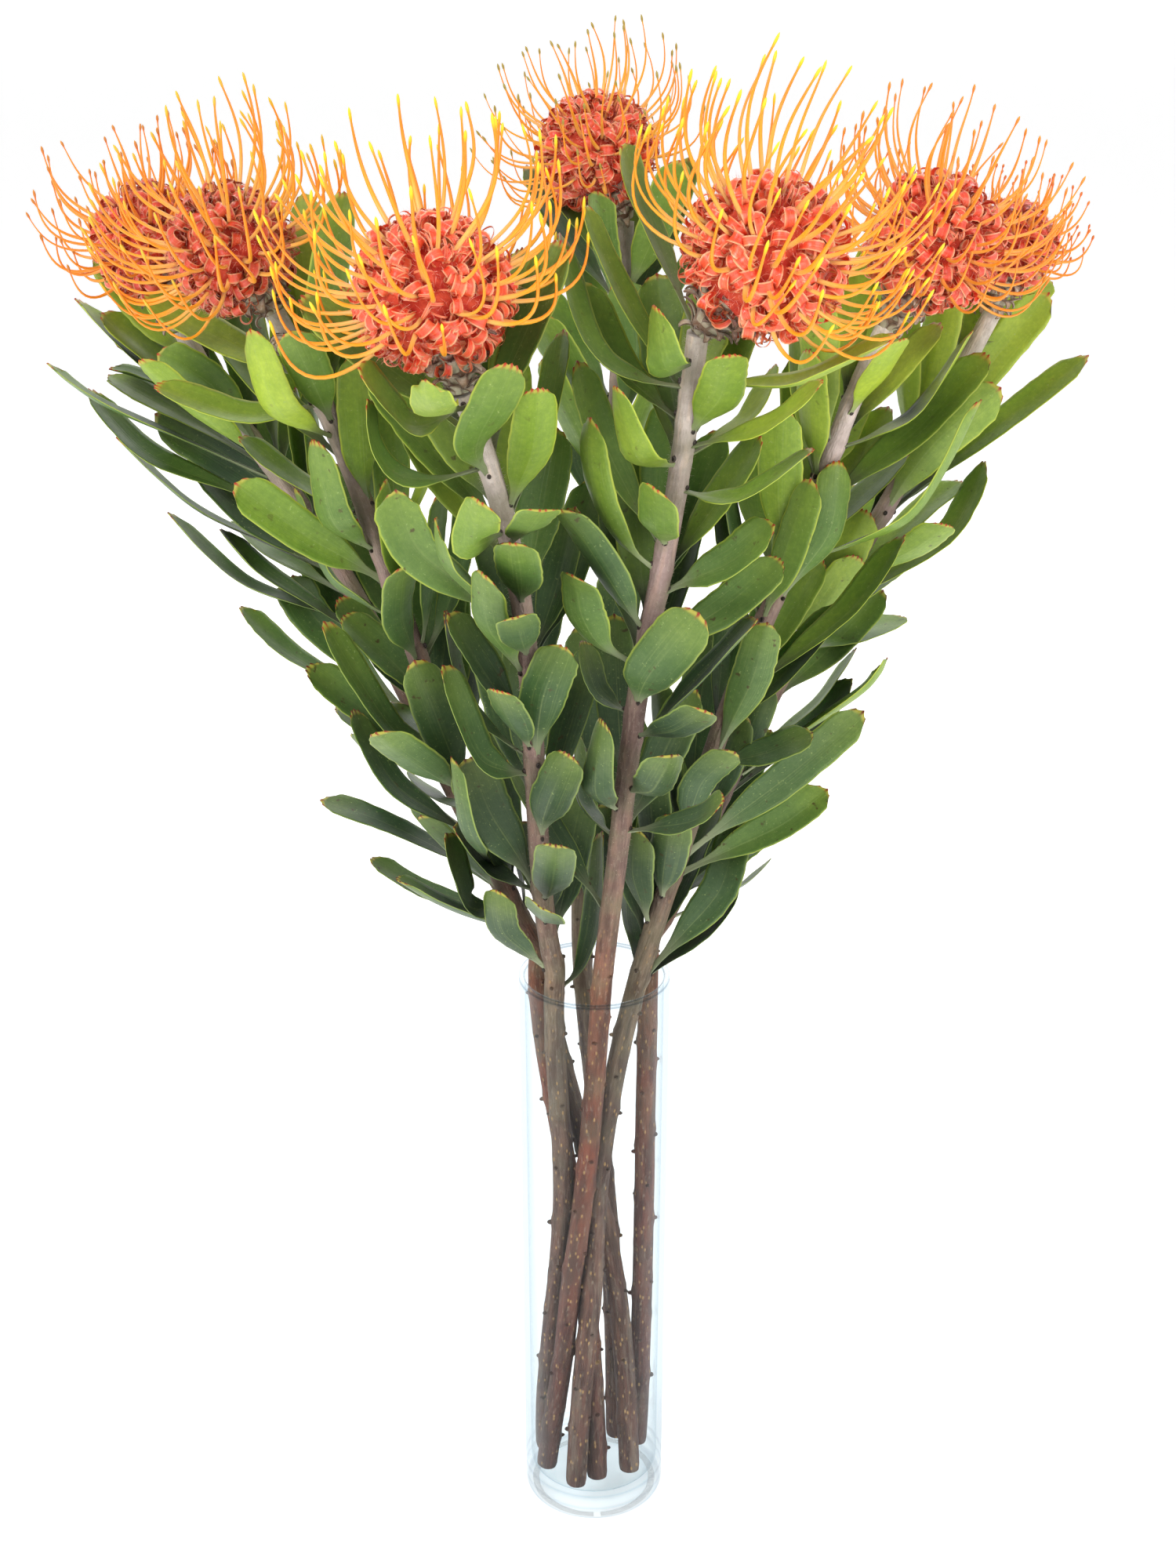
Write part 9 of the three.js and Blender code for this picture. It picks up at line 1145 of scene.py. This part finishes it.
def heads(k):
    h = HEADS[k]
    rng = np.random.default_rng(900 + k)
    c = np.array(h["c"], float)
    R = float(h["r"])
    ax, e1, e2 = head_axes(np.array(h["a"], float))
    op = OPEN[k]
    fs = 0.6 + 0.4 * R / 27.5

    def world(x, y, z):
        return c + e1 * np.asarray(x)[..., None] + e2 * np.asarray(y)[..., None] + ax * np.asarray(z)[..., None]

    # dark core under the florets: painted shade that shows in the gaps between them
    Bc = Build("lu", "lr")
    th = np.radians(np.linspace(3, 140, 20))
    ph = np.arange(36) * 2 * math.pi / 36
    TH, PH = np.meshgrid(th, ph, indexing="ij")
    rr = R * 0.84 * (1 + 0.02 * np.sin(7 * PH + 5 * TH))
    V = world(rr * np.sin(TH) * np.cos(PH), rr * np.sin(TH) * np.sin(PH), rr * np.cos(TH)).reshape(-1, 3)
    V = np.vstack([V, world(0.0, 0.0, R * 0.84), world(0.0, 0.0, -R * 0.62)])
    Bc.add(V, tube_faces(20, 36), 0, lu=0.0, lr=0.5)
    j = np.arange(36)
    kk = (j + 1) % 36
    cap = np.vstack([np.stack([np.full(36, 720), j, kk], -1), np.stack([np.full(36, 721), 19 * 36 + kk, 19 * 36 + j], -1)])
    Bc.f.append(cap)
    Bc.m.append(np.zeros(len(cap), int))

    # florets: wide curled ribbons with raised pale edges
    B = Build("lu", "lv", "lr", "op", "hd")
    hd = {1: 0.06, 2: 0.0, 3: 0.30, 4: 0.75, 5: 0.45, 6: 0.10, 7: 0.35}[k]
    nf = int(372 * (R / 27.5) ** 1.25)
    m = 16
    vs5 = np.array([-1.0, -0.55, 0.0, 0.55, 1.0])
    for i in range(nf + 22):
        f = (i + 0.5) / nf if i < nf else rng.uniform(0.0, 0.14)
        pol = math.acos(1 - f * 1.84) + rng.normal(0, 0.03)
        tn = i * 2.399963 + rng.normal(0, 0.08)
        N = e1 * (math.sin(pol) * math.cos(tn)) + e2 * (math.sin(pol) * math.sin(tn)) + ax * math.cos(pol)
        down = unit(-ax + N * np.dot(ax, N)) if abs(np.dot(ax, N)) < 0.995 else e1
        side = np.cross(N, down)
        roll_ = rng.uniform() < 0.74
        g = rng.normal(0, 1.3) if pol > 0.55 else rng.uniform(-math.pi, math.pi)
        cd = down * math.cos(g) + side * math.sin(g)
        wd = np.cross(cd, N)
        lean = rng.normal(0, 0.42 if roll_ else 0.7)
        N2 = unit(N + wd * lean + cd * rng.normal(0, 0.22))
        cd = unit(cd - N2 * np.dot(cd, N2))
        wd = np.cross(cd, N2)
        r0 = R * 0.78
        low_ = max(0.0, pol - 2.1)
        if roll_:
            cr = rng.uniform(2.3, 4.0) * fs
            stand = R * (0.24 - 0.16 * low_) + rng.uniform(-2.0, 2.4) * fs
            turns = rng.uniform(0.70, 1.30)
            width = rng.uniform(1.65, 2.60) * fs
            pale = rng.uniform(0.0, 0.26)
        else:
            cr = rng.uniform(2.4, 4.4) * fs
            stand = R * (0.22 - 0.16 * low_) + rng.uniform(0.6, 3.8) * fs
            turns = rng.uniform(0.45, 0.95)
            width = rng.uniform(0.30, 0.62) * fs
            pale = rng.uniform(0.35, 0.95)
        ns = 4
        pts = []
        for q in range(ns):
            a = q / ns
            pts.append(N2 * (r0 + (stand - cr) * a) + cd * (0.6 * a * a))
        base = N2 * (r0 + stand - cr) + cd * 0.6
        nn = m - ns
        drift = rng.normal(0, 1.6) * fs
        for q in range(nn):
            e_ = q / (nn - 1)
            a = e_ * turns * 2 * math.pi
            rc = cr * (1 - 0.34 * e_)
            pts.append(base + cd * (cr - rc * math.cos(a)) + N2 * (rc * math.sin(a)) + wd * (drift * e_))
        Pq = c + np.array(pts)
        Tq = unit(np.gradient(Pq, axis=0))
        Wv = np.broadcast_to(wd, Pq.shape)
        Wv = unit(Wv - Tq * (Wv * Tq).sum(1)[:, None])
        Nn = np.cross(Tq, Wv)
        uu = np.linspace(0, 1, m)
        tw_ = rng.normal(0, 0.35 if roll_ else 1.0) * uu
        Wv, Nn = Wv * np.cos(tw_)[:, None] + Nn * np.sin(tw_)[:, None], Nn * np.cos(tw_)[:, None] - Wv * np.sin(tw_)[:, None]
        wh = width * np.interp(uu, [0, 0.3, 0.45, 0.8, 0.93, 1.0], [0.45, 0.70, 0.95, 1.0, 0.72, 0.30])
        lift = rng.uniform(0.15, 0.70) * fs * (1.0 if roll_ else 0.4)
        V = (Pq[:, None] + Wv[:, None] * (wh[:, None] * vs5[None])[..., None] - Nn[:, None] * (lift * (vs5 ** 2)[None, :, None])).reshape(-1, 3)
        a = np.arange(m - 1)[:, None] * 5
        b = np.arange(4)[None]
        Q = np.stack([a + b, a + b + 1, a + 5 + b + 1, a + 5 + b], -1).reshape(-1, 4)
        B.add(V, Q, 0, lu=np.repeat(uu, 5), lv=np.tile(vs5, m), lr=pale, op=op, hd=hd)
    # pinkish hairs on the curls
    nh = 3600
    f = rng.uniform(0, 1, nh)
    pol = np.arccos(1 - f * 1.6)
    tn = rng.uniform(0, 2 * math.pi, nh)
    Nn = e1 * (np.sin(pol) * np.cos(tn))[:, None] + e2 * (np.sin(pol) * np.sin(tn))[:, None] + ax * np.cos(pol)[:, None]
    root = c + Nn * (R * rng.uniform(0.92, 1.06, nh))[:, None]
    dr = unit(Nn * 0.6 + rng.normal(0, 0.8, (nh, 3)))
    sd = unit(np.cross(dr, rng.normal(0, 1, (nh, 3)))) * 0.06
    tip = root + dr * rng.uniform(1.6, 4.2, nh)[:, None]
    B.add(np.stack([root - sd, root + sd, tip], 1).reshape(-1, 3), np.arange(nh * 3).reshape(-1, 3), 2, lu=1.0, lr=0.5, op=op)
    # the core takes a stronger share of the head's darker tone, as painted shade
    B.add(np.vstack(Bc.v), Bc.f[0], 1, lu=0.0, hd=0.55 + 0.45 * hd)
    off = B.n - len(np.vstack(Bc.v))
    B.f.append(cap + off)
    B.m.append(np.full(len(cap), 1, int))
    ob = B.make("florets_%d" % k, [M_FLORET, M_CORE, M_PINK])
    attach(ob, "root")
    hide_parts("flower_head_%d" % k)

    # styles: straight out of the dome, then bending up; flat and pale at the base, thin and swollen at the tip
    B = Build("lu", "lr", "op", "ol")
    ns = {1: 84, 2: 92, 3: 76, 4: 84, 5: 70, 6: 84, 7: 60}[k]
    hue = {1: 0.22, 2: 0.0, 3: 0.05, 4: 0.55, 5: 0.5, 6: 0.35, 7: 0.5}[k]
    m = 24
    for i in range(ns):
        f = (i + 0.5) / ns
        pol = math.acos(0.97 - 1.42 * f ** 0.8) + rng.normal(0, 0.05)
        pol = min(max(pol, 0.05), 2.1)
        tn = i * 2.399963 + k + rng.normal(0, 0.10)
        out = e1 * math.cos(tn) + e2 * math.sin(tn)
        oth = np.cross(ax, out)
        N = out * math.sin(pol) + ax * math.cos(pol)
        upv = unit(unit(ax * 0.55 + np.array([0, 0, 0.45])) + out * (0.12 + rng.normal(0, 0.14)) + oth * rng.normal(0, 0.14))
        ln = (38 + 11 * math.sin(min(pol, 1.57))) * h["s"] * LONG.get(k, 1.0) * (1 + rng.normal(0, 0.085)) + R * 0.10
        ex = rng.uniform(1.05, 1.5)
        gain = rng.uniform(1.0, 1.18)
        pos = c + N * (R * 0.78)
        pts = [pos.copy()]
        steps = 24
        curl = rng.normal(0, 0.10)
        for q in range(steps):
            t = (q + 0.5) / steps
            w = min(1.0, gain * t ** ex)
            T = unit(N * (1 - w) + upv * w + oth * curl * math.sin(t * 5.0) + out * (0.10 * math.sin(t * 6.3)))
            pos = pos + T * (ln / steps)
            pts.append(pos.copy())
        Pq = np.array(pts)
        u = np.linspace(0, 1, steps + 1)
        uu = np.concatenate([np.linspace(0, 0.89, m - 8), [0.905, 0.92, 0.935, 0.95, 0.965, 0.98, 0.99, 1.0]])
        Pn = np.stack([np.interp(uu, u, Pq[:, q]) for q in range(3)], 1)
        sc = 0.75 + 0.25 * fs
        slim = rng.uniform(0.84, 1.12) * SLIM[k]
        wide = np.interp(uu, [0, 0.3, 0.7, 0.90], [1.22, 0.98, 0.66, 0.44]) * sc * slim
        thin = np.interp(uu, [0, 0.3, 0.7, 0.90], [0.84, 0.74, 0.56, 0.42]) * sc * slim
        if not SWOLLEN[k]:
            neck = np.interp(uu, [0.35, 0.80], [1.0, 0.78])
            wide, thin = wide * neck, thin * neck
        sw = np.interp(uu, [0.90, 0.925, 0.955, 0.985, 1.0], [0, 0.14, 0.22, 0.06, -0.40] if SWOLLEN[k] else [0, 0.06, 0.34, 0.18, -0.30])
        wide = np.maximum(wide + sw, 0.10)
        thin = np.maximum(thin + sw, 0.10)
        an = np.arange(6) * 2 * math.pi / 6
        rr = wide[:, None] * thin[:, None] / np.sqrt((thin[:, None] * np.cos(an)[None]) ** 2 + (wide[:, None] * np.sin(an)[None]) ** 2)
        add_tube(B, Pn, rr, 6, 0, start=oth, lu=uu, lr=hue + rng.uniform(0, 0.28 if SWOLLEN[k] else 0.45), op=op, ol={3: 1.0, 4: 0.35, 5: 0.3}.get(k, 0.0))
    ob = B.make("styles_%d" % k, [M_STYLE])
    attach(ob, "root")

    # bracts: overlapping scales round the base
    B = Build("lu", "lv", "lr")
    # solid base cone from the stem top to the dome, coloured dark brown as painted shade in the hollow under the scales
    b0 = np.array(h["b"], float)
    ax, e1, e2 = head_axes(c - b0)
    hb = -float(np.linalg.norm(c - b0))

    def world(x, y, z):
        return c + e1 * np.asarray(x)[..., None] + e2 * np.asarray(y)[..., None] + ax * np.asarray(z)[..., None]

    zs = np.linspace(hb + 0.2, -R * 0.60, 7)
    zs = np.sort(zs)
    rs = np.interp(zs, [hb, hb + (-R * 0.66 - hb) * 0.34, hb + (-R * 0.66 - hb) * 0.68, -R * 0.66], [4.4, max(R * 0.22, 4.9), R * 0.36, R * 0.48])
    rs = rs - 0.6
    ph = np.arange(24) * 2 * math.pi / 24
    V = np.vstack([world(r * np.cos(ph), r * np.sin(ph), np.full(24, z)) for z, r in zip(zs, rs)])
    # dark brown values on the cone: painted shade in the hollow under the scales
    B.add(V, tube_faces(len(zs), 24), 0, lu=0.92, lv=0.7, lr=1.0)
    rows = 5
    for rI in range(rows):
        fr = rI / (rows - 1)
        z0 = hb + 0.6 + (-R * 0.66 - hb - 1.0) * fr
        rad = float(np.interp(z0, zs, rs))
        cnt = int(9 + 5 * fr)
        for q in range(cnt):
            tn = (q + 0.5 * (rI % 2)) * 2 * math.pi / cnt + rng.normal(0, 0.10)
            out = e1 * math.cos(tn) + e2 * math.sin(tn)
            oth = np.cross(ax, out)
            Lb = rng.uniform(7.5, 11.5) * (0.80 + 0.25 * fr) * (0.6 + 0.4 * fs)
            Wb = rng.uniform(2.5, 3.7) * (0.7 + 0.3 * fr)
            th0 = math.radians(rng.uniform(42, 74))
            bend = math.radians(rng.uniform(20, 90) if rng.uniform() < 0.50 else rng.uniform(110, 210)) * (0.55 if fr > 0.8 else 1.0)
            nu = 10
            u = np.linspace(0, 1, nu)
            an = th0 - bend * u ** 1.3
            rx = rad - 0.3 + np.r_[0, np.cumsum((np.cos(an[1:]) + np.cos(an[:-1])) / 2)] * Lb / (nu - 1)
            rz = z0 + np.r_[0, np.cumsum((np.sin(an[1:]) + np.sin(an[:-1])) / 2)] * Lb / (nu - 1)
            wv = Wb * np.interp(u, [0, 0.25, 0.6, 0.9, 1], [0.75, 1.0, 0.75, 0.35, 0.10])
            mid = c + out * rx[:, None] + ax * rz[:, None] + oth * (rng.normal(0, 1.2) * u ** 2)[:, None]
            vv_ = np.linspace(-1, 1, 5)
            nrm = unit(np.cross(np.gradient(mid, axis=0), oth))
            G = mid[:, None] + oth * (wv[:, None] * vv_[None])[..., None] + nrm[:, None] * (0.30 * np.abs(vv_[None]) ** 2 * wv[:, None])[..., None]
            top = G.reshape(-1, 3)
            bot = (G - nrm[:, None] * 0.50).reshape(-1, 3)
            a = np.arange(nu - 1)[:, None] * 5
            b = np.arange(4)[None]
            Q = np.stack([a + b, a + b + 1, a + 5 + b + 1, a + 5 + b], -1).reshape(-1, 4)
            n5 = nu * 5
            el = np.arange(nu - 1) * 5
            rim1 = np.stack([el, el + 5, el + 5 + n5, el + n5], -1)
            rim2 = np.stack([el + 4, el + 4 + n5, el + 9 + n5, el + 9], -1)
            B.add(np.vstack([top, bot]), np.vstack([Q, Q[:, ::-1] + n5, rim1, rim2]), 0, lu=np.tile(np.repeat(u, 5), 2), lv=np.tile(np.tile(vv_, nu), 2), lr=rng.uniform())
    nh = 200
    u = rng.uniform(0, 1, nh)
    zz = hb + (-R * 0.58 - hb) * u
    rr = np.interp(zz, zs, rs) + rng.uniform(0.0, 4.5, nh) * u
    tn = rng.uniform(0, 2 * math.pi, nh)
    out = e1 * np.cos(tn)[:, None] + e2 * np.sin(tn)[:, None]
    root = c + out * rr[:, None] + ax * zz[:, None]
    dr = unit(out + ax * rng.normal(0.2, 0.6, nh)[:, None] + rng.normal(0, 0.35, (nh, 3)))
    sd = unit(np.cross(dr, rng.normal(0, 1, (nh, 3)))) * 0.055
    tip = root + dr * rng.uniform(1.0, 2.6, nh)[:, None]
    B.add(np.stack([root - sd, root + sd, tip], 1).reshape(-1, 3), np.arange(nh * 3).reshape(-1, 3), 1, lu=1.0, lr=0.5)
    ob = B.make("bracts_%d" % k, [M_BRACT, M_HAIR])
    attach(ob, "root")
    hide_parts("bract_cup_%d" % k)


for k in HEADS:
    heads(k)


def side_bud():
    rng = np.random.default_rng(77)
    B = Build("lu", "lv", "lr")
    c = np.array(BUD["c"], float)
    r = BUD["r"] - 0.4
    ax, e1, e2 = head_axes(np.array(BUD["a"], float))
    th = np.radians(np.linspace(8, 172, 10))
    ph = np.arange(16) * 2 * math.pi / 16
    TH, PH = np.meshgrid(th, ph, indexing="ij")
    V = (c + e1 * (r * 0.9 * np.sin(TH) * np.cos(PH))[..., None] + e2 * (r * 0.9 * np.sin(TH) * np.sin(PH))[..., None] + ax * (r * np.cos(TH))[..., None]).reshape(-1, 3)
    B.add(V, tube_faces(10, 16), 0, lu=0.3, lv=0.0, lr=0.4)
    n = 44
    for i in range(n):
        f = (i + 0.5) / n
        pol = math.acos(1 - f * 1.8)
        tn = i * 2.399963
        N = e1 * math.sin(pol) * math.cos(tn) + e2 * math.sin(pol) * math.sin(tn) + ax * math.cos(pol)
        upv = unit(ax - N * np.dot(ax, N)) if pol > 0.05 else e1
        sd = np.cross(N, upv)
        u = np.linspace(0, 1, 5)
        vv_ = np.linspace(-1, 1, 5)
        L, W = rng.uniform(3.0, 4.2), rng.uniform(1.3, 1.8)
        mid = c + N[None] * (r * (0.90 + 0.16 * u))[:, None] + upv[None] * (L * (u - 0.4))[:, None] - N[None] * (0.16 * L * (u - 0.4) ** 2 * 2)[:, None]
        wv = W * np.sin(np.clip(u * 0.85 + 0.2, 0, 1) * math.pi) ** 0.8
        G = mid[:, None] + sd * (wv[:, None] * vv_[None])[..., None] - N * (0.35 * vv_[None] ** 2 * wv[:, None])[..., None]
        a = np.arange(4)[:, None] * 5
        b = np.arange(4)[None]
        Q = np.stack([a + b, a + b + 1, a + 5 + b + 1, a + 5 + b], -1).reshape(-1, 4)
        B.add(G.reshape(-1, 3), Q, 0, lu=np.repeat(u, 5), lv=np.tile(vv_, 5), lr=rng.uniform())
    # short stalk to the stem
    s = np.array(STEMS[4]["p"], float)
    q = s[int(np.linalg.norm(s - c, axis=1).argmin())]
    add_tube(B, np.stack([c + (q - c) * t for t in (0.35, 0.6, 0.85, 1.0)]), np.array([1.6, 1.5, 1.7, 2.0]), 10, 0, lu=0.2, lr=0.2)
    ob = B.make("side_bud_scales", [M_BRACT])
    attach(ob, "root")
    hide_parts("side_bud")


side_bud()

# ------------------------------------------------------------------ stage, light, camera
def stage():
    me = bpy.data.meshes.new("floor")
    s = 60.0
    # the floor, and a low pale wall far off all round it
    n = 64
    wall = [(34.0 * math.cos(2 * math.pi * i / n), 34.0 * math.sin(2 * math.pi * i / n), z) for z in (-0.01, 8.0) for i in range(n)]
    sides = [(4 + i, 4 + n + i, 4 + n + (i + 1) % n, 4 + (i + 1) % n) for i in range(n)]
    me.from_pydata([(-s, -s, 0), (s, -s, 0), (s, s, 0), (-s, s, 0)] + wall, [], [(0, 1, 2, 3)] + sides)
    ob = bpy.data.objects.new("floor", me)
    bpy.context.scene.collection.objects.link(ob)
    m, nt, b = new_mat("floor_pale", 0.7)
    b.inputs["Base Color"].default_value = (0.90, 0.90, 0.90, 1)
    b.inputs["Emission Color"].default_value = (1, 1, 1, 1)
    b.inputs["Emission Strength"].default_value = 0.46
    b.inputs["Specular IOR Level"].default_value = 0.2
    me.materials.append(m)

    def area(name, loc, target, size, power, col=(1, 1, 1)):
        li = bpy.data.lights.new(name, "AREA")
        li.shape = "RECTANGLE"
        li.size, li.size_y = size
        li.energy = power
        li.color = col
        o = bpy.data.objects.new(name, li)
        bpy.context.scene.collection.objects.link(o)
        o.location = loc
        d = np.array(target, float) - np.array(loc, float)
        from mathutils import Vector
        o.rotation_euler = Vector(d).to_track_quat("-Z", "Y").to_euler()
        return o

    area("key", (-1.5, -1.5, 2.1), (0, 0, 0.45), (1.2, 1.2), 40)
    area("fill", (1.5, -1.7, 1.35), (0, 0, 0.42), (1.6, 1.6), 24)
    area("back", (0.3, 1.9, 1.8), (0, 0, 0.45), (1.8, 1.2), 16)
    w = bpy.data.worlds.new("studio")
    bpy.context.scene.world = w
    w.use_nodes = True
    w.node_tree.nodes["Background"].inputs[0].default_value = (1, 1, 1, 1)
    w.node_tree.nodes["Background"].inputs[1].default_value = 0.53
    vs = bpy.context.scene.view_settings
    vs.view_transform = "Standard"
    vs.look = "None"
    cam = bpy.data.cameras.new("camera")
    cam.sensor_fit = "VERTICAL"
    cam.sensor_height = 36.0
    cam.lens = 50.0
    cam.clip_end = 200
    co = bpy.data.objects.new("camera", cam)
    bpy.context.scene.collection.objects.link(co)
    co.location = tuple(CAM / 1000.0)
    co.rotation_euler = (math.radians(90 - 21.335), 0, 0)
    bpy.context.scene.camera = co


stage()
